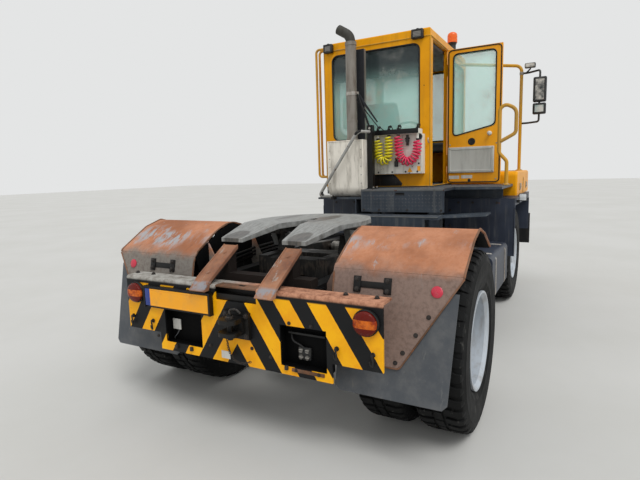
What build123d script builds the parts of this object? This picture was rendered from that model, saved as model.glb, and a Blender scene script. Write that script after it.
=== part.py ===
from build123d import *
import math
import os

os.makedirs("parts", exist_ok=True)

# Terminal tractor: a short yard tractor with a lifting fifth wheel and a half-width cab.
# Millimetres. X forward, Y to the left, Z up, ground at z = 0.

# Running gear
wheelbase = 3200
rear_axle_x = -1765
front_axle_x = rear_axle_x + wheelbase
tyre_radius = 546
tyre_width = 290
twin_gap = 54
rear_outer_y = 1236
front_outer_y = 1060
rim_radius = 278
rim_lip_radius = 298
rim_lip_width = 14
seat_gap = 0.3
running_gap = 0.05

# Frame
rail_outer_y = 400
rail_height = 250
axle_drop = 124
rail_bottom = tyre_radius + axle_drop
rail_flange = 80
rail_web = 9
rail_rear = 700
rail_front = wheelbase + 1090
rail_top = rail_bottom + rail_height
rail_inner_y = rail_outer_y - rail_web
flange_inner_y = rail_outer_y - rail_flange

# Rear bumper
bumper_face = 772
bumper_sheet = 12
bumper_half_width = 900
bumper_top = rail_top + 18
bumper_depth = 125
bumper_bend = 18
bumper_side_bottom = bumper_top - 352
bumper_centre_half = 618
bumper_centre_bottom = bumper_top - 461

# Fifth wheel and lift boom
kingpin_ahead = 180
plate_top = 1235
plate_thickness = 36
plate_half_width = 430
plate_pivot_z = 1085
pivot_pin_radius = 30
boom_pivot_ahead = 1450
boom_pivot_z = rail_bottom + 130
boom_shaft_radius = 35
boom_arm_inner_y = 200
boom_arm_outer_y = 275
lift_y = 128
lift_foot_ahead = 950
lift_foot_z = 460
lift_head_ahead = 800
lift_head_z = 930
lift_pin_radius = 25

# Cab
cab_rear = 2223
cab_front = 3930
cab_right_y = -291
cab_left_y = 959
cab_floor_bottom = 1320
cab_floor_top = 1400
cab_wall = 40
glass_thickness = 6
door_height_bottom = 1404
door_height_top = 2930
cab_roof_bottom = door_height_top + 20
cab_roof_top = cab_roof_bottom + 85
door_width = 600
door_thickness = 40
door_hinge_offset = 14
door_edge_gap = 8
right_hinge_ahead = 2935
left_hinge_ahead = 3066

# Decks
deck_top = 1385
deck_sheet = 25
deck_outer_y = -1040
step_rear = 1720
step_right_y = -570
step_left_y = 300


def ahead(distance):
    """X of a point this far ahead of the rear axle."""
    return rear_axle_x + distance


def block(x, y, z, mode=Mode.ADD):
    """Box between two limits along each axis."""
    with Locations(((x[0] + x[1]) / 2, (y[0] + y[1]) / 2, (z[0] + z[1]) / 2)):
        return Box(abs(x[1] - x[0]), abs(y[1] - y[0]), abs(z[1] - z[0]), mode=mode)


def side_face(y):
    """Sketch plane at this Y, with X to the right and Z up, whose extrusions run to -Y."""
    return Plane.XZ.offset(-y)


def side_plate(points, y_from, y_to, mode=Mode.ADD):
    """Plate with an outline in X and Z, between two Y values."""
    top, low = max(y_from, y_to), min(y_from, y_to)
    with BuildSketch(side_face(top)) as outline:
        with BuildLine():
            Polyline(*points, close=True)
        make_face()
    return extrude(outline.sketch, amount=top - low, mode=mode)


def cross_plate(points, x_from, x_to, mode=Mode.ADD):
    """Plate with an outline in Y and Z, between two X values."""
    with BuildSketch(Plane.YZ.offset(min(x_from, x_to))) as outline:
        with BuildLine():
            Polyline(*points, close=True)
        make_face()
    return extrude(outline.sketch, amount=abs(x_to - x_from), mode=mode)


def round_bar(start, end, radius, mode=Mode.ADD):
    """Straight round bar between two points."""
    path = Vector(*end) - Vector(*start)
    plane = Plane(origin=start, z_dir=path)
    with BuildSketch(plane) as disc:
        Circle(radius)
    return extrude(disc.sketch, amount=path.length, mode=mode)


def bent_tube(points, bend, radius):
    """Round tube along straight runs joined by bends."""
    with BuildLine() as route:
        FilletPolyline(*points, radius=bend)
    start = route.line
    with BuildSketch(Plane(origin=start @ 0, z_dir=start % 0)) as disc:
        Circle(radius)
    return sweep(disc.sketch, path=start)


def axle_ring(profile, axle_x, side):
    """Ring turned about an axle, from an outline of radius and distance from the middle."""
    plane = Plane(origin=(axle_x, 0, tyre_radius), x_dir=(1, 0, 0), z_dir=(0, 0, 1))
    with BuildSketch(plane) as outline:
        with BuildLine():
            Polyline(*[(radius, side * y) for radius, y in profile], close=True)
        make_face()
    return revolve(outline.sketch, axis=Axis((axle_x, 0, tyre_radius), (0, 1, 0)))


# Frame rails: two channels with their flanges turned inwards
with BuildPart() as frame_rails:
    for side in (-1, 1):
        with BuildSketch(Plane.YZ.offset(ahead(-rail_rear))) as channel:
            with BuildLine():
                Polyline(
                    (side * rail_outer_y, rail_bottom),
                    (side * rail_outer_y, rail_top),
                    (side * flange_inner_y, rail_top),
                    (side * flange_inner_y, rail_top - rail_web),
                    (side * rail_inner_y, rail_top - rail_web),
                    (side * rail_inner_y, rail_bottom + rail_web),
                    (side * flange_inner_y, rail_bottom + rail_web),
                    (side * flange_inner_y, rail_bottom),
                    close=True,
                )
            make_face()
        extrude(channel.sketch, amount=rail_rear + rail_front)
frame_rails.part.label = "frame_rails"
export_step(frame_rails.part, "parts/frame_rails.step")

# Cross members between the rails, with the boom's shaft
with BuildPart() as cross_members:
    for middle, depth, low, high in (
        (-600, 100, rail_bottom + 20, rail_top - 20),
        (wheelbase - 220, 60, rail_bottom + 12, rail_bottom + 60),
        (rail_front - 60, 100, rail_bottom + 12, rail_top - 12),
    ):
        block(
            (ahead(middle - depth / 2), ahead(middle + depth / 2)),
            (-rail_inner_y, rail_inner_y),
            (low, high),
        )
    round_bar(
        (ahead(boom_pivot_ahead), -rail_inner_y, boom_pivot_z),
        (ahead(boom_pivot_ahead), rail_inner_y, boom_pivot_z),
        boom_shaft_radius,
    )
cross_members.part.label = "cross_members"
export_step(cross_members.part, "parts/cross_members.step")

# Hangers under the rails that carry the bar below the lift cylinders
lift_hanger_bottom = lift_foot_z - 60
with BuildPart() as lift_hangers:
    for side in (-1, 1):
        side_plate(
            [
                (ahead(lift_foot_ahead - 150), rail_bottom),
                (ahead(lift_foot_ahead + 150), rail_bottom),
                (ahead(lift_foot_ahead + 55), lift_hanger_bottom),
                (ahead(lift_foot_ahead - 55), lift_hanger_bottom),
            ],
            side * (flange_inner_y + 5),
            side * (flange_inner_y + 25),
        )
    round_bar(
        (ahead(lift_foot_ahead), -flange_inner_y - 20, lift_foot_z),
        (ahead(lift_foot_ahead), flange_inner_y + 20, lift_foot_z),
        lift_pin_radius,
    )
lift_hangers.part.label = "lift_hangers"
export_step(lift_hangers.part, "parts/lift_hangers.step")

# Rear bumper: one bent plate with socket cut-outs and a notch between the ramps
cut_outs = (
    # from Y, to Y, from Z, to Z
    (-586, -299, bumper_top - 413, bumper_top - 181),
    (267, 571, bumper_top - 405, bumper_top - 193),
)
notch_half_width = 148
notch_bottom = bumper_top - 88
bracket_low = bumper_top - 166
with BuildPart() as rear_bumper:
    face_x = ahead(-bumper_face)
    with BuildSketch(side_face(bumper_half_width)) as bend:
        with BuildLine():
            Polyline(
                (face_x, bumper_centre_bottom),
                (face_x, bumper_top),
                (face_x + bumper_depth, bumper_top),
                (face_x + bumper_depth, bumper_top - bumper_sheet),
                (face_x + bumper_sheet, bumper_top - bumper_sheet),
                (face_x + bumper_sheet, bumper_centre_bottom),
                close=True,
            )
        make_face()
        outer = bend.vertices().sort_by(Axis.X)[:2].sort_by(Axis.Y)[-1:]
        fillet(outer, bumper_bend)
    extrude(bend.sketch, amount=2 * bumper_half_width)
    for side in (-1, 1):
        block(
            (face_x - 1, face_x + bumper_sheet + 1),
            (side * bumper_centre_half, side * (bumper_half_width + 1)),
            (bumper_centre_bottom - 1, bumper_side_bottom),
            mode=Mode.SUBTRACT,
        )
    for y_low, y_high, z_low, z_high in cut_outs:
        block(
            (face_x - 1, face_x + bumper_sheet + 1),
            (y_low, y_high),
            (z_low, z_high),
            mode=Mode.SUBTRACT,
        )
    block(
        (face_x - 1, face_x + bumper_depth * 0.6),
        (-notch_half_width, notch_half_width),
        (notch_bottom, bumper_top + 1),
        mode=Mode.SUBTRACT,
    )
    for side in (-1, 1):
        side_plate(
            [
                (face_x + bumper_sheet - 1, bracket_low),
                (face_x + bumper_sheet - 1, rail_top - 20),
                (face_x + 330, rail_top - 20),
                (face_x + 330, rail_bottom + 40),
                (ahead(-rail_rear) + 20, rail_bottom + 20),
                (ahead(-rail_rear) + 5, bracket_low),
            ],
            side * rail_outer_y,
            side * (rail_outer_y + bumper_sheet),
        )
rear_bumper.part.label = "rear_bumper"
export_step(rear_bumper.part, "parts/rear_bumper.step")

# Rear fenders: bent sheet over the twin wheels, its rear face cut back at the outer corner
fender_inner_y = 517
fender_sheet = 5
fender_profile = (
    # ahead of the axle, height
    (-tyre_radius - 94, tyre_radius + 14),
    (-tyre_radius + 17, 2 * tyre_radius - 40),
    (-290, 2 * tyre_radius + 103),
    (-140, 2 * tyre_radius + 146),
    (10, 2 * tyre_radius + 104),
    (210, 2 * tyre_radius - 4),
)
fender_bends = (60, 90, 90, 120)
with BuildPart() as rear_fenders:
    for side in (-1, 1):
        with BuildSketch(side_face(max(side * fender_inner_y, side * rear_outer_y))) as arch:
            with BuildLine():
                FilletPolyline(
                    *[(ahead(x), z) for x, z in fender_profile], radius=fender_bends
                )
                offset(amount=fender_sheet, side=Side.RIGHT)
            make_face()
        extrude(arch.sketch, amount=rear_outer_y - fender_inner_y)
        cross_plate(
            [
                (side * (rear_outer_y + 1), fender_profile[1][1] - 12),
                (side * (rear_outer_y - 306), fender_profile[0][1] - 5),
                (side * (rear_outer_y + 1), fender_profile[0][1] - 5),
            ],
            ahead(fender_profile[0][0] - 60),
            ahead(fender_profile[0][0] + 190),
            mode=Mode.SUBTRACT,
        )
        for stay_x, before, after in ((-400, 1, 2), (90, 4, 5)):
            (x_low, z_low), (x_high, z_high) = fender_profile[before], fender_profile[after]
            share = (stay_x - x_low) / (x_high - x_low)
            top = z_low + share * (z_high - z_low) - fender_sheet / 2
            cross_plate(
                [
                    (side * rail_outer_y, rail_bottom + 30),
                    (side * (rail_outer_y + 60), rail_bottom + 30),
                    (side * (fender_inner_y + 60), top - 60),
                    (side * (fender_inner_y + 60), top),
                    (side * (fender_inner_y + 2), top),
                    (side * rail_outer_y, rail_top - 10),
                ],
                ahead(stay_x),
                ahead(stay_x + 10),
            )
rear_fenders.part.label = "rear_fenders"
export_step(rear_fenders.part, "parts/rear_fenders.step")

# Mudflaps: rubber sheets behind the wheels, under the fenders' rear faces
flap_thickness = 8
flap_inner_y = 575
flap_outer_y = 1212
flap_bottom = tyre_radius - 146
flap_slant = 28
flap_corner = 26
flap_top = tyre_radius + 414
rear_face_slope = (fender_profile[1][0] - fender_profile[0][0]) / (
    fender_profile[1][1] - fender_profile[0][1]
)
face_shift = (fender_sheet + seat_gap) * math.hypot(1, rear_face_slope)
sheet_shift = face_shift + flap_thickness * math.hypot(1, rear_face_slope)


def rear_face_at(z):
    """X of the fender's rear face at this height."""
    return ahead(fender_profile[0][0] + (z - fender_profile[0][1]) * rear_face_slope)


with BuildPart() as mudflaps:
    for side in (-1, 1):
        side_plate(
            [
                (rear_face_at(flap_bottom) + face_shift, flap_bottom),
                (rear_face_at(flap_top) + face_shift, flap_top),
                (rear_face_at(flap_top) + sheet_shift, flap_top),
                (rear_face_at(flap_bottom) + sheet_shift, flap_bottom),
            ],
            side * flap_inner_y,
            side * flap_outer_y,
        )
        for corner in (
            # slanted outer edge, then a cut at each lower corner
            [(flap_outer_y, flap_top), (flap_outer_y + 1, flap_bottom - 1), (flap_outer_y - flap_slant, flap_bottom - 1)],
            [
                (flap_outer_y - flap_slant - flap_corner, flap_bottom - 1),
                (flap_outer_y, flap_bottom - 1),
                (flap_outer_y, flap_bottom + flap_corner * 2),
            ],
            [
                (flap_inner_y - 1, flap_bottom + flap_corner),
                (flap_inner_y - 1, flap_bottom - 1),
                (flap_inner_y + flap_corner, flap_bottom - 1),
            ],
        ):
            cross_plate(
                [(side * y, z) for y, z in corner],
                ahead(fender_profile[0][0] - 60),
                ahead(fender_profile[0][0] + 190),
                mode=Mode.SUBTRACT,
            )
mudflaps.part.label = "mudflaps"
export_step(mudflaps.part, "parts/mudflaps.step")

# Guide ramps: channels that lead a trailer's plate up to the fifth wheel
ramp_y = 235
ramp_width = 112
ramp_sheet = 12
ramp_points = ((-833, bumper_top - 30), (-763, bumper_top + 31), (-497, bumper_top + 192))
ramp_edge = 28
ramp_leg = (-590, -510)
with BuildPart() as ramps:
    block(
        (ahead(ramp_leg[0]), ahead(ramp_leg[1])),
        (-rail_outer_y, rail_outer_y),
        (rail_top, rail_top + 50),
    )
    for side in (-1, 1):
        foot, fold, head = ramp_points
        side_plate(
            [
                (ahead(foot[0]), foot[1]),
                (ahead(fold[0]), fold[1]),
                (ahead(head[0]), head[1]),
                (ahead(head[0]), head[1] - ramp_edge),
                (ahead(fold[0]) + 5, fold[1] - ramp_edge),
                (ahead(-bumper_face) - 1, fold[1] - ramp_edge),
                (ahead(-bumper_face) - 14, foot[1] - 4),
                (ahead(foot[0]) + 6, foot[1] - 6),
            ],
            side * (ramp_y - ramp_width / 2),
            side * (ramp_y + ramp_width / 2),
        )
        slope = (head[1] - fold[1]) / (head[0] - fold[0])
        under = [
            (ahead(x), fold[1] + (x - fold[0]) * slope - ramp_sheet)
            for x in ramp_leg
        ]
        side_plate(
            [
                (under[0][0], rail_top + 40),
                under[0],
                under[1],
                (under[1][0], rail_top + 40),
            ],
            side * (ramp_y - ramp_width / 2 + 8),
            side * (ramp_y + ramp_width / 2 - 8),
        )
ramps.part.label = "ramps"
export_step(ramps.part, "parts/ramps.step")

# Round tail lamps on the bumper's face
lamp_radius = 62
lamp_depth = 45
lamp_places = ((-815, bumper_top - 103), (800, bumper_top - 103))
with BuildPart() as tail_lamps:
    for y, z in lamp_places:
        with BuildSketch(Plane(origin=(ahead(-bumper_face), y, z), z_dir=(-1, 0, 0))) as lens:
            Circle(lamp_radius)
        extrude(lens.sketch, amount=lamp_depth, taper=12)
tail_lamps.part.label = "tail_lamps"
export_step(tail_lamps.part, "parts/tail_lamps.step")

# Plate holder standing proud of the bumper, with a blank plate
holder_y = (165, 715)
holder_z = (bumper_top - 186, bumper_top - 48)
holder_depth = 34
plate_inset = 12
with BuildPart() as number_plate:
    block((ahead(-bumper_face - holder_depth), ahead(-bumper_face)), holder_y, holder_z)
    block(
        (ahead(-bumper_face - holder_depth) - 1, ahead(-bumper_face - holder_depth) + 10),
        (holder_y[0] + plate_inset, holder_y[1] - plate_inset),
        (holder_z[0] - 1, holder_z[1] - plate_inset),
        mode=Mode.SUBTRACT,
    )
number_plate.part.label = "number_plate"
export_step(number_plate.part, "parts/number_plate.step")

# Tow coupling: a jaw with an upright pin at the bumper's middle
jaw_z = bumper_top - 214
jaw_pin_radius = 16
jaw_reach = 120
with BuildPart() as tow_coupling:
    block(
        (ahead(-bumper_face) - 22, ahead(-bumper_face)), (-105, 75), (jaw_z - 80, jaw_z + 75)
    )
    for low, high in ((-45, -20), (28, 53)):
        with BuildSketch(Plane.XY.offset(jaw_z + low)) as jaw:
            with Locations((ahead(-bumper_face) - jaw_reach / 2 - 10, -15)):
                RectangleRounded(jaw_reach, 120, 40)
        extrude(jaw.sketch, amount=high - low)
    block(
        (ahead(-bumper_face) - 40, ahead(-bumper_face) - 20), (-75, 45), (jaw_z - 45, jaw_z + 53)
    )
    pin_x = ahead(-bumper_face) - jaw_reach * 0.62
    round_bar((pin_x, -15, jaw_z - 70), (pin_x, -15, jaw_z + 80), jaw_pin_radius)
tow_coupling.part.label = "tow_coupling"
export_step(tow_coupling.part, "parts/tow_coupling.step")

# Rear axle: tube with a round final drive, pads to the rails and wheel spindles
axle_tube_radius = 78
spindle_radius = 60
spindle_end = 1100
drum_radius = 205
rear_inner_face = rear_outer_y - 2 * tyre_width - twin_gap
with BuildPart() as rear_axle:
    round_bar(
        (rear_axle_x, -rear_inner_face, tyre_radius),
        (rear_axle_x, rear_inner_face, tyre_radius),
        axle_tube_radius,
    )
    round_bar(
        (ahead(-150), 0, tyre_radius), (ahead(170), 0, tyre_radius), 200
    )
    round_bar((ahead(160), 0, tyre_radius + 10), (ahead(330), 0, tyre_radius + 20), 95)
    for side in (-1, 1):
        round_bar(
            (rear_axle_x, side * (rear_inner_face - 10), tyre_radius),
            (rear_axle_x, side * spindle_end, tyre_radius),
            spindle_radius,
        )
        block(
            (ahead(-110), ahead(110)),
            (side * flange_inner_y, side * (rail_outer_y + 10)),
            (tyre_radius + 20, rail_bottom),
        )
rear_axle.part.label = "rear_axle"
export_step(rear_axle.part, "parts/rear_axle.step")


# Twin rear wheels: per side two tyres, and two rims on one hub
def tyre_profile(inner_y):
    """Outline of one tyre as radius and distance, from bead to bead."""
    outer_y = inner_y + tyre_width
    bead = rim_radius + seat_gap
    lip = rim_lip_radius + 4
    return [
        (bead, inner_y + 40),
        (lip, inner_y + 31),
        (lip + 2, inner_y + 12),
        (tyre_radius - 130, inner_y),
        (tyre_radius - 46, inner_y + 8),
        (tyre_radius - 7, inner_y + 26),
        (tyre_radius, inner_y + 50),
        (tyre_radius, outer_y - 50),
        (tyre_radius - 7, outer_y - 26),
        (tyre_radius - 46, outer_y - 8),
        (tyre_radius - 130, outer_y),
        (lip + 2, outer_y - 12),
        (lip, outer_y - 31),
        (bead, outer_y - 40),
    ]


def rim_barrel(inner_y, outer_y):
    """Outline points of a rim's rolled barrel, from its inner to its outer lip."""
    return [
        (rim_lip_radius, inner_y + 14),
        (rim_lip_radius, inner_y + 14 + rim_lip_width),
        (rim_radius, inner_y + 20 + rim_lip_width),
        (rim_radius, outer_y - 20 - rim_lip_width),
        (rim_lip_radius, outer_y - 14 - rim_lip_width),
        (rim_lip_radius, outer_y - 14),
    ]


def hand_holes(axle_x, side, y_from, y_to, circle):
    """Round holes through a wheel disc, evenly spaced on a circle about its axle."""
    for number in range(hand_hole_count):
        angle = 2 * math.pi * (number + 0.5) / hand_hole_count
        x = axle_x + circle * math.cos(angle)
        z = tyre_radius + circle * math.sin(angle)
        round_bar((x, side * y_from, z), (x, side * y_to, z), hand_hole_radius, mode=Mode.SUBTRACT)


hand_hole_count = 8
hand_hole_radius = 17
rim_wall = 12
hub_bore = spindle_radius + running_gap
hub_radius = 128
rear_disc_y = rear_outer_y - tyre_width - twin_gap / 2
rear_hub_inner = rear_disc_y - 170
for name, side in (("left", 1), ("right", -1)):
    with BuildPart() as rear_tyres:
        axle_ring(tyre_profile(rear_inner_face), rear_axle_x, side)
        axle_ring(tyre_profile(rear_outer_y - tyre_width), rear_axle_x, side)
    rear_tyres.part.label = f"rear_tyres_{name}"
    export_step(rear_tyres.part, f"parts/rear_tyres_{name}.step")

    with BuildPart() as rear_rims:
        axle_ring(
            rim_barrel(rear_inner_face, rear_inner_face + tyre_width)[:4]
            + [
                (rim_radius, rear_disc_y + 40),
                (rim_radius, rear_outer_y - 20 - rim_lip_width),
            ]
            + rim_barrel(rear_outer_y - tyre_width, rear_outer_y)[4:]
            + [
                (rim_lip_radius - 13, rear_outer_y - 14),
                (rim_radius - rim_wall, rear_outer_y - 36),
                (rim_radius - rim_wall, rear_disc_y + 60),
                (rim_radius - 40, rear_disc_y + 12),
                (hub_radius + 12, rear_disc_y + 12),
                (hub_radius, rear_disc_y + 150),
                (hub_radius - 30, rear_disc_y + 205),
                (0, rear_disc_y + 205),
                (0, spindle_end + seat_gap),
                (hub_bore, spindle_end + seat_gap),
                (hub_bore, rear_hub_inner),
                (hub_radius, rear_hub_inner),
                (hub_radius, rear_disc_y - 12),
                (rim_radius - 40, rear_disc_y - 12),
                (rim_radius - rim_wall, rear_disc_y - 60),
                (rim_radius - rim_wall, rear_inner_face + 36),
                (rim_lip_radius - 13, rear_inner_face + 14),
            ],
            rear_axle_x,
            side,
        )
        hand_holes(rear_axle_x, side, rear_disc_y - 20, rear_disc_y + 20, 213)
    rear_rims.part.label = f"rear_rims_{name}"
    export_step(rear_rims.part, f"parts/rear_rims_{name}.step")

# Front axle, its springs, knuckles and single wheels
kingpin_y = 745
kingpin_radius = 25
kingpin_boss_radius = 55
kingpin_half_height = 75
beam_low = tyre_radius - 70
beam_high = tyre_radius + 20
spring_y = (flange_inner_y + 5, rail_outer_y - 5)
front_inner_face = front_outer_y - tyre_width
with BuildPart() as front_axle:
    block(
        (front_axle_x - 50, front_axle_x + 50),
        (-kingpin_y, kingpin_y),
        (beam_low, beam_high),
    )
    for side in (-1, 1):
        round_bar(
            (front_axle_x, side * kingpin_y, tyre_radius - kingpin_half_height),
            (front_axle_x, side * kingpin_y, tyre_radius + kingpin_half_height),
            kingpin_boss_radius,
        )
    for side in (-1, 1):
        round_bar(
            (front_axle_x, side * kingpin_y, tyre_radius - kingpin_half_height - 1),
            (front_axle_x, side * kingpin_y, tyre_radius + kingpin_half_height + 1),
            kingpin_radius + running_gap,
            mode=Mode.SUBTRACT,
        )
front_axle.part.label = "front_axle"
export_step(front_axle.part, "parts/front_axle.step")

spring_half = 560
spring_leaf = 46
with BuildPart() as leaf_springs:
    for side in (-1, 1):
        y_top = max(side * spring_y[0], side * spring_y[1])
        with BuildSketch(side_face(y_top)) as leaf:
            with BuildLine():
                ThreePointArc(
                    (front_axle_x - spring_half, rail_bottom - 62),
                    (front_axle_x, beam_high + spring_leaf / 2),
                    (front_axle_x + spring_half, rail_bottom - 62),
                )
            trace(line_width=spring_leaf)
        extrude(leaf.sketch, amount=spring_y[1] - spring_y[0])
        for end in (-1, 1):
            side_plate(
                [
                    (front_axle_x + end * (spring_half + 40), rail_bottom),
                    (front_axle_x + end * (spring_half - 60), rail_bottom),
                    (front_axle_x + end * (spring_half - 45), rail_bottom - 80),
                    (front_axle_x + end * (spring_half + 15), rail_bottom - 80),
                ],
                side * spring_y[0],
                side * spring_y[1],
            )
    block(
        (front_axle_x - 60, front_axle_x + 60),
        (-rail_outer_y, rail_outer_y),
        (beam_low, beam_high),
        mode=Mode.SUBTRACT,
    )
leaf_springs.part.label = "leaf_springs"
export_step(leaf_springs.part, "parts/leaf_springs.step")

front_spindle_end = front_outer_y - 60
front_disc_y = front_outer_y - 120
front_hub_inner = front_disc_y - 90
fork_gap = 5
fork_arm = 26
for name, side in (("left", 1), ("right", -1)):
    with BuildPart() as knuckle:
        y_pin = side * kingpin_y
        round_bar(
            (front_axle_x, y_pin, tyre_radius - kingpin_half_height - fork_gap - fork_arm),
            (front_axle_x, y_pin, tyre_radius + kingpin_half_height + fork_gap + fork_arm),
            kingpin_radius,
        )
        for low in (-kingpin_half_height - fork_gap - fork_arm, kingpin_half_height + fork_gap):
            block(
                (front_axle_x - 45, front_axle_x + 45),
                (side * (kingpin_y - 40), side * (kingpin_y + 85)),
                (tyre_radius + low, tyre_radius + low + fork_arm),
            )
        block(
            (front_axle_x - 45, front_axle_x + 45),
            (side * (kingpin_y + 62), side * (kingpin_y + 85)),
            (
                tyre_radius - kingpin_half_height - fork_gap - fork_arm,
                tyre_radius + kingpin_half_height + fork_gap + fork_arm,
            ),
        )
        round_bar(
            (front_axle_x, side * (kingpin_y + 80), tyre_radius),
            (front_axle_x, side * front_spindle_end, tyre_radius),
            spindle_radius - 20,
        )
    knuckle.part.label = f"knuckle_{name}"
    export_step(knuckle.part, f"parts/knuckle_{name}.step")

    with BuildPart() as front_tyre:
        axle_ring(tyre_profile(front_inner_face), front_axle_x, side)
    front_tyre.part.label = f"front_tyre_{name}"
    export_step(front_tyre.part, f"parts/front_tyre_{name}.step")

    with BuildPart() as front_rim:
        axle_ring(
            rim_barrel(front_inner_face, front_outer_y)
            + [
                (rim_lip_radius - 13, front_outer_y - 14),
                (rim_radius - rim_wall, front_outer_y - 36),
                (rim_radius - rim_wall - 10, front_disc_y + 12),
                (hub_radius + 12, front_disc_y + 42),
                (hub_radius - 20, front_disc_y + 95),
                (0, front_disc_y + 95),
                (0, front_spindle_end + seat_gap),
                (spindle_radius - 20 + running_gap, front_spindle_end + seat_gap),
                (spindle_radius - 20 + running_gap, front_hub_inner),
                (hub_radius - 20, front_hub_inner),
                (hub_radius + 12, front_disc_y + 12),
                (rim_radius - rim_wall - 10, front_disc_y - 18),
                (rim_radius - rim_wall, front_inner_face + 36),
                (rim_lip_radius - 13, front_inner_face + 14),
            ],
            front_axle_x,
            side,
        )
        hand_holes(front_axle_x, side, front_disc_y - 30, front_disc_y + 70, 202)
    front_rim.part.label = f"front_rim_{name}"
    export_step(front_rim.part, f"parts/front_rim_{name}.step")

# Lift boom: two arms on the shaft, joined by a box and a bar, with ears for the plate's pin
boom_rear = kingpin_ahead - 330
boom_top = 1005
with BuildPart() as lift_boom:
    for side in (-1, 1):
        side_plate(
            [
                (ahead(boom_rear), boom_top - 130),
                (ahead(boom_rear), boom_top),
                (ahead(kingpin_ahead + 150), boom_top),
                (ahead(1000), boom_top - 40),
                (ahead(boom_pivot_ahead + 40), boom_pivot_z + 75),
                (ahead(boom_pivot_ahead + 75), boom_pivot_z + 40),
                (ahead(boom_pivot_ahead + 75), boom_pivot_z - 40),
                (ahead(boom_pivot_ahead + 40), boom_pivot_z - 75),
                (ahead(boom_pivot_ahead - 60), boom_pivot_z - 75),
                (ahead(900), boom_pivot_z + 40),
            ],
            side * boom_arm_inner_y,
            side * boom_arm_outer_y,
        )
        side_plate(
            [
                (ahead(kingpin_ahead - 95), boom_top - 20),
                (ahead(kingpin_ahead - 45), plate_pivot_z + 40),
                (ahead(kingpin_ahead + 45), plate_pivot_z + 40),
                (ahead(kingpin_ahead + 95), boom_top - 20),
            ],
            side * (boom_arm_outer_y - 45),
            side * boom_arm_outer_y,
        )
        round_bar(
            (ahead(kingpin_ahead), side * (boom_arm_outer_y - 5), plate_pivot_z),
            (ahead(kingpin_ahead), side * (boom_arm_outer_y + 75), plate_pivot_z),
            pivot_pin_radius,
        )
    block(
        (ahead(boom_rear), ahead(boom_rear + 110)),
        (-boom_arm_inner_y - 5, boom_arm_inner_y + 5),
        (boom_top - 120, boom_top - 10),
    )
    block(
        (ahead(kingpin_ahead - 70), ahead(kingpin_ahead + 70)),
        (-boom_arm_inner_y - 5, boom_arm_inner_y + 5),
        (boom_top - 60, boom_top - 10),
    )
    round_bar(
        (ahead(lift_head_ahead), -boom_arm_inner_y - 5, lift_head_z),
        (ahead(lift_head_ahead), boom_arm_inner_y + 5, lift_head_z),
        lift_pin_radius,
    )
    round_bar(
        (ahead(boom_pivot_ahead), -rail_outer_y, boom_pivot_z),
        (ahead(boom_pivot_ahead), rail_outer_y, boom_pivot_z),
        boom_shaft_radius + running_gap,
        mode=Mode.SUBTRACT,
    )
lift_boom.part.label = "lift_boom"
export_step(lift_boom.part, "parts/lift_boom.step")

# Lift cylinders: barrels on the lower bar, rods whose eyes reach the boom's bar
lift_foot = Vector(ahead(lift_foot_ahead), 0, lift_foot_z)
lift_head = Vector(ahead(lift_head_ahead), 0, lift_head_z)
lift_line = lift_head - lift_foot
lift_way = lift_line.normalized()
barrel_radius = 55
rod_radius = 32
barrel_start = 45
barrel_end = lift_line.length - 75
eye_radius = 48
eye_width = 70


def along_lift(distance, side):
    """Point on a lift cylinder's line, this far from its foot."""
    point = lift_foot + lift_way * distance
    return (point.X, side * lift_y, point.Z)


def lift_eye(distance, clearance):
    """Bored eye on each lift cylinder's line."""
    for side in (-1, 1):
        x, y, z = along_lift(distance, side)
        round_bar((x, y - eye_width / 2, z), (x, y + eye_width / 2, z), eye_radius)
    for side in (-1, 1):
        x, y, z = along_lift(distance, side)
        round_bar(
            (x, y - eye_width / 2 - 1, z),
            (x, y + eye_width / 2 + 1, z),
            lift_pin_radius + clearance,
            mode=Mode.SUBTRACT,
        )


with BuildPart() as lift_barrels:
    for side in (-1, 1):
        round_bar(
            along_lift(barrel_start, side), along_lift(barrel_end, side), barrel_radius
        )
    for side in (-1, 1):
        round_bar(
            along_lift(barrel_start + 40, side),
            along_lift(barrel_end + 1, side),
            rod_radius + running_gap,
            mode=Mode.SUBTRACT,
        )
    lift_eye(0, running_gap)
lift_barrels.part.label = "lift_barrels"
export_step(lift_barrels.part, "parts/lift_barrels.step")

rod_eye_clearance = 8
with BuildPart() as lift_rods:
    for side in (-1, 1):
        round_bar(
            along_lift(barrel_start + 60, side),
            along_lift(lift_line.length - 30, side),
            rod_radius,
        )
    lift_eye(lift_line.length, rod_eye_clearance)
lift_rods.part.label = "lift_rods"
export_step(lift_rods.part, "parts/lift_rods.step")

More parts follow.
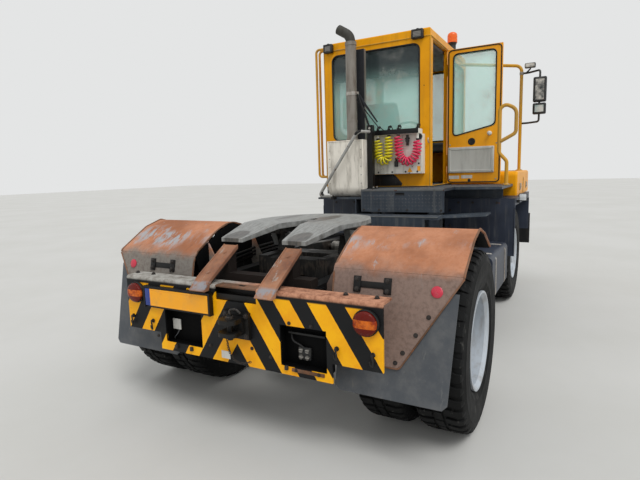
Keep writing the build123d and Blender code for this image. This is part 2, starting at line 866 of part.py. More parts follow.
# Fifth-wheel plate: round front, two lobes to the rear and a throat that closes on the kingpin
kingpin_bore = 25.4
lobe_rear = -490
lobe_inner_y = 150
lobe_outer_y = 315
lobe_bend = kingpin_ahead - 340
lobe_drop = 63
lobe_edge = 24
with BuildPart() as fifth_wheel_plate:
    with BuildSketch(Plane.XY.offset(plate_top - plate_thickness - lobe_drop)) as plate:
        with BuildLine():
            Polyline(
                (ahead(kingpin_ahead + 280), plate_half_width * 0.76),
                (ahead(kingpin_ahead + 90), plate_half_width - 18),
                (ahead(kingpin_ahead - 60), plate_half_width),
                (ahead(kingpin_ahead - 250), plate_half_width - 30),
                (ahead(lobe_rear), lobe_outer_y),
                (ahead(lobe_rear), lobe_inner_y),
                (ahead(kingpin_ahead - 230), 60),
                (ahead(kingpin_ahead - 150), kingpin_bore + 6),
                (ahead(kingpin_ahead), kingpin_bore + 6),
                (ahead(kingpin_ahead), -kingpin_bore - 6),
                (ahead(kingpin_ahead - 150), -kingpin_bore - 6),
                (ahead(kingpin_ahead - 230), -60),
                (ahead(lobe_rear), -lobe_inner_y),
                (ahead(lobe_rear), -lobe_outer_y),
                (ahead(kingpin_ahead - 250), -plate_half_width + 30),
                (ahead(kingpin_ahead - 60), -plate_half_width),
                (ahead(kingpin_ahead + 90), -plate_half_width + 18),
                (ahead(kingpin_ahead + 280), -plate_half_width * 0.76),
            )
            ThreePointArc(
                (ahead(kingpin_ahead + 280), -plate_half_width * 0.76),
                (ahead(kingpin_ahead + 430), 0),
                (ahead(kingpin_ahead + 280), plate_half_width * 0.76),
            )
        make_face()
    extrude(plate.sketch, amount=plate_thickness + lobe_drop)
    side_plate(
        [
            (ahead(lobe_rear), plate_top - lobe_drop),
            (ahead(lobe_bend), plate_top),
            (ahead(kingpin_ahead + 431), plate_top),
            (ahead(kingpin_ahead + 431), plate_top - plate_thickness),
            (ahead(lobe_bend), plate_top - plate_thickness),
            (ahead(lobe_rear), plate_top - lobe_drop - lobe_edge),
        ],
        -plate_half_width - 1,
        plate_half_width + 1,
        mode=Mode.INTERSECT,
    )
    with BuildSketch(Plane.XY.offset(plate_top - plate_thickness - 34)) as jaw_block:
        with Locations((ahead(kingpin_ahead + 10), 0)):
            RectangleRounded(210, 170, 30)
    extrude(jaw_block.sketch, amount=plate_thickness + 30)
    with BuildSketch(Plane.XY.offset(plate_top - plate_thickness - 40)) as bore:
        with Locations((ahead(kingpin_ahead), 0)):
            Circle(kingpin_bore)
    extrude(bore.sketch, amount=plate_thickness + 60, mode=Mode.SUBTRACT)
    for side in (-1, 1):
        side_plate(
            [
                (ahead(kingpin_ahead - 110), plate_top - plate_thickness + 2),
                (ahead(kingpin_ahead - 48), plate_pivot_z - 48),
                (ahead(kingpin_ahead + 48), plate_pivot_z - 48),
                (ahead(kingpin_ahead + 110), plate_top - plate_thickness + 2),
            ],
            side * (boom_arm_outer_y + 8),
            side * (boom_arm_outer_y + 58),
        )
    round_bar(
        (ahead(kingpin_ahead), -rail_outer_y, plate_pivot_z),
        (ahead(kingpin_ahead), rail_outer_y, plate_pivot_z),
        pivot_pin_radius + running_gap,
        mode=Mode.SUBTRACT,
    )
fifth_wheel_plate.part.label = "fifth_wheel_plate"
export_step(fifth_wheel_plate.part, "parts/fifth_wheel_plate.step")

# Engine and gearbox as one block between the rails, with the shaft to the rear axle
engine_half_width = flange_inner_y - 20
shaft_radius = 45
engine_rear = wheelbase - 450
gearbox_rear = wheelbase - 1150
with BuildPart() as engine:
    block(
        (ahead(engine_rear), ahead(engine_rear + 1200)),
        (-engine_half_width, engine_half_width),
        (rail_bottom + 70, cab_floor_bottom - 85),
    )
    block((ahead(gearbox_rear), ahead(engine_rear + 2)), (-210, 210), (rail_bottom + 20, rail_bottom + 390))
    block(
        (ahead(wheelbase - 245), ahead(wheelbase - 195)), (-120, 120), (rail_bottom + 60, rail_bottom + 75)
    )
engine.part.label = "engine"
export_step(engine.part, "parts/engine.step")

with BuildPart() as propshaft:
    round_bar(
        (ahead(330 + seat_gap), 0, tyre_radius + 22),
        (ahead(gearbox_rear) - 12, 0, rail_bottom + 65),
        shaft_radius,
    )
    block(
        (ahead(gearbox_rear) - 20, ahead(gearbox_rear)), (-80, 80), (rail_bottom + 22, rail_bottom + 120)
    )
    block(
        (ahead(250), ahead(330) + seat_gap),
        (-120, 120),
        (tyre_radius - 120, tyre_radius + 140),
        mode=Mode.SUBTRACT,
    )
propshaft.part.label = "propshaft"
export_step(propshaft.part, "parts/propshaft.step")

# Fuel tank on the right and battery box with air tanks on the left
tank_x = (wheelbase - 1958, wheelbase - 1036)
tank_y = (rail_outer_y + 25, 1097)
tank_z = (430, 828)
with BuildPart() as fuel_tank:
    block((ahead(tank_x[0]), ahead(tank_x[1])), (-tank_y[1], -tank_y[0]), tank_z)
    fillet(fuel_tank.edges().filter_by(Axis.X), 50)
    for x in (tank_x[0] + 120, tank_x[1] - 200):
        block((ahead(x), ahead(x + 80)), (-tank_y[0] - 5, -rail_outer_y), (690, 790))
fuel_tank.part.label = "fuel_tank"
export_step(fuel_tank.part, "parts/fuel_tank.step")

battery_x = (wheelbase - 1900, wheelbase - 1250)
with BuildPart() as battery_box:
    block((ahead(battery_x[0]), ahead(battery_x[1])), (tank_y[0], 1000), (480, 860))
    fillet(battery_box.edges().filter_by(Axis.X), 20)
    for x in (battery_x[0] + 100, battery_x[1] - 170):
        block((ahead(x), ahead(x + 80)), (rail_outer_y, tank_y[0] + 5), (700, 800))
battery_box.part.label = "battery_box"
export_step(battery_box.part, "parts/battery_box.step")

air_tank_radius = 105
air_tank_x = (wheelbase - 1180, wheelbase - 840)
with BuildPart() as air_tanks:
    for y in (540, 780):
        round_bar((ahead(air_tank_x[0]), y, 640), (ahead(air_tank_x[1]), y, 640), air_tank_radius)
    block((ahead(air_tank_x[0] + 140), ahead(air_tank_x[0] + 180)), (rail_outer_y, 800), (730, 760))
air_tanks.part.label = "air_tanks"
export_step(air_tanks.part, "parts/air_tanks.step")

# Front wings: rear panel, top and front panel over each steered wheel
wing_rear = wheelbase - 770
wing_front = wheelbase + 760
wing_outer_y = 1129
wing_top = 1250
wing_sheet = 8
wing_panel_low = 640
with BuildPart() as front_wings:
    for side in (-1, 1):
        side_plate(
            [
                (ahead(wing_rear), wing_panel_low),
                (ahead(wing_rear), wing_top),
                (ahead(wing_front), wing_top),
                (ahead(wing_front), wing_panel_low + 120),
                (ahead(wing_front) - wing_sheet, wing_panel_low + 120),
                (ahead(wing_front) - wing_sheet, wing_top - wing_sheet),
                (ahead(wing_rear) + wing_sheet, wing_top - wing_sheet),
                (ahead(wing_rear) + wing_sheet, wing_panel_low),
            ],
            side * rail_outer_y,
            side * wing_outer_y,
        )
        block(
            (ahead(wing_rear), ahead(wing_front)),
            (side * (wing_outer_y - wing_sheet), side * wing_outer_y),
            (wing_top - 70, wing_top),
        )
front_wings.part.label = "front_wings"
export_step(front_wings.part, "parts/front_wings.step")

# Front bumper with its headlamps
front_bumper_rear = rail_front
front_bumper_face = wheelbase + 1250
front_bumper_half = 1120
with BuildPart() as front_bumper:
    block(
        (ahead(front_bumper_rear), ahead(front_bumper_face)),
        (-front_bumper_half, front_bumper_half),
        (520, 930),
    )
    fillet(front_bumper.edges().filter_by(Axis.Z).sort_by(Axis.X)[-2:], 110)
front_bumper.part.label = "front_bumper"
export_step(front_bumper.part, "parts/front_bumper.step")

# Engine hood right of the cab, and the front panel with its grille
hood_rear = 2985
hood_front = rail_front
hood_y = (-1085, -345)
hood_z = (wing_top + seat_gap, 1530)
with BuildPart() as engine_hood:
    block((ahead(hood_rear), ahead(hood_front)), hood_y, hood_z)
    fillet(engine_hood.edges().filter_by(Axis.Y).group_by(Axis.Z)[-1], 60)
    fillet(engine_hood.edges().filter_by(Axis.X).group_by(Axis.Y)[0].sort_by(Axis.Z)[-1:], 25)
engine_hood.part.label = "engine_hood"
export_step(engine_hood.part, "parts/engine_hood.step")

with BuildPart() as front_panel:
    block(
        (ahead(rail_front - 90), ahead(rail_front - 5)),
        (-rail_outer_y, cab_left_y),
        (rail_top, hood_z[0] - seat_gap),
    )
    for slot in range(6):
        z = rail_top + 60 + slot * 42
        block((ahead(rail_front - 50), ahead(rail_front)), (-300, 300), (z, z + 22), mode=Mode.SUBTRACT)
front_panel.part.label = "front_panel"
export_step(front_panel.part, "parts/front_panel.step")

# Decks behind and beside the cab, with a chequered riser and a lower tread
tread_top = 1130
tread_rear = 1500
deck_gap = 8
with BuildPart() as rear_deck:
    block(
        (ahead(step_rear), ahead(cab_rear - deck_gap)),
        (step_right_y, step_left_y),
        (deck_top - deck_sheet, deck_top),
    )
    block(
        (ahead(cab_rear - deck_gap - 100), ahead(hood_rear - 10)),
        (deck_outer_y, cab_right_y - deck_gap),
        (deck_top - deck_sheet, deck_top),
    )
    block(
        (ahead(step_rear), ahead(step_rear + 10)),
        (step_right_y, step_left_y),
        (tread_top + 25, deck_top - deck_sheet),
    )
    block(
        (ahead(step_rear) - 1, ahead(step_rear + 11)),
        (-172, -77),
        (deck_top - 58, deck_top - 38),
        mode=Mode.SUBTRACT,
    )
    block(
        (ahead(1790), ahead(cab_rear - deck_gap)), (step_left_y, 850), (1280, 1300)
    )
    block(
        (ahead(step_rear), ahead(cab_rear - deck_gap)),
        (step_left_y - 10, step_left_y),
        (1280, deck_top - deck_sheet),
    )
    for y in (-rail_outer_y, rail_outer_y - 12):
        block((ahead(1790), ahead(cab_rear - deck_gap)), (y, y + 12), (rail_top, 1285))
    block(
        (ahead(1790), ahead(cab_rear - deck_gap)),
        (-rail_outer_y, -rail_outer_y + 12),
        (1280, deck_top - 10),
    )
    block(
        (ahead(wing_rear + 60), ahead(wing_rear + 70)),
        (deck_outer_y + 40, cab_right_y - 40),
        (wing_top, deck_top - 10),
    )
rear_deck.part.label = "rear_deck"
export_step(rear_deck.part, "parts/rear_deck.step")

with BuildPart() as rear_steps:
    block(
        (ahead(tread_rear), ahead(step_rear + 60)),
        (step_right_y, step_left_y + 110),
        (tread_top - 25, tread_top),
    )
    block(
        (ahead(tread_rear), ahead(tread_rear + 10)),
        (-rail_outer_y - 40, rail_outer_y + 5),
        (rail_top, tread_top - 20),
    )
    block(
        (ahead(step_rear + 40), ahead(step_rear + 50)),
        (-rail_outer_y, rail_outer_y),
        (rail_top, tread_top - 20),
    )
    block(
        (ahead(step_rear + 39), ahead(step_rear + 51)),
        (-235, 235),
        (rail_top - 1, rail_bottom + 405),
        mode=Mode.SUBTRACT,
    )
    with BuildSketch(Plane.XY.offset(tread_top - 20)) as side_tread:
        with BuildLine():
            Polyline(
                (ahead(tread_rear + 120), step_right_y + 5),
                (ahead(step_rear + 60), step_right_y + 5),
                (ahead(wing_rear - 250), -930),
                (ahead(wing_rear - 550), -930),
                close=True,
            )
        make_face()
    extrude(side_tread.sketch, amount=20)
rear_steps.part.label = "rear_steps"
export_step(rear_steps.part, "parts/rear_steps.step")

# Cab shell: floor, rear wall, two sides with door openings, front and roof
window_low = 1930
window_high = door_height_top - 35
window_corner = 70


def window_cut(plane, limits, depth, corner=window_corner):
    """Rounded window opening cut through a wall."""
    (u_low, u_high), (v_low, v_high) = limits
    with BuildSketch(plane) as opening:
        with Locations(((u_low + u_high) / 2, (v_low + v_high) / 2)):
            RectangleRounded(u_high - u_low, v_high - v_low, corner)
    extrude(opening.sketch, amount=depth, both=True, mode=Mode.SUBTRACT)


def pane(plane, limits, corner=window_corner):
    """Window glass, a seat gap smaller than its opening and centred on a plane."""
    (u_low, u_high), (v_low, v_high) = limits
    with BuildSketch(plane) as glass:
        with Locations(((u_low + u_high) / 2, (v_low + v_high) / 2)):
            RectangleRounded(
                u_high - u_low - 2 * seat_gap, v_high - v_low - 2 * seat_gap, corner - seat_gap
            )
    extrude(glass.sketch, amount=glass_thickness / 2, both=True)


rear_window = ((-180, 860), (window_low, window_high))
front_window = ((-225, 893), (1960, window_high - 5))
right_window = ((ahead(right_hinge_ahead + 75), ahead(cab_front - 100)), (2000, window_high - 15))
left_front_window = ((ahead(left_hinge_ahead + 64), ahead(cab_front - 100)), (2000, window_high - 15))
rear_middle = Plane.YZ.offset(ahead(cab_rear + cab_wall / 2))
front_middle = Plane.YZ.offset(ahead(cab_front - cab_wall / 2))
right_middle = side_face(cab_right_y + cab_wall / 2)
left_middle = side_face(cab_left_y - cab_wall / 2)

with BuildPart() as cab_floor:
    block(
        (ahead(cab_rear), ahead(cab_front)),
        (cab_right_y, cab_left_y),
        (cab_floor_bottom, cab_floor_top),
    )
    for x in (cab_rear + 60, cab_front - 260):
        block(
            (ahead(x), ahead(x + 80)),
            (-flange_inner_y - 20, rail_outer_y - 5),
            (cab_floor_bottom - 75, cab_floor_bottom),
        )
        for side in (-1, 1):
            block(
                (ahead(x), ahead(x + 80)),
                (side * flange_inner_y, side * (rail_outer_y - 5)),
                (rail_top, hood_z[0] - 5),
            )
cab_floor.part.label = "cab_floor"
export_step(cab_floor.part, "parts/cab_floor.step")

with BuildPart() as cab_rear_wall:
    block(
        (ahead(cab_rear), ahead(cab_rear + cab_wall)),
        (cab_right_y, cab_left_y),
        (cab_floor_top, cab_roof_bottom),
    )
    window_cut(rear_middle, rear_window, cab_wall)
cab_rear_wall.part.label = "cab_rear_wall"
export_step(cab_rear_wall.part, "parts/cab_rear_wall.step")

door_gap = 6
door_openings = (
    # wall's outer Y, side, from X, to X
    (cab_right_y, -1, right_hinge_ahead - door_width - door_edge_gap - door_gap, right_hinge_ahead + 2),
    (cab_left_y, 1, left_hinge_ahead - door_width - door_edge_gap - door_gap, left_hinge_ahead + 2),
)
hinge_radius = 8
hinge_eye_radius = 14
hinge_heights = (door_height_bottom + 236, door_height_top - 250)
hinge_length = 70
with BuildPart() as cab_sides:
    for outer_y, side, x_low, x_high in door_openings:
        inner_y = outer_y - side * cab_wall
        block(
            (ahead(cab_rear + cab_wall), ahead(cab_front - cab_wall)),
            (outer_y, inner_y),
            (cab_floor_top, cab_roof_bottom),
        )
        block(
            (ahead(x_low), ahead(x_high)),
            (outer_y + side, inner_y - side),
            (cab_floor_top - 1, door_height_top + door_gap),
            mode=Mode.SUBTRACT,
        )
        window = right_window if side < 0 else left_front_window
        window_cut(right_middle if side < 0 else left_middle, window, cab_wall)
        hinge_x = ahead(x_high - 2)
        hinge_y = outer_y + side * door_hinge_offset
        for z in hinge_heights:
            round_bar((hinge_x, hinge_y, z - 35), (hinge_x, hinge_y, z + 100), hinge_radius)
            block(
                (hinge_x - 8, hinge_x + 60),
                (outer_y, outer_y + side * 12),
                (z + 40, z + 100),
            )
cab_sides.part.label = "cab_sides"
export_step(cab_sides.part, "parts/cab_sides.step")

with BuildPart() as cab_front_wall:
    block(
        (ahead(cab_front - cab_wall), ahead(cab_front)),
        (cab_right_y, cab_left_y),
        (cab_floor_top, cab_roof_bottom),
    )
    window_cut(front_middle, front_window, cab_wall)
cab_front_wall.part.label = "cab_front_wall"
export_step(cab_front_wall.part, "parts/cab_front_wall.step")

with BuildPart() as cab_roof:
    block(
        (ahead(cab_rear), ahead(cab_front)),
        (cab_right_y, cab_left_y),
        (cab_roof_bottom, cab_roof_top),
    )
    fillet(cab_roof.edges().group_by(Axis.Z)[-1], 18)
cab_roof.part.label = "cab_roof"
export_step(cab_roof.part, "parts/cab_roof.step")

with BuildPart() as cab_glass:
    pane(rear_middle, rear_window)
    pane(front_middle, front_window)
    pane(right_middle, right_window)
    pane(left_middle, left_front_window)
cab_glass.part.label = "cab_glass"
export_step(cab_glass.part, "parts/cab_glass.step")

# Doors: each modelled closed, with a window and hinge eyes; the right one stands open
door_window_low = 1940
door_window_rise = 110
door_window_high = door_height_top - 50
door_border = 60
for name, outer_y, side, hinge_ahead, turn in (
    ("right", cab_right_y, -1, right_hinge_ahead, 90),
    ("left", cab_left_y, 1, left_hinge_ahead, 0),
):
    hinge_x, hinge_y = ahead(hinge_ahead), outer_y + side * door_hinge_offset
    edge_x = hinge_x - door_edge_gap
    free_x = edge_x - door_width
    inner_y = outer_y - side * door_thickness
    window = [
        (edge_x - door_border, door_window_low),
        (edge_x - door_border, door_window_high),
        (free_x + door_border, door_window_high),
        (free_x + door_border, door_window_low + door_window_rise),
    ]
    middle = side_face((outer_y + inner_y) / 2)
    with BuildPart() as door_closed:
        block((free_x, edge_x), (outer_y, inner_y), (door_height_bottom, door_height_top))
        with BuildSketch(middle) as opening:
            with BuildLine():
                Polyline(*window, close=True)
            make_face()
            fillet(opening.vertices(), 50)
        extrude(opening.sketch, amount=door_thickness, both=True, mode=Mode.SUBTRACT)
        for z in hinge_heights:
            round_bar((hinge_x, hinge_y, z - 34), (hinge_x, hinge_y, z + 35), hinge_eye_radius)
            block((edge_x - 30, hinge_x), (outer_y, outer_y + side * 12), (z - 34, z + 35))
            round_bar(
                (hinge_x, hinge_y, z - 36),
                (hinge_x, hinge_y, z + 40),
                hinge_radius + running_gap,
                mode=Mode.SUBTRACT,
            )
    with BuildPart() as glass_closed:
        with BuildSketch(middle) as glass:
            with BuildLine():
                Polyline(*window, close=True)
            make_face()
            fillet(glass.vertices(), 50)
            offset(amount=-seat_gap, mode=Mode.REPLACE)
        extrude(glass.sketch, amount=glass_thickness / 2, both=True)
    hinge_axis = Axis((hinge_x, hinge_y, 0), (0, 0, 1))
    with BuildPart() as door:
        add(door_closed.part.rotate(hinge_axis, turn))
    door.part.label = f"door_{name}"
    export_step(door.part, f"parts/door_{name}.step")
    with BuildPart() as door_glass:
        add(glass_closed.part.rotate(hinge_axis, turn))
    door_glass.part.label = f"door_glass_{name}"
    export_step(door_glass.part, f"parts/door_glass_{name}.step")

# Seat and steering console inside the cab
seat_x = ahead(2500)
seat_y = (100, 600)
with BuildPart() as seat:
    block((seat_x + 60, seat_x + 420), (seat_y[0] + 60, seat_y[1] - 60), (cab_floor_top, 1640))
    block((seat_x, seat_x + 480), seat_y, (1640, 1780))
    side_plate(
        [
            (seat_x - 60, 1780),
            (seat_x - 130, 2330),
            (seat_x - 20, 2330),
            (seat_x + 90, 1780),
        ],
        seat_y[0] + 20,
        seat_y[1] - 20,
    )
    block((seat_x - 60, seat_x + 80), (seat_y[0] + 20, seat_y[1] - 20), (1700, 1790))
seat.part.label = "seat"
export_step(seat.part, "parts/seat.step")

wheel_centre = (ahead(3270), 350, 2060)
with BuildPart() as steering_console:
    block((ahead(3560), ahead(cab_front - cab_wall)), (-200, 870), (1800, 1930))
    block((ahead(3500), ahead(3620)), (270, 430), (cab_floor_top, 1820))
    round_bar((ahead(3540), 350, 1790), wheel_centre, 30)
    column = Vector(*wheel_centre) - Vector(ahead(3540), 350, 1790)
    with Locations(Plane(origin=wheel_centre, z_dir=column)):
        Torus(210, 14)
        Cylinder(50, 30)
        Box(420, 30, 12)
steering_console.part.label = "steering_console"
export_step(steering_console.part, "parts/steering_console.step")

# Silencer cover, exhaust stack and the post with its stays behind the cab
cover_x = (1800, 2095)
cover_y = (302, 728)
cover_z = (1300 + seat_gap, 1905)
stack_x = 1935
stack_y = 485
stack_radius = 57
with BuildPart() as silencer_cover:
    block((ahead(cover_x[0]), ahead(cover_x[1])), cover_y, cover_z)
    fillet(silencer_cover.edges().filter_by(Axis.Y).group_by(Axis.X)[0].sort_by(Axis.Z)[0:1], 110)
silencer_cover.part.label = "silencer_cover"
export_step(silencer_cover.part, "parts/silencer_cover.step")

with BuildPart() as exhaust_stack:
    round_bar(
        (ahead(stack_x), stack_y, cover_z[1] + seat_gap),
        (ahead(stack_x), stack_y, 2935),
        stack_radius,
    )
    bent_tube(
        [
            (ahead(stack_x), stack_y, 2900),
            (ahead(stack_x), stack_y, 2995),
            (ahead(stack_x), stack_y + 135, 3078),
        ],
        [90],
        stack_radius - 9,
    )
    block(
        (ahead(stack_x + 85), ahead(stack_x + 145)),
        (375, 560),
        (cover_z[1] + seat_gap, 2870),
    )
    block(
        (ahead(stack_x), ahead(stack_x + 90)),
        (stack_y - 20, stack_y + 20),
        (2380, 2420),
    )
exhaust_stack.part.label = "exhaust_stack"
export_step(exhaust_stack.part, "parts/exhaust_stack.step")

post_x = (1900, 1965)
post_y = (240, 298)
with BuildPart() as exhaust_post:
    block((ahead(post_x[0]), ahead(post_x[1])), post_y, (deck_top, 2050))
    round_bar(
        (ahead(post_x[0] + 30), post_y[1] - 20, 2030),
        (ahead(stack_x), stack_y - stack_radius - 14, 2390),
        11,
    )
    bent_tube(
        [
            (ahead(1725), 632, 1315),
            (ahead(1725), 805, 1315),
            (ahead(1725), 330, 1985),
            (ahead(post_x[0] + 20), 262, 1985),
        ],
        [40, 40],
        15,
    )
    block((ahead(1710), ahead(1790)), (620, 650), (1280, 1310))
exhaust_post.part.label = "exhaust_post"
export_step(exhaust_post.part, "parts/exhaust_post.step")

# Air panel on the cab's rear wall, with the bar that holds the hose fittings
panel_x = (2100, cab_rear)
panel_y = (-235, 350)
panel_z = (1535, 1950)
bar_z = (panel_z[1], 2000)
hose_x = ahead(panel_x[0] - 52)
hose_radius = 48
yellow_route = [
    (hose_x, 232, 1905),
    (hose_x, 232, 1714),
    (hose_x, 196, 1678),
    (hose_x, 144, 1678),
    (hose_x, 108, 1714),
    (hose_x, 108, 1935),
]
red_route = [
    (hose_x, 2, 1935),
    (hose_x, 2, 1800),
    (hose_x, -22, 1695),
    (hose_x, -100, 1650),
    (hose_x, -178, 1700),
    (hose_x, -208, 1785),
    (hose_x, -208, 1880),
]
with BuildPart() as air_panel:
    block((ahead(panel_x[0]), ahead(panel_x[1])), panel_y, panel_z)
    block(
        (ahead(panel_x[0] - 80), ahead(panel_x[0] + 60)),
        (panel_y[0] + 10, panel_y[1] - 60),
        bar_z,
    )
    for route in (yellow_route, red_route):
        for x, y, z in (route[0], route[-1]):
            round_bar((x, y, z + seat_gap), (x, y, bar_z[0] + 5), 13)
air_panel.part.label = "air_panel"
export_step(air_panel.part, "parts/air_panel.step")


# Coiled air hoses, each as the tube that its coil fills
def corner_radii(route):
    """Largest tangent arc that each corner's two runs leave room for."""
    radii = []
    for before, corner, after in zip(route, route[1:], route[2:]):
        first = Vector(*corner) - Vector(*before)
        second = Vector(*after) - Vector(*corner)
        half_turn = math.radians(first.get_angle(second)) / 2
        radii.append(0.45 * min(first.length, second.length) / math.tan(half_turn))
    return radii


for name, route in (("yellow_hose", yellow_route), ("red_hose", red_route)):
    radii = corner_radii(route)
    print(name, "radii", [round(r) for r in radii])
    with BuildPart() as hose:
        bent_tube(route, radii, hose_radius)
    hose.part.label = name
    export_step(hose.part, f"parts/{name}.step")

# Grab rails: deck rails on the right with a loop, a tall corner rail, and a pair on the left
rail_radius = 19
rail_x = 2600
far_rail_x = 3600
left_rail_y = 1085
with BuildPart() as grab_rails:
    bent_tube(
        [
            (ahead(rail_x), -1015, deck_top),
            (ahead(rail_x), -1015, 1640),
            (ahead(rail_x), -935, 1730),
            (ahead(rail_x), -935, 2260),
            (ahead(rail_x), -1100, 2180),
            (ahead(rail_x), -1100, 1930),
            (ahead(rail_x), -950, 1850),
        ],
        [60, 60, 62, 90, 60],
        rail_radius,
    )
    bent_tube(
        [
            (ahead(far_rail_x), cab_right_y - 3, door_height_top - 30),
            (ahead(far_rail_x), -1035, door_height_top - 140),
            (ahead(far_rail_x), -1035, hood_z[1]),
        ],
        [80],
        rail_radius,
    )
    for x in (2268, 2350):
        bent_tube(
            [
                (ahead(x), cab_left_y, cab_roof_bottom + 50),
                (ahead(x), left_rail_y, cab_roof_bottom + 50),
                (ahead(x), left_rail_y, 1520),
                (ahead(x), cab_left_y, 1520),
            ],
            [40, 40],
            14,
        )
grab_rails.part.label = "grab_rails"
export_step(grab_rails.part, "parts/grab_rails.step")

# Mirrors on both sides, beacon on the roof, lamps
mirror_x = 3450
mirror_outer_y = 1325
mirror_z = (door_height_top - 740, door_height_top - 310)
with BuildPart() as mirrors:
    block((ahead(mirror_x), ahead(mirror_x + 70)), (-mirror_outer_y, -1180), mirror_z)
    block((ahead(mirror_x), ahead(mirror_x + 70)), (1180, mirror_outer_y), mirror_z)
    bent_tube(
        [
            (ahead(far_rail_x), -1035 - rail_radius - seat_gap, mirror_z[1] + 80),
            (ahead(far_rail_x), -1110, mirror_z[1] + 80),
            (ahead(mirror_x + 35), -1250, mirror_z[1] + 80),
            (ahead(mirror_x + 35), -1250, mirror_z[1] - 20),
        ],
        [30, 40],
        12,
    )
    bent_tube(
        [
            (ahead(far_rail_x), -1035 - rail_radius - seat_gap, mirror_z[0] - 85),
            (ahead(far_rail_x), -1110, mirror_z[0] - 85),
            (ahead(mirror_x + 35), -1250, mirror_z[0] - 85),
            (ahead(mirror_x + 35), -1250, mirror_z[0] + 20),
        ],
        [30, 40],
        12,
    )
    bent_tube(
        [
            (ahead(mirror_x + 35), cab_left_y, door_height_top - 5),
            (ahead(mirror_x + 35), 1250, door_height_top - 5),
            (ahead(mirror_x + 35), 1250, mirror_z[1] - 20),
        ],
        [40],
        12,
    )
mirrors.part.label = "mirrors"
export_step(mirrors.part, "parts/mirrors.step")

beacon_place = (3450, -228)
beacon_stalk = 110
beacon_height = 240
with BuildPart() as beacon:
    round_bar(
        (ahead(beacon_place[0]), beacon_place[1], cab_roof_top),
        (ahead(beacon_place[0]), beacon_place[1], cab_roof_top + beacon_stalk),
        52,
    )
    round_bar(
        (ahead(beacon_place[0]), beacon_place[1], cab_roof_top + beacon_stalk),
        (ahead(beacon_place[0]), beacon_place[1], cab_roof_top + beacon_height),
        62,
    )
    fillet(beacon.edges().group_by(Axis.Z)[-1], 45)
beacon.part.label = "beacon"
export_step(beacon.part, "parts/beacon.step")

with BuildPart() as work_lamps:
    for y_low, y_high in ((830, 940), (-225, -100)):
        block(
            (ahead(cab_rear - 60), ahead(cab_rear)), (y_low, y_high), (door_height_top - 5, cab_roof_bottom + 70)
        )
    block(
        (ahead(wing_rear + 120), ahead(wing_rear + 175)), (-1230, -1150), (1215, 1295)
    )
    block(
        (ahead(wing_rear + 140), ahead(wing_rear + 165)), (-1160, -wing_outer_y), (1195, 1225)
    )
    for side in (-1, 1):
        block(
            (ahead(front_bumper_face), ahead(front_bumper_face + 25)),
            (side * 660, side * 860),
            (680, 800),
        )
work_lamps.part.label = "work_lamps"
export_step(work_lamps.part, "parts/work_lamps.step")
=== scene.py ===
"""Terminal tractor with a lifting fifth wheel: its looks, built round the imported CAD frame.

Every length is in metres, in the frame's own axes: X forward, Y to the driver's left and Z up,
with the ground at z = 0.
"""

from __future__ import annotations

import logging
import math
from contextlib import contextmanager
from dataclasses import dataclass
from enum import Enum
from typing import Callable, Iterator, Sequence

import bmesh
import bpy
from mathutils import Matrix, Vector

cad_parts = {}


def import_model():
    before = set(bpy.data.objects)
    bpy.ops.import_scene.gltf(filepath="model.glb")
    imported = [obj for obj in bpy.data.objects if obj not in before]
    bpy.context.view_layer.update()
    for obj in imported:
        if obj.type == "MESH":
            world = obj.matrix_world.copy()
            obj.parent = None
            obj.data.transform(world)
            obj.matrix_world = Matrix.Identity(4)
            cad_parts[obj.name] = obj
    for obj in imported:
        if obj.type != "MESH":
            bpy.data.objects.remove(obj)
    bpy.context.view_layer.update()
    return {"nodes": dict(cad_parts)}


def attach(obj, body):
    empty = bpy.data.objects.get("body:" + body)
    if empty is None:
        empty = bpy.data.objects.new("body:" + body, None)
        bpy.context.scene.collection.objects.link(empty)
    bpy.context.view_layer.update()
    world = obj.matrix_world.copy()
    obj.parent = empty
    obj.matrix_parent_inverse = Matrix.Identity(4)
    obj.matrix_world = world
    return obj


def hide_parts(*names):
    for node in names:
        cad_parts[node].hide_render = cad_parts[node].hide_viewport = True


log = logging.getLogger("tractor")

Point = Sequence[float]
Place = tuple[Point, Point]
Piece = bpy.types.Object
Socket = bpy.types.NodeSocket

REAR_AXLE_X = -1.765
FRONT_AXLE_X = 1.435
AXLE_Z = 0.546
FULL_TURN = 2 * math.pi
BUMPER_X = -2.537
DECK_Z = 1.385

REAR = (-1.0, 0.0, 0.0)
AHEAD = (1.0, 0.0, 0.0)
LEFT = (0.0, 1.0, 0.0)
UP = (0.0, 0.0, 1.0)
ORIGIN = (0.0, 0.0, 0.0)


def ahead(distance: float) -> float:
    """X of a point this far ahead of the rear axle."""
    return REAR_AXLE_X + distance


def linear(colour: str) -> tuple[float, float, float, float]:
    """Scene-linear colour from a six-digit screen colour.

    Args:
        colour: Colour as "#RRGGBB".

    Returns:
        Red, green, blue and an alpha of 1.
    """
    parts = [int(colour[i : i + 2], 16) / 255 for i in (1, 3, 5)]
    red, green, blue = [c / 12.92 if c <= 0.04045 else ((c + 0.055) / 1.055) ** 2.4 for c in parts]
    return (red, green, blue, 1.0)


class Body(Enum):
    """Bodies of the frame that pieces ride on."""

    CHASSIS = "chassis"
    REAR_WHEELS_LEFT = "rear_wheels_left"
    REAR_WHEELS_RIGHT = "rear_wheels_right"
    FRONT_WHEEL_LEFT = "front_wheel_left"
    FRONT_WHEEL_RIGHT = "front_wheel_right"
    DOOR_RIGHT = "door_right"
    DOOR_LEFT = "door_left"
    BOOM = "lift_boom"
    FIFTH_WHEEL = "fifth_wheel"
    BARRELS = "lift_barrels"


class Side(Enum):
    """The tractor's two sides, by the sign of Y."""

    LEFT = 1
    RIGHT = -1

    @property
    def word(self) -> str:
        """The side's name as the nodes' names end."""
        return self.name.lower()


# Materials


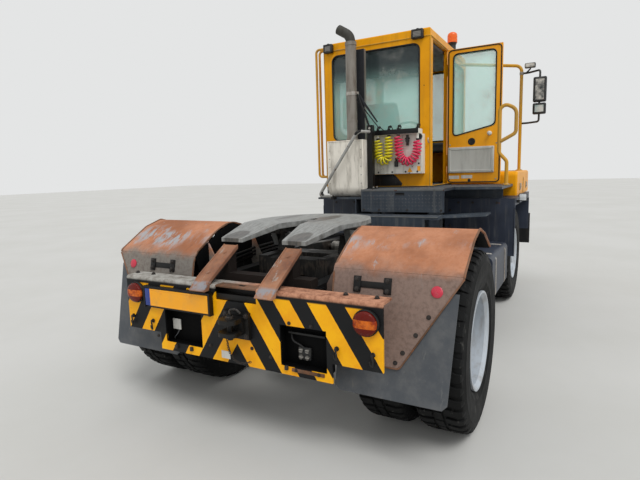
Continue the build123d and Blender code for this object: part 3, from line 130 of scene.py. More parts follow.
class NodeBoard:
    """One material's node tree, with short calls for the nodes that the finishes use."""

    def __init__(self, name: str, gloss: float | None = None) -> None:
        """Starts a material with a Principled shader.

        Args:
            name: The material's name.
            gloss: Specular level, if it isn't the shader's own.
        """
        self.material = bpy.data.materials.new("look_" + name)
        self.material.use_nodes = True
        self.tree = self.material.node_tree
        self.shader = self.tree.nodes["Principled BSDF"]
        if gloss is not None:
            self.shader.inputs["Specular IOR Level"].default_value = gloss
        self._place = self.made("TexCoord", "Object")

    def feed(self, socket: Socket, value: object) -> None:
        """Links a socket to another, or sets its value.

        Args:
            socket: The input to feed.
            value: An output socket, a number, a screen colour or a vector.
        """
        if isinstance(value, Socket):
            self.tree.links.new(value, socket)
        else:
            socket.default_value = linear(value) if isinstance(value, str) else value

    def made(
        self, kind: str, out: int | str, inputs: dict[int | str, object] | None = None, **settings: object
    ) -> Socket:
        """Adds a node and feeds it.

        Args:
            kind: The node's type without its "ShaderNode" start.
            out: Name or number of the output that is wanted.
            inputs: What its inputs get, by name or number.
            **settings: Properties of the node.

        Returns:
            The wanted output.
        """
        new = self.tree.nodes.new("ShaderNode" + kind)
        for key, value in settings.items():
            setattr(new, key, value)
        for key, value in (inputs or {}).items():
            self.feed(new.inputs[key], value)
        return new.outputs[out]

    def place(self, stretch: Point | None = None) -> Socket:
        """Object coordinates in metres, stretched along their axes if asked."""
        return self._place if stretch is None else self.made("Mapping", 0, {"Vector": self._place, "Scale": stretch})

    def axis(self, number: int) -> Socket:
        """X, Y or Z of the object coordinates, by number."""
        return self.made("SeparateXYZ", number, {0: self._place})

    def noise(self, scale: float, detail: float = 4.0, rough: float = 0.55, stretch: Point | None = None) -> Socket:
        """Noise from 0 to 1, with its features per metre, its octaves and the finer ones' strength."""
        vector = self.place(stretch)
        return self.made("TexNoise", "Fac", {"Vector": vector, "Scale": scale, "Detail": detail, "Roughness": rough})

    def specks(self, scale: float, size: float) -> Socket:
        """Scattered round specks."""
        distance = self.made("TexVoronoi", "Distance", {"Vector": self._place, "Scale": scale})
        return self.step(distance, 0.0, size, 1.0, 0.0)

    def sums(self, operation: str, a: object, b: object = 0.0) -> Socket:
        """Arithmetic on two values."""
        return self.made("Math", 0, {0: a, 1: b}, operation=operation)

    def times(self, a: object, b: object) -> Socket:
        """Product of two values."""
        return self.sums("MULTIPLY", a, b)

    def plus(self, a: object, b: object) -> Socket:
        """Sum of two values."""
        return self.sums("ADD", a, b)

    def less(self, a: object, b: object) -> Socket:
        """Difference of two values."""
        return self.sums("SUBTRACT", a, b)

    def step(self, value: object, low: float, high: float, to_low: float = 0.0, to_high: float = 1.0) -> Socket:
        """Smooth step of a value between two limits.

        Args:
            value: What is mapped.
            low: Where the step starts.
            high: Where it ends.
            to_low: Result at and below the start.
            to_high: Result at and above the end.

        Returns:
            The stepped value.
        """
        inputs = {"Value": value, "From Min": low, "From Max": high, "To Min": to_low, "To Max": to_high}
        return self.made("MapRange", "Result", inputs, interpolation_type="SMOOTHSTEP")

    def cloud(self, low: float, high: float, *noise: object) -> Socket:
        """Clouds: a noise stepped between two limits."""
        return self.step(self.noise(*noise), low, high)

    def mix(self, share: object, first: object, second: object) -> Socket:
        """Two colours mixed by a share."""
        return self.made("Mix", 2, {"Factor": share, 6: first, 7: second}, data_type="RGBA")

    def stain(self, colour: object, mask: object, strength: float, tone: object) -> Socket:
        """A colour with another laid over it through a mask."""
        return self.mix(self.times(mask, strength), colour, tone)

    def blur(self, share: object, first: object, second: object) -> Socket:
        """Two numbers mixed by a share."""
        return self.made("Mix", 0, {"Factor": share, 2: first, 3: second}, data_type="FLOAT")

    def bump(self, height: object, depth: float, strength: float = 1.0, under: Socket | None = None) -> Socket:
        """Normal from a height.

        Args:
            height: Height from 0 to 1.
            depth: Depth in metres at a height of 1.
            strength: Share of the effect.
            under: A normal that this one is added to.

        Returns:
            The bumped normal.
        """
        inputs = {"Height": height, "Distance": depth, "Strength": strength}
        return self.made("Bump", 0, inputs if under is None else {**inputs, "Normal": under})

    def finish(
        self, colour: object, rough: object, metal: object = 0.0, normal: Socket | None = None
    ) -> bpy.types.Material:
        """Feeds the shader.

        Args:
            colour: Base colour.
            rough: Roughness.
            metal: Metallic share.
            normal: Bumped normal.

        Returns:
            The finished material.
        """
        for key, value in (("Base Color", colour), ("Roughness", rough), ("Metallic", metal), ("Normal", normal)):
            if value is not None:
                self.feed(self.shader.inputs[key], value)
        return self.material


@dataclass(frozen=True)
class Finish:
    """A finish whose material is made once, when it is first used."""

    name: str
    slot: str

    @property
    def material(self) -> bpy.types.Material:
        """The finish's material."""
        return bpy.data.materials.get("look_" + self.name) or self.make()

    def make(self) -> bpy.types.Material:
        """Builds the material's nodes."""
        raise NotImplementedError


@dataclass(frozen=True)
class Paint(Finish):
    """Coach paint on sheet steel, with dust, streaks and chips down to rust."""

    colour: str
    shade: str
    rough: float = 0.38
    dust: str = "#6B675E"
    dust_share: float = 0.35
    rust_share: float = 0.0
    gloss: float = 0.32

    def make(self) -> bpy.types.Material:
        """Mixes the paint with its dust, streaks and chips.

        Returns:
            The material.
        """
        board = NodeBoard(self.name, self.gloss)
        colour = board.mix(board.cloud(0.35, 0.7, 2.3, 5.0, 0.6), self.colour, self.shade)
        dust = board.times(board.cloud(0.5, 0.75, 6.0, 4.0, 0.6, (3.0, 3.0, 0.25)), self.dust_share)
        colour = board.mix(dust, colour, self.dust)
        rough = board.blur(dust, self.rough, 0.8)
        normal = board.bump(board.noise(220.0, 2.0), 0.0004, 0.3)
        if self.rust_share > 0:
            limit = 0.72 - 0.3 * self.rust_share
            chips = board.cloud(limit, limit + 0.05, 14.0, 9.0, 0.68)
            colour = board.mix(chips, colour, board.mix(board.noise(60.0, 5.0), "#6E3B22", "#3B241A"))
            rough = board.blur(chips, rough, 0.9)
            normal = board.bump(board.less(1.0, chips), 0.0008, 0.6, normal)
        return board.finish(colour, rough, 0.0, normal)


@dataclass(frozen=True)
class RustSheet(Finish):
    """Bare sheet that lost most of its paint: orange rust, scuffs of old paint, grime below a height, and painted shade
    below a slope.
    """

    light: str = "#BF8463"
    deep: str = "#945F42"
    worn: str = "#99A0A4"
    worn_share: float = 0.5
    face: tuple[float, float] | None = None
    # Rise and height of the line below which the underside gets painted shade, or None for none.
    slope: tuple[float, float] | None = None

    def grimy(self, board: NodeBoard, colour: Socket, fine: Socket, scuff: Socket) -> Socket:
        """Grime low on a face, with a band of bare metal above it.

        Args:
            board: The material's board.
            colour: Colour so far.
            fine: Fine noise.
            scuff: Noise of the scuffs.

        Returns:
            The colour with grime and band.
        """
        low, high = self.face
        ragged = board.times(board.less(board.noise(6.0, 5.0), 0.5), 0.16)
        height = board.plus(board.axis(2), ragged)
        tone = board.mix(board.step(board.axis(1), -0.2, 0.2), "#85736A", "#7E7D77")
        tone = board.stain(tone, board.step(fine, 0.4, 0.7), 0.5, "#4D4540")
        colour = board.mix(board.step(height, low, high, 0.92, 0.0), colour, tone)
        rise = board.step(height, high - 0.03, high + 0.02)
        fall = board.step(height, high + 0.05, high + 0.10, 1.0, 0.0)
        band = board.times(board.times(rise, fall), board.step(scuff, 0.44, 0.56))
        return board.stain(colour, board.times(band, board.cloud(0.40, 0.56, 1.7, 3.0)), 0.85, "#9EA8AE")

    def folded(self, board: NodeBoard, colour: Socket) -> Socket:
        """Painted shade on the underside below a slope, and bare metal on the tab at its foot.

        Args:
            board: The material's board.
            colour: Colour so far.

        Returns:
            The colour with the painted underside shade and the tab.
        """
        rise, height = self.slope
        x, z = board.axis(0), board.axis(2)
        above = board.less(board.less(z, board.times(x, rise)), height)
        # Near-black painted shade under the slope line, on the ramp's underside and legs.
        below = board.times(board.step(above, -0.024, -0.015, 1.0, 0.0), board.step(x, -2.535, -2.52))
        colour = board.stain(colour, below, 0.97, "#080706")
        tab = board.times(board.step(z, 0.945, 0.962, 1.0, 0.0), board.cloud(0.40, 0.55, 16.0, 6.0, 0.7))
        return board.stain(colour, board.times(tab, board.step(above, -0.024, -0.012)), 0.8, "#8B9299")

    def make(self) -> bpy.types.Material:
        """Layers rust, worn paint, grime and pits.

        Returns:
            The material.
        """
        board = NodeBoard(self.name, 0.3)
        fine = board.noise(45.0, 7.0, 0.7)
        colour = board.mix(board.cloud(0.36, 0.66, 2.6, 6.0, 0.6), self.light, self.deep)
        colour = board.stain(colour, board.step(fine, 0.45, 0.7), 0.4, "#A5633A")
        scuff = board.noise(9.0, 8.0, 0.72, (1.0, 2.6, 0.35))
        limit = 0.72 - 0.24 * self.worn_share
        worn = board.step(scuff, limit, limit + 0.07)
        colour = board.stain(colour, worn, 0.6, self.worn)
        if self.face is not None:
            colour = self.grimy(board, colour, fine, scuff)
        colour = board.stain(colour, board.cloud(0.58, 0.76, 4.0, 7.0, 0.7, (0.7, 3.0, 1.0)), 0.45, "#33292A")
        if self.slope is not None:
            colour = self.folded(board, colour)
        colour = board.stain(colour, board.specks(130.0, 0.2), 0.35, "#5A3826")
        normal = board.bump(fine, 0.0012, 0.45, board.bump(board.noise(5.0, 3.0), 0.003, 0.3))
        return board.finish(colour, board.blur(worn, 0.8, 0.55), 0.0, normal)


@dataclass(frozen=True)
class HazardPaint(Finish):
    """Slanted warning stripes on the bumper's face, mirrored about the middle, with a rusty top."""

    pitch: float = 0.222
    band: float = 0.112
    start: float = 0.070
    start_z: float = 0.84
    lean: float = 0.64
    face_top: float = 0.915
    face_x: float = -2.525

    def stripes(self, board: NodeBoard) -> Socket:
        """Mask of the yellow stripes.

        Args:
            board: The nodes of the material.

        Returns:
            The mask, 1 on the yellow stripes.
        """
        x, y, z = (board.axis(number) for number in range(3))
        drop = board.times(board.less(self.start_z, z), self.lean)
        wobble = board.times(board.less(board.noise(30.0, 4.0), 0.5), 0.006)
        along = board.plus(board.less(board.less(board.sums("ABSOLUTE", y), self.start), drop), wobble)
        stripe = board.step(board.sums("FLOORED_MODULO", along, self.pitch), self.band, self.band + 0.002, 1.0, 0.0)
        low = board.step(z, self.face_top - 0.022, self.face_top - 0.012, 1.0, 0.0)
        return board.times(stripe, board.times(low, board.step(x, self.face_x, self.face_x + 0.008, 1.0, 0.0)))

    def make(self) -> bpy.types.Material:
        """Draws the stripes by place, then wears them.

        Returns:
            The material.
        """
        board = NodeBoard(self.name, 0.25)
        stripe = self.stripes(board)
        yellow = board.mix(board.cloud(0.35, 0.7, 7.0, 6.0, 0.6), "#FFB90A", "#F4A50C")
        chips = board.cloud(0.665, 0.69, 38.0, 8.0, 0.75)
        colour = board.stain(board.mix(stripe, "#101113", yellow), chips, 0.85, "#33241C")
        colour = board.stain(colour, board.cloud(0.56, 0.78, 3.0, 8.0, 0.7), 0.22, "#4B4741")
        top = board.step(board.axis(2), self.face_top - 0.004, self.face_top + 0.008)
        rust = board.mix(board.cloud(0.35, 0.7, 22.0, 8.0, 0.7), "#C28D70", "#7C4F3A")
        pale = board.mix(board.cloud(0.35, 0.72, 16.0, 8.0, 0.7), "#A9A7A0", "#6B625A")
        side = board.step(board.plus(board.axis(1), board.times(board.noise(4.0, 5.0), 0.5)), 0.1, 0.5)
        colour = board.mix(top, colour, board.mix(side, rust, pale))
        rough = board.blur(board.sums("MAXIMUM", chips, top), board.blur(stripe, 0.5, 0.42), 0.85)
        normal = board.bump(board.noise(70.0, 5.0), 0.0008, 0.4, board.bump(chips, 0.0005, 0.5))
        return board.finish(colour, rough, 0.0, normal)


@dataclass(frozen=True)
class Greased(Finish):
    """Cast steel under old grease: scratched bare places, smears, and dark ovals of thick grease."""

    bright: str = "#9B9C99"
    dull: str = "#7C7C79"
    grease: str = "#2A2825"
    grease_share: float = 0.3
    ovals: tuple[tuple[float, float, float, float], ...] = ()

    def make(self) -> bpy.types.Material:
        """Mixes worn steel, scratches, grease and the ovals.

        Returns:
            The material.
        """
        board = NodeBoard(self.name)
        lines = board.noise(14.0, 6.0, 0.65, (1.0, 5.0, 1.0))
        colour = board.mix(board.step(lines, 0.32, 0.68), self.dull, self.bright)
        limit = 0.68 - 0.3 * self.grease_share
        grease = board.times(board.cloud(limit, limit + 0.14, 5.5, 7.0, 0.62), 0.8)
        ragged = board.times(board.less(board.noise(18.0, 6.0, 0.7), 0.5), 0.9)
        for middle_x, middle_y, half_x, half_y in self.ovals:
            u = board.sums("DIVIDE", board.less(board.axis(0), ahead(middle_x)), half_x)
            v = board.sums("DIVIDE", board.less(board.axis(1), middle_y), half_y)
            reach = board.plus(board.plus(board.times(u, u), board.times(v, v)), ragged)
            grease = board.sums("MAXIMUM", grease, board.step(reach, 0.75, 1.15, 0.85, 0.0))
        colour = board.mix(grease, colour, board.mix(board.step(lines, 0.4, 0.6), self.grease, "#4A423A"))
        colour = board.stain(colour, board.cloud(0.6, 0.7, 11.0, 8.0, 0.7), 0.25, "#6B5040")
        normal = board.bump(board.noise(60.0, 6.0), 0.0008, 0.4, board.bump(lines, 0.0006, 0.35))
        return board.finish(colour, board.blur(grease, 0.55, 0.35), board.blur(grease, 0.2, 0.0), normal)


@dataclass(frozen=True)
class Rubber(Finish):
    """Rubber with dust in its low places."""

    colour: str
    dust: str
    dust_share: float
    rough: float = 0.8
    gloss: float = 0.4

    def make(self) -> bpy.types.Material:
        """Mixes rubber, dust and scratches.

        Returns:
            The material.
        """
        board = NodeBoard(self.name, self.gloss)
        haze = board.cloud(0.35, 0.75, 7.0, 7.0, 0.65)
        colour = board.mix(board.times(haze, self.dust_share), self.colour, self.dust)
        colour = board.stain(colour, board.cloud(0.58, 0.7, 30.0, 6.0, 0.7, (1.0, 1.0, 0.2)), 0.25, "#8B8983")
        normal = board.bump(board.noise(180.0, 4.0), 0.0006, 0.5, board.bump(board.noise(9.0, 3.0), 0.003, 0.25))
        return board.finish(colour, board.blur(haze, self.rough - 0.15, self.rough), 0.0, normal)


@dataclass(frozen=True)
class Metal(Finish):
    """Bare or plated metal with stains along one direction, blackened between two heights if asked."""

    colour: str
    stain: str
    stain_share: float
    rough: float
    metallic: float
    brush: tuple[float, float, float] = (1.0, 1.0, 30.0)
    burnt: tuple[float, float] | None = None

    def make(self) -> bpy.types.Material:
        """Mixes metal, brushed lines and stains that run down.

        Returns:
            The material.
        """
        board = NodeBoard(self.name)
        lines = board.noise(12.0, 4.0, 0.6, self.brush)
        colour = board.mix(board.step(lines, 0.3, 0.7), self.colour, "#D3CEC4" if self.metallic > 0.5 else self.colour)
        stain = board.times(board.cloud(0.42, 0.68, 9.0, 6.0, 0.65, (1.5, 1.5, 0.3)), self.stain_share)
        colour = board.stain(board.mix(stain, colour, self.stain), board.specks(90.0, 0.16), 0.35, "#5C4A3A")
        rough = board.blur(stain, self.rough, 0.7)
        metal = board.blur(stain, self.metallic, self.metallic * 0.4)
        if self.burnt is not None:
            soot = board.step(board.axis(2), *self.burnt, 0.0, 0.93)
            colour = board.mix(soot, colour, "#2A2924")
            rough, metal = board.blur(soot, rough, 0.75), board.blur(soot, metal, 0.1)
        return board.finish(colour, rough, metal, board.bump(lines, 0.0003, 0.35))


@dataclass(frozen=True)
class Plastic(Finish):
    """Moulded plastic with a fine grain."""

    colour: str
    rough: float
    grain: float = 400.0

    def make(self) -> bpy.types.Material:
        """Mixes the colour, a little dust and the grain.

        Returns:
            The material.
        """
        board = NodeBoard(self.name)
        haze = board.cloud(0.45, 0.75, 11.0, 5.0)
        colour = board.stain(self.colour, haze, 0.18, "#8A867C")
        rough = board.blur(haze, self.rough, min(0.9, self.rough + 0.2))
        return board.finish(colour, rough, 0.0, board.bump(board.noise(self.grain, 2.0), 0.0004, 0.35))


@dataclass(frozen=True)
class Lens(Finish):
    """Lamp lens: clear coloured plastic over a ribbed back."""

    colour: str
    deep: str
    ribs: float
    rough: float

    def make(self) -> bpy.types.Material:
        """Mixes two depths of colour with pressed ribs.

        Returns:
            The material.
        """
        board = NodeBoard(self.name)
        shade = board.step(board.sums("SINE", board.times(board.axis(2), self.ribs * FULL_TURN)), -0.6, 0.8)
        dust = board.cloud(0.55, 0.8, 60.0, 5.0)
        colour = board.stain(board.mix(shade, self.deep, self.colour), dust, 0.25, "#7B7166")
        return board.finish(colour, board.blur(dust, self.rough, 0.5), 0.0, board.bump(shade, 0.0006, 0.5))


@dataclass(frozen=True)
class LampBands(Finish):
    """Round tail lamp's lens: a lit orange band between two red ones."""

    middle_z: float = 0.835
    band_half: float = 0.021

    def make(self) -> bpy.types.Material:
        """Bands by height, over pressed ribs.

        Returns:
            The material.
        """
        board = NodeBoard(self.name, 0.2)
        away = board.sums("ABSOLUTE", board.less(board.axis(2), self.middle_z))
        band = board.step(away, self.band_half - 0.001, self.band_half + 0.001, 1.0, 0.0)
        wave = board.step(board.sums("SINE", board.times(board.axis(1), 1500.0)), -0.6, 0.8)
        orange = board.mix(board.cloud(0.35, 0.65, 28.0, 4.0, 0.6), "#8A2A0E", "#D96E20")
        colour = board.mix(band, board.mix(wave, "#4E0D07", "#74190C"), orange)
        dust = board.cloud(0.5, 0.75, 50.0, 6.0, 0.7)
        colour = board.stain(colour, dust, 0.35, "#5A463A")
        return board.finish(colour, board.blur(dust, 0.15, 0.6), 0.0, board.bump(wave, 0.0006, 0.5))


@dataclass(frozen=True)
class Glazing(Finish):
    """Tinted window glass, thin enough to see through, with a painted reflection that makes the rear window darker high
    up.
    """

    tint: str = "#C2F4E8"
    clear: float = 0.38

    def make(self) -> bpy.types.Material:
        """Sets a see-through gloss with a little dust on it, and the painted reflection high up on the rear window.

        Returns:
            The material.
        """
        board = NodeBoard(self.name)
        film = board.cloud(0.45, 0.8, 3.0, 7.0, 0.65)
        # Painted reflection: the rear window turns dark grey and less clear high up.
        rear_pane = board.step(board.axis(0), ahead(2.26), ahead(2.30), 1.0, 0.0)
        high = board.times(board.step(board.axis(2), 2.30, 2.75), rear_pane)
        alpha = board.plus(board.blur(high, self.clear, self.clear + 0.28), board.times(film, 0.2))
        board.feed(board.shader.inputs["Alpha"], alpha)
        board.shader.inputs["IOR"].default_value = 1.45
        tint = board.mix(high, self.tint, "#3F4A4B")
        return board.finish(board.mix(film, tint, "#B9B4A8"), board.blur(film, 0.03, 0.25))


@dataclass(frozen=True)
class Cloth(Finish):
    """Woven seat cloth."""

    threads: float = 1400.0

    def make(self) -> bpy.types.Material:
        """Weaves two threads.

        Returns:
            The material.
        """
        board = NodeBoard(self.name)
        x, y, z = (board.axis(number) for number in range(3))
        first = board.sums("SINE", board.times(board.plus(x, z), self.threads))
        second = board.sums("SINE", board.times(y, self.threads))
        weave = board.step(board.times(first, second), -0.4, 0.4)
        colour = board.mix(weave, "#24252A", "#3A3B42")
        colour = board.stain(colour, board.cloud(0.5, 0.8, 6.0, 5.0), 0.4, "#58544D")
        board.shader.inputs["Sheen Weight"].default_value = 0.3
        return board.finish(colour, 0.9, 0.0, board.bump(weave, 0.0005, 0.6))


@dataclass(frozen=True)
class TreadPlate(Finish):
    """Walked-on dark sheet whose raised bars are worn bright."""

    colour: str
    worn: str

    def make(self) -> bpy.types.Material:
        """Mixes paint, wear and dust.

        Returns:
            The material.
        """
        board = NodeBoard(self.name)
        wear = board.cloud(0.42, 0.7, 6.0, 8.0, 0.7)
        colour = board.stain(self.colour, wear, 0.6, self.worn)
        colour = board.stain(colour, board.cloud(0.5, 0.72, 17.0, 7.0, 0.7), 0.45, "#4A4238")
        normal = board.bump(board.noise(120.0, 4.0), 0.0006, 0.5)
        return board.finish(colour, board.blur(wear, 0.62, 0.4), board.blur(wear, 0.0, 0.5), normal)


EVEN = (1.0, 1.0, 1.0)


class Finishes:
    """Every finish of the tractor."""

    cab_yellow = Paint("cab_yellow", "cab_yellow", "#F0A50C", "#E29708", 0.36, "#86682F", 0.24, 0.12, 0.16)
    rail_yellow = Paint("rail_yellow", "cab_yellow", "#D29A24", "#B98F45", 0.42, "#7D6B48", 0.45, 0.14, 0.2)
    # A brighter copy of the cab yellow: painted light on the open door's inner face, which looks to the rear.
    door_inside = Paint("door_inside", "cab_yellow", "#F6A90C", "#EE9D0E", 0.45, "#9A7A40", 0.22)
    frame_black = Paint("frame_black", "frame_black", "#17181A", "#0F1011", 0.6, "#2E2B27", 0.6, 0.25)
    # Black oily paint, darkened to near black as painted shade for the parts under the plate.
    oily_black = Paint("oily_black", "frame_black", "#0B0B0C", "#131210", 0.45, "#221F1B", 0.5, 0.15)
    # Near black that stands for shade: painted shade in recesses, slots, the pipe's mouth, round the rails and under
    # the fenders.
    recess_black = Paint("recess_black", "frame_black", "#060607", "#0A0A0B", 0.7, "#12110F", 0.4, 0.0, 0.1)
    dark_blue = Paint("dark_blue", "dark_blue", "#333A48", "#262B37", 0.45, "#6B6A66", 0.45, 0.15)
    slate = Paint("slate", "dark_blue", "#3E464F", "#2B3139", 0.45, "#6E6F6D", 0.55, 0.15)
    panel_grey = Paint("panel_grey", "panel_grey", "#E2E0D6", "#C9C6BA", 0.5, "#6E695E", 0.7, 0.3)
    rail_grey = Paint("rail_grey", "frame_black", "#ABAAA5", "#8F8E89", 0.5, "#6B665D", 0.5, 0.3)
    blank_white = Paint("blank_white", "panel_grey", "#D9D7D0", "#CFCCC4", 0.5, "#7A766C", 0.35)
    deck_edge = Paint("deck_edge", "frame_black", "#6F716F", "#4E5154", 0.5, "#57524A", 0.5, 0.4)
    rust = RustSheet("fender_rust", "rusty_sheet", face=(1.005, 1.095))
    bead_rust = RustSheet("bead_rust", "rusty_sheet", "#7E5F4C", "#57402F", worn_share=0.3)
    # The last pair sets the line below which the ramps get painted shade.
    ramp_rust = RustSheet("ramp_rust", "rusty_sheet", "#A97C60", "#75503F", "#A3A19B", 0.55, None, (0.6053, 2.4992))
    hazard = HazardPaint("hazard_paint", "bumper_paint")
    greased = Greased(
        "greased_plate", "greased_steel",
        ovals=(
            (0.20, -0.06, 0.27, 0.085), (-0.42, -0.235, 0.10, 0.070), (-0.43, 0.235, 0.10, 0.075),
            (0.25, 0.26, 0.20, 0.045),
        ),
    )
    greased_dark = Greased("greased_frame", "greased_steel", "#242220", "#141312", "#080808", 0.8)
    # Black rubber, darkened further as painted shade of the treads.
    tread_rubber = Rubber("tread_rubber", "tyre_rubber", "#060708", "#191815", 0.25, gloss=0.2)
    flap_rubber = Rubber("flap_rubber", "flap_rubber", "#464A4F", "#777674", 0.45, 0.6)
    trim_rubber = Rubber("trim_rubber", "frame_black", "#101112", "#3A3833", 0.25, 0.6)
    rim_silver = Metal("rim_silver", "rim_silver", "#B9C0C7", "#7B6C5C", 0.4, 0.45, 0.2, EVEN)
    nut_steel = Metal("nut_steel", "rim_silver", "#8C8C8A", "#6A4B34", 0.6, 0.4, 0.8)
    bolt_dark = Metal("bolt_dark", "frame_black", "#34302D", "#241811", 0.6, 0.6, 0.2)
    stainless = Metal("stainless", "stainless", "#F0EADD", "#6E6454", 0.55, 0.5, 0.1, (1.5, 1.5, 0.5))
    pipe_steel = Metal("pipe_steel", "pipe_steel", "#8A847C", "#5B4E40", 0.7, 0.5, 0.4, (1.0, 1.0, 6.0), (2.925, 2.945))
    heat_steel = Metal("heat_steel", "pipe_steel", "#191C22", "#121010", 0.5, 0.6, 0.1)
    sooty = Metal("sooty", "pipe_steel", "#3C3B35", "#232019", 0.7, 0.7, 0.1)
    chrome = Metal("chrome", "chrome_rod", "#6B6864", "#2E2A26", 0.8, 0.35, 0.8)
    brass = Metal("brass_fitting", "panel_grey", "#B08A45", "#5A4525", 0.5, 0.35, 0.9)
    pad_grey = Metal("pad_grey", "cab_plastic", "#C2C3BC", "#8F8F88", 0.4, 0.6, 0.1, (1.0, 9.0, 9.0))
    mirror_glass = Metal("mirror_glass", "mirror_black", "#2C3336", "#39413F", 0.05, 0.08, 0.6, EVEN)
    wide_glass = Metal("wide_glass", "mirror_black", "#8FA39F", "#7B8A88", 0.05, 0.08, 0.8, EVEN)
    black_plastic = Plastic("black_plastic", "cab_plastic", "#17181A", 0.5)
    grey_plastic = Plastic("grey_plastic", "cab_plastic", "#4E5154", 0.55)
    white_plastic = Plastic("white_plastic", "cab_plastic", "#D5D3CC", 0.4)
    mirror_black = Plastic("mirror_black", "mirror_black", "#1B1D1F", 0.4)
    yellow_hose = Plastic("yellow_hose_plastic", "hose_yellow", "#EBDC1E", 0.3, 150.0)
    red_hose = Plastic("red_hose_plastic", "hose_red", "#E82A5C", 0.3, 150.0)
    plate_yellow = Plastic("plate_yellow", "plate_yellow", "#FBAA10", 0.45, 80.0)
    plate_blue = Plastic("plate_blue", "plate_yellow", "#1F3A8A", 0.35, 80.0)
    tail_lens = LampBands("tail_lens", "lamp_lens")
    reflector_red = Lens("reflector_red", "lamp_lens", "#D83A52", "#B42238", 220.0, 0.2)
    beacon_orange = Lens("beacon_orange", "beacon_lens", "#FF7A14", "#E0560A", 60.0, 0.3)
    lamp_clear = Lens("lamp_clear", "work_lens", "#E6E8E8", "#B9BDBF", 70.0, 0.08)
    lamp_dim = Lens("lamp_dim", "work_lens", "#86827C", "#55524E", 70.0, 0.2)
    glass = Glazing("window_glass", "window")
    cloth = Cloth("seat_cloth", "seat_fabric")
    deck_bars = TreadPlate("tread_bars", "tread_plate", "#4A4E52", "#9A9A98")


# Modelling


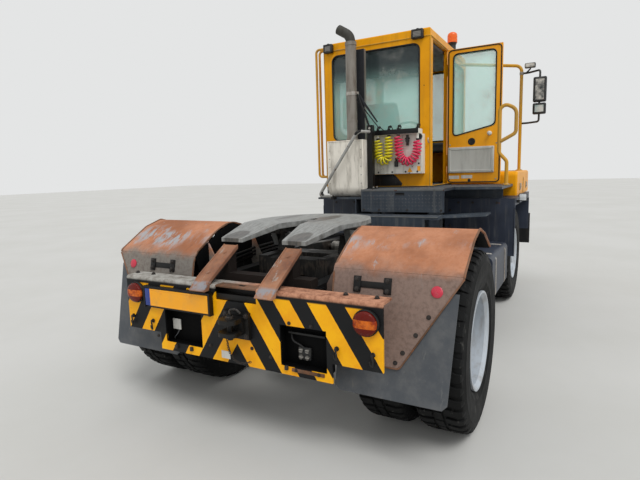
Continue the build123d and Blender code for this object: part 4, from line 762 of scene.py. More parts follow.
class Bench:
    """Short calls for Blender's own modelling operators."""

    @staticmethod
    def pick(*pieces: Piece) -> None:
        """Selects these objects only, the last one active.

        Args:
            *pieces: The objects, or none.
        """
        bpy.ops.object.select_all(action="DESELECT")
        for piece in pieces:
            piece.select_set(True)
        if pieces:
            bpy.context.view_layer.objects.active = pieces[-1]

    @staticmethod
    @contextmanager
    def editing(piece: Piece, action: str = "SELECT") -> Iterator[None]:
        """Opens a piece in edit mode.

        Args:
            piece: The piece.
            action: Whether all of it is selected, or nothing.

        Yields:
            Nothing, while the piece is open.
        """
        Bench.pick(piece)
        bpy.ops.object.mode_set(mode="EDIT")
        bpy.ops.mesh.select_mode(type="FACE")
        bpy.ops.mesh.select_all(action=action)
        yield
        bpy.ops.object.mode_set(mode="OBJECT")

    @staticmethod
    def press(piece: Piece, way: Point, area: float, *insets: tuple[float, float]) -> Piece:
        """Insets the large faces that look one way, step by step.

        Args:
            piece: The piece.
            way: Where the faces look.
            area: What each of them is larger than, in square metres.
            *insets: Width and depth of each step.

        Returns:
            The same piece.
        """
        with Bench.editing(piece, "DESELECT"):
            mesh = bmesh.from_edit_mesh(piece.data)
            for face in mesh.faces:
                if face.normal.dot(Vector(way)) > 0.95 and face.calc_area() > area:
                    face.select_set(True)
            bmesh.update_edit_mesh(piece.data)
            for thickness, depth in insets:
                bpy.ops.mesh.inset(thickness=thickness, depth=depth)
        return piece

    @staticmethod
    def close(piece: Piece) -> Piece:
        """Turns all faces of a mesh outward.

        Args:
            piece: The piece.

        Returns:
            The same piece.
        """
        with Bench.editing(piece):
            bpy.ops.mesh.normals_make_consistent(inside=False)
        return piece

    @staticmethod
    def modify(piece: Piece, kind: str, **settings: object) -> Piece:
        """Adds a modifier and applies it.

        Args:
            piece: The piece.
            kind: The modifier's type.
            **settings: Its properties.

        Returns:
            The same piece.
        """
        Bench.pick(piece)
        modifier = piece.modifiers.new(kind.lower(), kind)
        for key, value in settings.items():
            setattr(modifier, key, value)
        bpy.ops.object.modifier_apply(modifier=modifier.name)
        return piece

    @staticmethod
    def soften(piece: Piece, width: float, segments: int = 2, angle: float = 0.6) -> Piece:
        """Bevels the sharp edges of a piece.

        Args:
            piece: The piece.
            width: Width of the bevels, or 0 for none.
            segments: Steps across a bevel.
            angle: Smallest angle that counts as sharp.

        Returns:
            The same piece.
        """
        if width <= 0:
            return piece
        return Bench.modify(piece, "BEVEL", width=width, segments=segments, limit_method="ANGLE", angle_limit=angle)

    @staticmethod
    def mesh(points: Sequence[Point], edges: Sequence[Point], faces: Sequence[Sequence[int]]) -> Piece:
        """A new object from points, edges and faces.

        Args:
            points: Places of its vertices.
            edges: Pairs of vertices.
            faces: Corners of each face.

        Returns:
            The new object.
        """
        mesh = bpy.data.meshes.new("mesh")
        mesh.from_pydata([tuple(point) for point in points], edges, faces)
        return Bench.show(bpy.data.objects.new("piece", mesh))

    @staticmethod
    def show(piece: Piece) -> Piece:
        """Puts an object into the scene."""
        bpy.context.scene.collection.objects.link(piece)
        return piece

    @staticmethod
    def copy(piece: Piece, place: Matrix) -> Piece:
        """A copy with its mesh moved.

        Args:
            piece: The pattern.
            place: Where the copy's mesh goes.

        Returns:
            The copy.
        """
        twin = piece.copy()
        twin.data = piece.data.copy()
        twin.data.transform(place)
        if place.determinant() < 0:
            twin.data.flip_normals()
        return Bench.show(twin)

    @staticmethod
    def box(low: Point, high: Point) -> Piece:
        """Sharp cuboid between two corners.

        Args:
            low: Lowest corner.
            high: Highest corner.

        Returns:
            The cuboid, its place and size in its mesh.
        """
        Bench.pick()
        bpy.ops.mesh.primitive_cube_add(size=1, location=[(a + b) / 2 for a, b in zip(low, high)])
        piece = bpy.context.object
        piece.scale = [abs(b - a) for a, b in zip(low, high)]
        return Bench.settle(piece)

    @staticmethod
    def settle(piece: Piece) -> Piece:
        """Moves a piece's place, turn and size into its mesh.

        Args:
            piece: The piece.

        Returns:
            The same piece.
        """
        Bench.pick(piece)
        bpy.ops.object.transform_apply(location=True, rotation=True, scale=True)
        return piece

    @staticmethod
    def slab(low: Point, high: Point, edge: float = 0.003, segments: int = 2) -> Piece:
        """Cuboid between two corners, with softened edges."""
        return Bench.soften(Bench.box(low, high), edge, segments)

    @staticmethod
    def rod(start: Point, end: Point, radius: float, sides: int = 32, edge: float = 0.0) -> Piece:
        """Round bar between two points.

        Args:
            start: Middle of its first end.
            end: Middle of its other end.
            radius: Its radius.
            sides: Facets around.
            edge: Width of the softened rims.

        Returns:
            The bar.
        """
        Bench.pick()
        first, last = Vector(start), Vector(end)
        way = last - first
        bpy.ops.mesh.primitive_cone_add(
            vertices=sides, radius1=radius, radius2=radius, depth=way.length, location=(first + last) / 2
        )
        piece = bpy.context.object
        piece.rotation_mode = "QUATERNION"
        piece.rotation_quaternion = way.to_track_quat("Z", "Y")
        return Bench.soften(Bench.settle(piece), edge, 2, 0.9)

    @staticmethod
    def plate(outline: Sequence[Point], depth: Point, edge: float = 0.002, segments: int = 2) -> Piece:
        """Flat plate with an outline, extruded along a vector.

        Args:
            outline: Corners of one face, in order.
            depth: Vector from that face to the other.
            edge: Width of the softened edges.
            segments: Steps across an edge.

        Returns:
            The plate.
        """
        Bench.pick()
        bpy.ops.mesh.primitive_circle_add(vertices=len(outline), fill_type="NGON")
        piece = bpy.context.object
        for vertex, point in zip(piece.data.vertices, outline):
            vertex.co = point
        with Bench.editing(piece):
            bpy.ops.mesh.extrude_region_move(TRANSFORM_OT_translate={"value": depth})
            bpy.ops.mesh.select_all(action="SELECT")
            bpy.ops.mesh.normals_make_consistent(inside=False)
        return Bench.soften(piece, edge, segments)

    @staticmethod
    def path(points: Sequence[Point], closed: bool) -> Piece:
        """A line through points, as edges only."""
        last = [(len(points) - 1, 0)] if closed else []
        return Bench.mesh(points, [*((i, i + 1) for i in range(len(points) - 1)), *last], [])

    @staticmethod
    def pipe(route: Sequence[Point], radius: float, bend: float = 0.0, sides: int = 5, closed: bool = False) -> Piece:
        """Round tube or trim along straight runs joined by bends.

        Args:
            route: Corners of the middle line.
            radius: Radius of the tube.
            bend: How far from a corner its bend starts.
            sides: Detail around the tube.
            closed: Whether the route returns to its start.

        Returns:
            The tube.
        """
        piece = Bench.path(route, closed)
        if bend > 0:
            Bench.modify(piece, "BEVEL", affect="VERTICES", width=bend, segments=7)
        Bench.pick(piece)
        bpy.ops.object.convert(target="CURVE")
        piece.data.bevel_depth = radius
        piece.data.bevel_resolution = sides
        piece.data.use_fill_caps = not closed
        bpy.ops.object.convert(target="MESH")
        return piece

    @staticmethod
    def turned(profile: Sequence[Point], centre: Point, axis: Point, steps: int = 48, closed: bool = False) -> Piece:
        """Solid turned on a lathe.

        Args:
            profile: Radius and distance along the axis, from end to end.
            centre: Where the distances start.
            axis: Direction of the axis.
            steps: Facets around.
            closed: Whether the profile returns to its start, as a ring's does.

        Returns:
            The turned piece.
        """
        way, middle = Vector(axis).normalized(), Vector(centre)
        across = way.orthogonal().normalized()
        piece = Bench.path([middle + across * r + way * a for r, a in profile], closed)
        with Bench.editing(piece):
            bpy.ops.mesh.select_mode(type="VERT")
            bpy.ops.mesh.select_all(action="SELECT")
            bpy.ops.mesh.spin(steps=steps, angle=FULL_TURN, center=middle, axis=way)
            bpy.ops.mesh.select_all(action="SELECT")
            bpy.ops.mesh.remove_doubles(threshold=0.00005)
            bpy.ops.mesh.select_all(action="SELECT")
            bpy.ops.mesh.normals_make_consistent(inside=False)
        return piece

    @staticmethod
    def join(pieces: Sequence[Piece]) -> Piece:
        """Joins pieces into one object.

        Args:
            pieces: The pieces.

        Returns:
            The joined object.
        """
        Bench.pick(*pieces)
        if len(pieces) > 1:
            bpy.ops.object.join()
        return bpy.context.view_layer.objects.active

    @staticmethod
    def copies(piece: Piece, places: Sequence[Matrix]) -> Piece:
        """Joined copies of a piece, which is used up.

        Args:
            piece: The pattern.
            places: Where the copies go.

        Returns:
            The joined copies.
        """
        made = [Bench.copy(piece, place) for place in places]
        bpy.data.objects.remove(piece, do_unlink=True)
        return Bench.join(made)

    @staticmethod
    def mirrored(piece: Piece) -> Piece:
        """A piece together with its twin on the tractor's other side."""
        return Bench.copies(piece, [Matrix.Identity(4), Matrix.Scale(-1, 4, LEFT)])


def fit(
    name: str, pieces: Piece | Sequence[Piece], finish: Finish, body: Body = Body.CHASSIS,
    stands_for: Sequence[str] = (), smooth: float = 0.6,
) -> Piece:
    """Joins pieces into one, gives it its name, material and body, and reports it.

    Args:
        name: The joined piece's name.
        pieces: One piece or several.
        finish: Its finish.
        body: The body that carries it.
        stands_for: CAD nodes that it replaces.
        smooth: Largest angle that is shaded smooth.

    Returns:
        The joined piece.
    """
    piece = pieces if isinstance(pieces, Piece) else Bench.join(pieces)
    Bench.pick(piece)
    piece.name = name
    piece.data.materials.clear()
    piece.data.materials.append(finish.material)
    bpy.ops.object.shade_smooth_by_angle(angle=smooth)
    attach(piece, body.value)
    if stands_for:
        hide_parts(*stands_for)
    log.info("%s: %d faces on %s", piece.name, len(piece.data.polygons), body.value)
    return piece


def turn_to(normal: Point, place: Point, twist: float = 0.0) -> Matrix:
    """Matrix that stands a piece, modelled on +Z at the origin, on a face."""
    turn = Vector(normal).normalized().to_track_quat("Z", "Y").to_matrix().to_4x4()
    return Matrix.Translation(Vector(place)) @ turn @ Matrix.Rotation(twist, 4, "Z")


def facing(normal: Point, *points: Point) -> list[Place]:
    """Places on faces that all look one way."""
    return [(point, normal) for point in points]


@dataclass
class Fasteners:
    """Hexagon bolts with washers."""

    across: float
    head: float
    washer: float

    def pattern(self) -> Piece:
        """One bolt head on its washer, standing on +Z.

        Returns:
            The bolt.
        """
        top = self.washer + self.head
        disc = Bench.rod((0, 0, -0.001), (0, 0, self.washer), self.across * 0.72, 16)
        head = Bench.rod((0, 0, self.washer), (0, 0, top), self.across * 0.577, 6)
        Bench.soften(head, self.head * 0.15, 1, 0.9)
        return Bench.join([disc, head, Bench.rod((0, 0, top), (0, 0, top + self.head * 0.35), self.across * 0.28, 10)])

    def set_at(self, name: str, places: Sequence[Place], finish: Finish, body: Body = Body.CHASSIS) -> Piece:
        """Bolts at points on faces, each turned a little further.

        Args:
            name: The piece's name.
            places: Pairs of point and face normal.
            finish: Their finish.
            body: The body that carries them.

        Returns:
            The bolts as one piece.
        """
        spots = [turn_to(normal, point, 0.3 + 0.7 * i) for i, (point, normal) in enumerate(places)]
        return fit(name, Bench.copies(self.pattern(), spots), finish, body)


def at_x(x: float, *pairs: Sequence[float]) -> list[Point]:
    """Points at one X, from pairs of Y and Z."""
    return [(x, y, z) for y, z in pairs]


def at_y(y: float, *pairs: Sequence[float]) -> list[Point]:
    """Points at one Y, from pairs of X and Z."""
    return [(x, y, z) for x, z in pairs]


def window(x: float, y_low: float, y_high: float, z_low: float, z_high: float) -> list[Point]:
    """Corners of an upright rectangle across the tractor."""
    return at_x(x, (y_low, z_low), (y_high, z_low), (y_high, z_high), (y_low, z_high))


# Studio and camera


@dataclass(frozen=True)
class Camera:
    """The photograph's camera, as solved from the tractor's own sizes."""

    place: tuple[float, float, float] = (-4.597, -1.701, 1.567)
    yaw: float = 28.63
    pitch: float = -7.911
    roll: float = -1.634
    focal_pixels: float = 471.24
    middle: tuple[float, float] = (321.7, 238.6)
    picture: tuple[int, int] = (640, 480)

    def set_up(self) -> None:
        """Adds the camera and makes it the scene's own."""
        yaw, pitch, roll = (math.radians(v) for v in (self.yaw, self.pitch, self.roll))
        forward = Vector((math.cos(yaw) * math.cos(pitch), math.sin(yaw) * math.cos(pitch), math.sin(pitch)))
        level = Vector((math.sin(yaw), -math.cos(yaw), 0.0))
        upright = level.cross(forward)
        right = level * math.cos(roll) + upright * math.sin(roll)
        up = upright * math.cos(roll) - level * math.sin(roll)
        data = bpy.data.cameras.new("photo_camera")
        camera = Bench.show(bpy.data.objects.new("photo_camera", data))
        camera.matrix_world = Matrix.Translation(self.place) @ Matrix((right, up, -forward)).transposed().to_4x4()
        width, height = self.picture
        data.sensor_width = 36.0
        data.lens = self.focal_pixels * data.sensor_width / width
        data.shift_x = -(self.middle[0] - width / 2) / width
        data.shift_y = (self.middle[1] - height / 2) / width
        data.clip_end = 200.0
        bpy.context.scene.camera = camera


@dataclass(frozen=True)
class Studio:
    """Plain pale floor, an even sky and a soft sun."""

    floor_half: float = 60.0
    sky: tuple[str, float] = ("#F4F6F8", 0.80)
    seen_sky: tuple[str, float] = ("#E4E5E5", 1.0)
    sun_strength: float = 1.5
    sun_turn: tuple[float, float, float] = (34.0, 0.0, -40.0)

    def floor(self) -> None:
        """Lays the floor."""
        Bench.pick()
        bpy.ops.mesh.primitive_grid_add(x_subdivisions=6, y_subdivisions=6, size=2 * self.floor_half)
        floor = bpy.context.object
        floor.name = "studio_floor"
        board = NodeBoard("studio_floor")
        colour = board.mix(board.cloud(0.3, 0.7, 0.5, 6.0, 0.6), "#C9C8C4", "#C3C2BD")
        floor.data.materials.append(board.finish(colour, 0.85))

    def build(self) -> None:
        """Sets floor, sky and sun; the sky that is seen or mirrored is a plainer one than the sky that lights."""
        bpy.context.scene.view_settings.view_transform = "Standard"
        self.floor()
        world = bpy.data.worlds.new("studio_sky")
        bpy.context.scene.world = world
        world.use_nodes = True
        nodes, link = world.node_tree.nodes, world.node_tree.links.new
        rays = nodes.new("ShaderNodeLightPath").outputs
        seen = rays["Is Camera Ray"]
        for ray in ("Is Transmission Ray", "Is Glossy Ray"):
            either = nodes.new("ShaderNodeMath")
            either.operation = "MAXIMUM"
            link(seen, either.inputs[0])
            link(rays[ray], either.inputs[1])
            seen = either.outputs[0]
        blend = nodes.new("ShaderNodeMixShader")
        link(seen, blend.inputs[0])
        for number, (node, (colour, strength)) in enumerate((
            (nodes["Background"], self.sky), (nodes.new("ShaderNodeBackground"), self.seen_sky),
        )):
            node.inputs["Color"].default_value = linear(colour)
            node.inputs["Strength"].default_value = strength
            link(node.outputs[0], blend.inputs[1 + number])
        link(blend.outputs[0], nodes["World Output"].inputs[0])
        bpy.ops.object.light_add(type="SUN")
        sun = bpy.context.object
        sun.name = "soft_sun"
        sun.data.energy = self.sun_strength
        sun.data.angle = math.radians(25)
        sun.rotation_euler = [math.radians(v) for v in self.sun_turn]


# Air hoses


@dataclass
class CurlyHose:
    """A coiled air hose that hangs between two fittings."""

    name: str
    route: Sequence[Point]
    finish: Finish
    coil_radius: float = 0.0412
    tube_radius: float = 0.0082
    turns_per_metre: float = 32.0
    tail: float = 0.02
    steps: int = 14

    def curve(self, name: str, points: Sequence[Point], detail: int) -> Piece:
        """Smooth curve along points.

        Args:
            name: The curve's name.
            points: Its control points.
            detail: Steps between two of them.

        Returns:
            The curve, in the scene.
        """
        curve = bpy.data.curves.new(name, "CURVE")
        curve.dimensions = "3D"
        curve.resolution_u = detail
        spline = curve.splines.new("NURBS")
        spline.points.add(len(points) - 1)
        for point, place in zip(spline.points, points):
            point.co = (*place, 1.0)
        spline.order_u = 3
        spline.use_endpoint_u = True
        return Bench.show(bpy.data.objects.new(name, curve))

    def middle_line(self) -> list[Vector]:
        """Points along the route's smooth line.

        Returns:
            The points, from one fitting to the other.
        """
        guide = self.curve(self.name + "_route", self.route, 24)
        mesh = bpy.data.meshes.new_from_object(guide)
        points = [v.co.copy() for v in mesh.vertices]
        bpy.data.objects.remove(guide, do_unlink=True)
        bpy.data.meshes.remove(mesh)
        return points

    def helix(self, line: Sequence[Vector]) -> list[Vector]:
        """Points of the hose's own line, wound round the middle line.

        Args:
            line: The middle line.

        Returns:
            Points from one fitting to the other.
        """
        runs = [(b - a).length for a, b in zip(line, line[1:])]
        total = sum(runs)
        count = int(total * self.turns_per_metre) * self.steps
        points, side = [], Vector(AHEAD)
        index, gone = 0, 0.0
        for step in range(count + 1):
            distance = total * step / count
            while index < len(runs) - 1 and distance > gone + runs[index]:
                gone += runs[index]
                index += 1
            way = (line[index + 1] - line[index]).normalized()
            middle = line[index].lerp(line[index + 1], (distance - gone) / runs[index])
            side = (side - way * side.dot(way)).normalized()
            reach = min(1.0, min(distance, total - distance) / self.tail)
            reach = reach * reach * (3 - 2 * reach)
            angle = FULL_TURN * step / self.steps
            turn = side * math.cos(angle) + way.cross(side) * math.sin(angle)
            points.append(middle + turn * self.coil_radius * reach)
        return points

    def build(self) -> None:
        points = self.helix(self.middle_line())
        hose = self.curve(self.name + "_coil", points, 2)
        hose.data.bevel_depth = self.tube_radius
        hose.data.bevel_resolution = 2
        hose.data.use_fill_caps = True
        hose.data.materials.append(self.finish.material)
        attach(hose, Body.CHASSIS.value)
        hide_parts(self.name)


@dataclass
class AirHoses:
    """The yellow and the red hose between the fittings of the air panel."""

    line_x: float = ahead(2.048)

    def build(self) -> None:
        """Hangs both hoses."""
        yellow = ((0.232, 1.905), (0.232, 1.714), (0.196, 1.678), (0.144, 1.678), (0.108, 1.714), (0.108, 1.935))
        red = (
            (0.002, 1.935), (0.002, 1.800), (-0.022, 1.695), (-0.100, 1.650), (-0.178, 1.700), (-0.208, 1.785),
            (-0.208, 1.880),
        )
        CurlyHose("yellow_hose", at_x(self.line_x, *yellow), Finishes.yellow_hose).build()
        CurlyHose("red_hose", at_x(self.line_x, *red), Finishes.red_hose).build()


# Rear end


@dataclass
class TailLamps:
    """Round rear lamps: a rubber ring, a domed lens and its two screws."""

    middles: tuple[float, float] = (-0.815, 0.800)
    z: float = 0.835

    def build(self) -> None:
        """Makes one lamp and copies it to the other side."""
        centre = (BUMPER_X, self.middles[0], self.z)
        ring = (
            (0.0, 0.0005), (0.067, 0.0005), (0.069, 0.006), (0.069, 0.018), (0.067, 0.022), (0.064, 0.022),
            (0.063, 0.018), (0.0, 0.018),
        )
        lens = (
            (0.0, 0.019), (0.0625, 0.019), (0.0625, 0.031), (0.060, 0.036), (0.052, 0.0405), (0.032, 0.0435),
            (0.0, 0.0445),
        )
        shift = [Matrix.Translation((0.0, y - self.middles[0], 0.0)) for y in self.middles]
        rings = Bench.copies(Bench.turned(ring, centre, REAR), shift)
        fit("tail_lamp_rings", rings, Finishes.trim_rubber, stands_for=["tail_lamps"])
        fit("tail_lamp_lenses", Bench.copies(Bench.turned(lens, centre, REAR), shift), Finishes.tail_lens)
        screws = [(y, self.z + up) for y in self.middles for up in (-0.036, 0.036)]
        places = facing(REAR, *at_x(BUMPER_X - 0.0405, *screws))
        Fasteners(0.006, 0.0012, 0.0006).set_at("tail_lamp_screws", places, Finishes.bolt_dark)


@dataclass
class BumperFittings:
    """What is bolted to the rear bumper: bolts, rubber hooks, recesses darkened as painted shade with their sockets,
    and the notch's bar.
    """

    top_z: float = 0.938
    back_x: float = ahead(-0.700)
    cut_outs: tuple[tuple[float, ...], ...] = ((-0.586, -0.299, 0.525, 0.757), (0.267, 0.571, 0.533, 0.745))

    def bolts(self) -> None:
        """Small dark bolt heads on the bent top edge and on the face."""
        top = facing(UP, *[(ahead(-0.690), y, self.top_z) for y in (-0.664, -0.838, 0.885, 0.738)])
        face = facing(REAR, *at_x(
            BUMPER_X, (-0.497, 0.772), (-0.361, 0.772), (-0.232, 0.560), (0.205, 0.560), (-0.105, 0.590), (0.640, 0.560)
        ))
        Fasteners(0.021, 0.009, 0.002).set_at("bumper_top_bolts", top, Finishes.bolt_dark)
        Fasteners(0.015, 0.006, 0.002).set_at("bumper_bolts", face, Finishes.bolt_dark)

    def hooks(self) -> None:
        """Rubber hooks under the lamps, each on a round foot."""
        route = (
            (0.0, 0.004, 0.002), (0.0, 0.004, 0.020), (0.007, -0.028, 0.022), (0.003, -0.056, 0.016),
            (-0.010, -0.050, 0.014), (-0.012, -0.030, 0.014),
        )
        foot = Bench.rod(ORIGIN, (0, 0, 0.006), 0.013, 16, 0.001)
        knob = Bench.rod((0, 0, 0.006), (0, 0, 0.020), 0.008, 12, 0.002)
        pattern = Bench.join([Bench.pipe(route, 0.0048, 0.008, 3), foot, knob])
        upright = Matrix(((0, 0, -1, 0), (-1, 0, 0, 0), (0, 1, 0, 0), (0, 0, 0, 1)))
        spots = [
            Matrix.Translation(point) @ upright
            for point in at_x(BUMPER_X, (-0.647, 0.674), (-0.846, 0.673), (0.677, 0.655), (0.858, 0.668))
        ]
        fit("bumper_rubber_hooks", Bench.copies(pattern, spots), Finishes.trim_rubber)

    def recesses(self) -> None:
        """Boxes behind the two cut-outs and thin rims round them, near black as painted shade in the recesses."""
        walls, rims = [], []
        sheet, back, rim, gap = BUMPER_X + 0.0125, self.back_x, 0.012, 0.006
        for y_low, y_high, z_low, z_high in self.cut_outs:
            low, high = (y_low - rim, z_low - rim), (y_high + rim, z_high + rim)
            for start, end in (
                ((back - 0.005, *low), (back, *high)),
                ((sheet, *low), (back, y_low - gap, high[1])),
                ((sheet, y_high + gap, low[1]), (back, *high)),
                ((sheet, *low), (back, high[0], z_low - gap)),
                ((sheet, low[0], z_high + gap), (back, *high)),
            ):
                walls.append(Bench.slab(start, end, 0.001))
            rims.append(Bench.pipe(window(BUMPER_X + 0.006, y_low, y_high, z_low, z_high), 0.0034, 0.020, 2, True))
        fit("bumper_recess_boxes", walls, Finishes.recess_black)
        fit("bumper_cut_out_rims", rims, Finishes.recess_black)

    def sockets(self) -> None:
        """Square four-hole socket in the right recess, a white reflector with a wire in the left one."""
        x = self.back_x - 0.005
        block = Bench.slab((x - 0.020, -0.462, 0.556), (x, -0.384, 0.628), 0.006, 3)
        fit("socket_block", block, Finishes.black_plastic)
        pods = [
            Bench.rod((x - 0.030, y, z), (x - 0.018, y, z), 0.0125, 20, 0.002)
            for y in (-0.443, -0.404) for z in (0.574, 0.611)
        ]
        fit("socket_lenses", pods, Finishes.lamp_dim)
        shelf = Bench.slab((x - 0.030, -0.560, 0.700), (x, -0.330, 0.712))
        route = [
            (x - 0.008, -0.340, 0.700), (x - 0.024, -0.350, 0.660), (x - 0.020, -0.400, 0.640),
            (x - 0.012, -0.420, 0.622),
        ]
        fit("socket_lead", [shelf, Bench.pipe(route, 0.005, 0.02, 3)], Finishes.trim_rubber)
        reflector = Bench.slab((x - 0.009, 0.500, 0.598), (x - 0.0005, 0.568, 0.668))
        Bench.press(reflector, REAR, 0.002, (0.006, 0.0), (0.001, -0.0015))
        fit("bumper_white_reflector", reflector, Finishes.blank_white)
        route = [
            (x - 0.006, 0.515, 0.600), (x - 0.016, 0.520, 0.575), (x - 0.020, 0.548, 0.550), (x - 0.010, 0.556, 0.534),
        ]
        fit("recess_wire", Bench.pipe(route, 0.0028, 0.02, 3), Finishes.grey_plastic)

    def lips(self) -> None:
        """Rusty hinge bar under the right cut-out, and clips under both."""
        x = BUMPER_X
        bar = Bench.slab((x - 0.007, -0.572, 0.503), (x + 0.001, -0.372, 0.522), 0.002)
        fit("recess_hinge_bar", bar, Finishes.bead_rust)
        places = facing(REAR, *at_x(x - 0.007, (-0.540, 0.513), (-0.400, 0.513)))
        Fasteners(0.014, 0.006, 0.001).set_at("hinge_bar_bolts", places, Finishes.bolt_dark)
        clips = [
            Bench.slab((x - 0.014, y - 0.010, z - 0.014), (x + 0.001, y + 0.010, z + 0.012))
            for y, z in ((0.482, 0.512), (0.355, 0.516), (-0.338, 0.520))
        ]
        fit("recess_clips", clips, Finishes.bolt_dark)

    def notch(self, half: float = 0.1475) -> None:
        """Flat bar over the notch, with a slot, and the dark lip set back in its foot.

        Args:
            half: Half of the notch's width.
        """
        bar = Bench.slab((ahead(-0.768), -half, 0.926), (ahead(-0.690), half, 0.9375))
        fit("notch_bar", bar, Finishes.bead_rust)
        # Near-black slot: painted shade in the bar's slot.
        slot = Bench.slab((ahead(-0.738), -0.045, 0.9372), (ahead(-0.716), 0.000, 0.9382), 0.0004, 1)
        fit("notch_bar_slot", slot, Finishes.recess_black)
        lip = Bench.slab((ahead(-0.762), -half, 0.851), (ahead(-0.750), half, 0.888), 0.004)
        back = Bench.slab((ahead(-0.700), -0.170, 0.740), (ahead(-0.694), 0.170, 0.925), 0.002)
        fit("notch_lip", [lip, back], Finishes.oily_black)

    def build(self) -> None:
        """Adds every fitting."""
        for step in (self.bolts, self.hooks, self.recesses, self.sockets, self.lips, self.notch):
            step()


@dataclass
class PlateHolder:
    """Blank yellow plate with its blue end, in the black holder."""

    face_x: float = ahead(-0.806)
    y_range: tuple[float, float] = (0.180, 0.700)
    z_range: tuple[float, float] = (0.765, 0.875)
    blue_width: float = 0.042

    def build(self) -> None:
        """Sets the plate into its holder, with two screws and a pressed rim."""
        (y_low, y_high), (z_low, z_high) = self.y_range, self.z_range
        front, back = self.face_x + 0.0015, self.face_x + 0.0085
        split = y_high - self.blue_width
        plate = Bench.slab((front, y_low, z_low), (back, split, z_high), 0.0015)
        Bench.press(plate, REAR, 0.01, (0.007, 0.0), (0.0015, -0.0012))
        fit("plate_blank", plate, Finishes.plate_yellow)
        end = Bench.slab((front, split + 0.0003, z_low), (back, y_high, z_high), 0.0015)
        fit("plate_blue_end", end, Finishes.plate_blue)
        screws = facing(REAR, *at_x(front, *[(y, z_high - 0.020) for y in (y_low + 0.14, y_high - 0.14)]))
        Fasteners(0.008, 0.001, 0.0005).set_at("plate_screws", screws, Finishes.plate_yellow)


@dataclass
class TowJaw:
    """Wear parts of the tow coupling: the pin's handle and collars, a chain and a blank tag."""

    pin: tuple[float, float] = (ahead(-0.8464), -0.015)
    jaw_z: float = 0.724
    link_gap: float = 0.0125

    def chain(self) -> None:
        """Links along a slack line, each turned a quarter against the last."""
        corners = ((-0.0052, 0, 0.008), (0.0052, 0, 0.008), (0.0052, 0, -0.008), (-0.0052, 0, -0.008))
        link = Bench.pipe(corners, 0.0020, 0.004, 2, True)
        hang = [Vector(point) for point in at_x(
            ahead(-0.802), (0.050, 0.640), (0.044, 0.590), (0.030, 0.545), (0.004, 0.515), (-0.030, 0.502),
            (-0.070, 0.506), (-0.121, 0.524),
        )]
        spots = []
        for first, last in zip(hang, hang[1:]):
            turn = (last - first).normalized().to_track_quat("Z", "X").to_matrix().to_4x4()
            count = max(1, round((last - first).length / self.link_gap))
            for step in range(count):
                roll = Matrix.Rotation(math.pi / 2 * (len(spots) % 2) + 0.3, 4, "Z")
                spots.append(Matrix.Translation(first.lerp(last, step / count)) @ turn @ roll)
        fit("tow_pin_chain", Bench.copies(link, spots), Finishes.bolt_dark)

    def build(self) -> None:
        """Adds handle, collars, bolts, chain and tag."""
        x, y = self.pin
        top = self.jaw_z + 0.080
        route = [
            (x, y - 0.004, top - 0.004), (x, y, top + 0.022), (x + 0.006, y - 0.045, top + 0.030),
            (x + 0.010, y - 0.070, top + 0.006),
        ]
        rings = [
            Bench.turned(profile, (x, y, self.jaw_z), UP, 32, True)
            for profile in (
                ((0.0165, 0.053), (0.024, 0.053), (0.024, 0.064), (0.0165, 0.068)),
                ((0.0165, -0.046), (0.026, -0.046), (0.026, -0.056), (0.0165, -0.060)),
            )
        ]
        fit("tow_pin_fittings", [Bench.pipe(route, 0.0065, 0.014, 3), *rings], Finishes.greased_dark)
        flange = facing(REAR, *at_x(ahead(-0.794), *[(y, z) for y in (-0.088, 0.058) for z in (0.664, 0.782)]))
        Fasteners(0.022, 0.010, 0.002).set_at("tow_flange_bolts", flange, Finishes.bolt_dark)
        self.chain()
        tag = Bench.slab((ahead(-0.805), 0.030, 0.514), (ahead(-0.802), 0.094, 0.560), 0.002)
        fit("tow_blank_tag", tag, Finishes.blank_white)


@dataclass
class RampFittings:
    """Raised edges and bolts of the two guide ramps."""

    middle_y: float = 0.235
    half_width: float = 0.056
    foot: tuple[float, float] = (-0.833, 0.908)
    fold: tuple[float, float] = (-0.763, 0.969)
    head: tuple[float, float] = (-0.497, 1.130)

    def build(self) -> None:
        """Adds the raised side strips and bolts of both ramps."""
        strips = []
        for edge in (-1, 1):
            y = self.middle_y + edge * (self.half_width - 0.004)
            route = [(ahead(x), y, z + 0.0015) for x, z in (self.foot, self.fold, self.head)]
            route[0] = (route[0][0] + 0.004, *route[0][1:])
            strips.append(Bench.pipe(route, 0.0042, 0.03, 3))
        fit("ramp_edge_beads", Bench.mirrored(Bench.join(strips)), Finishes.ramp_rust)
        rise = (self.head[1] - self.fold[1]) / (self.head[0] - self.fold[0])
        places = facing((-rise, 0.0, 1.0), *[
            (ahead(x), side * self.middle_y, self.fold[1] + (x - self.fold[0]) * rise)
            for side in (-1, 1) for x in (-0.72, -0.56)
        ])
        Fasteners(0.022, 0.003, 0.001).set_at("ramp_bolts", places, Finishes.ramp_rust)


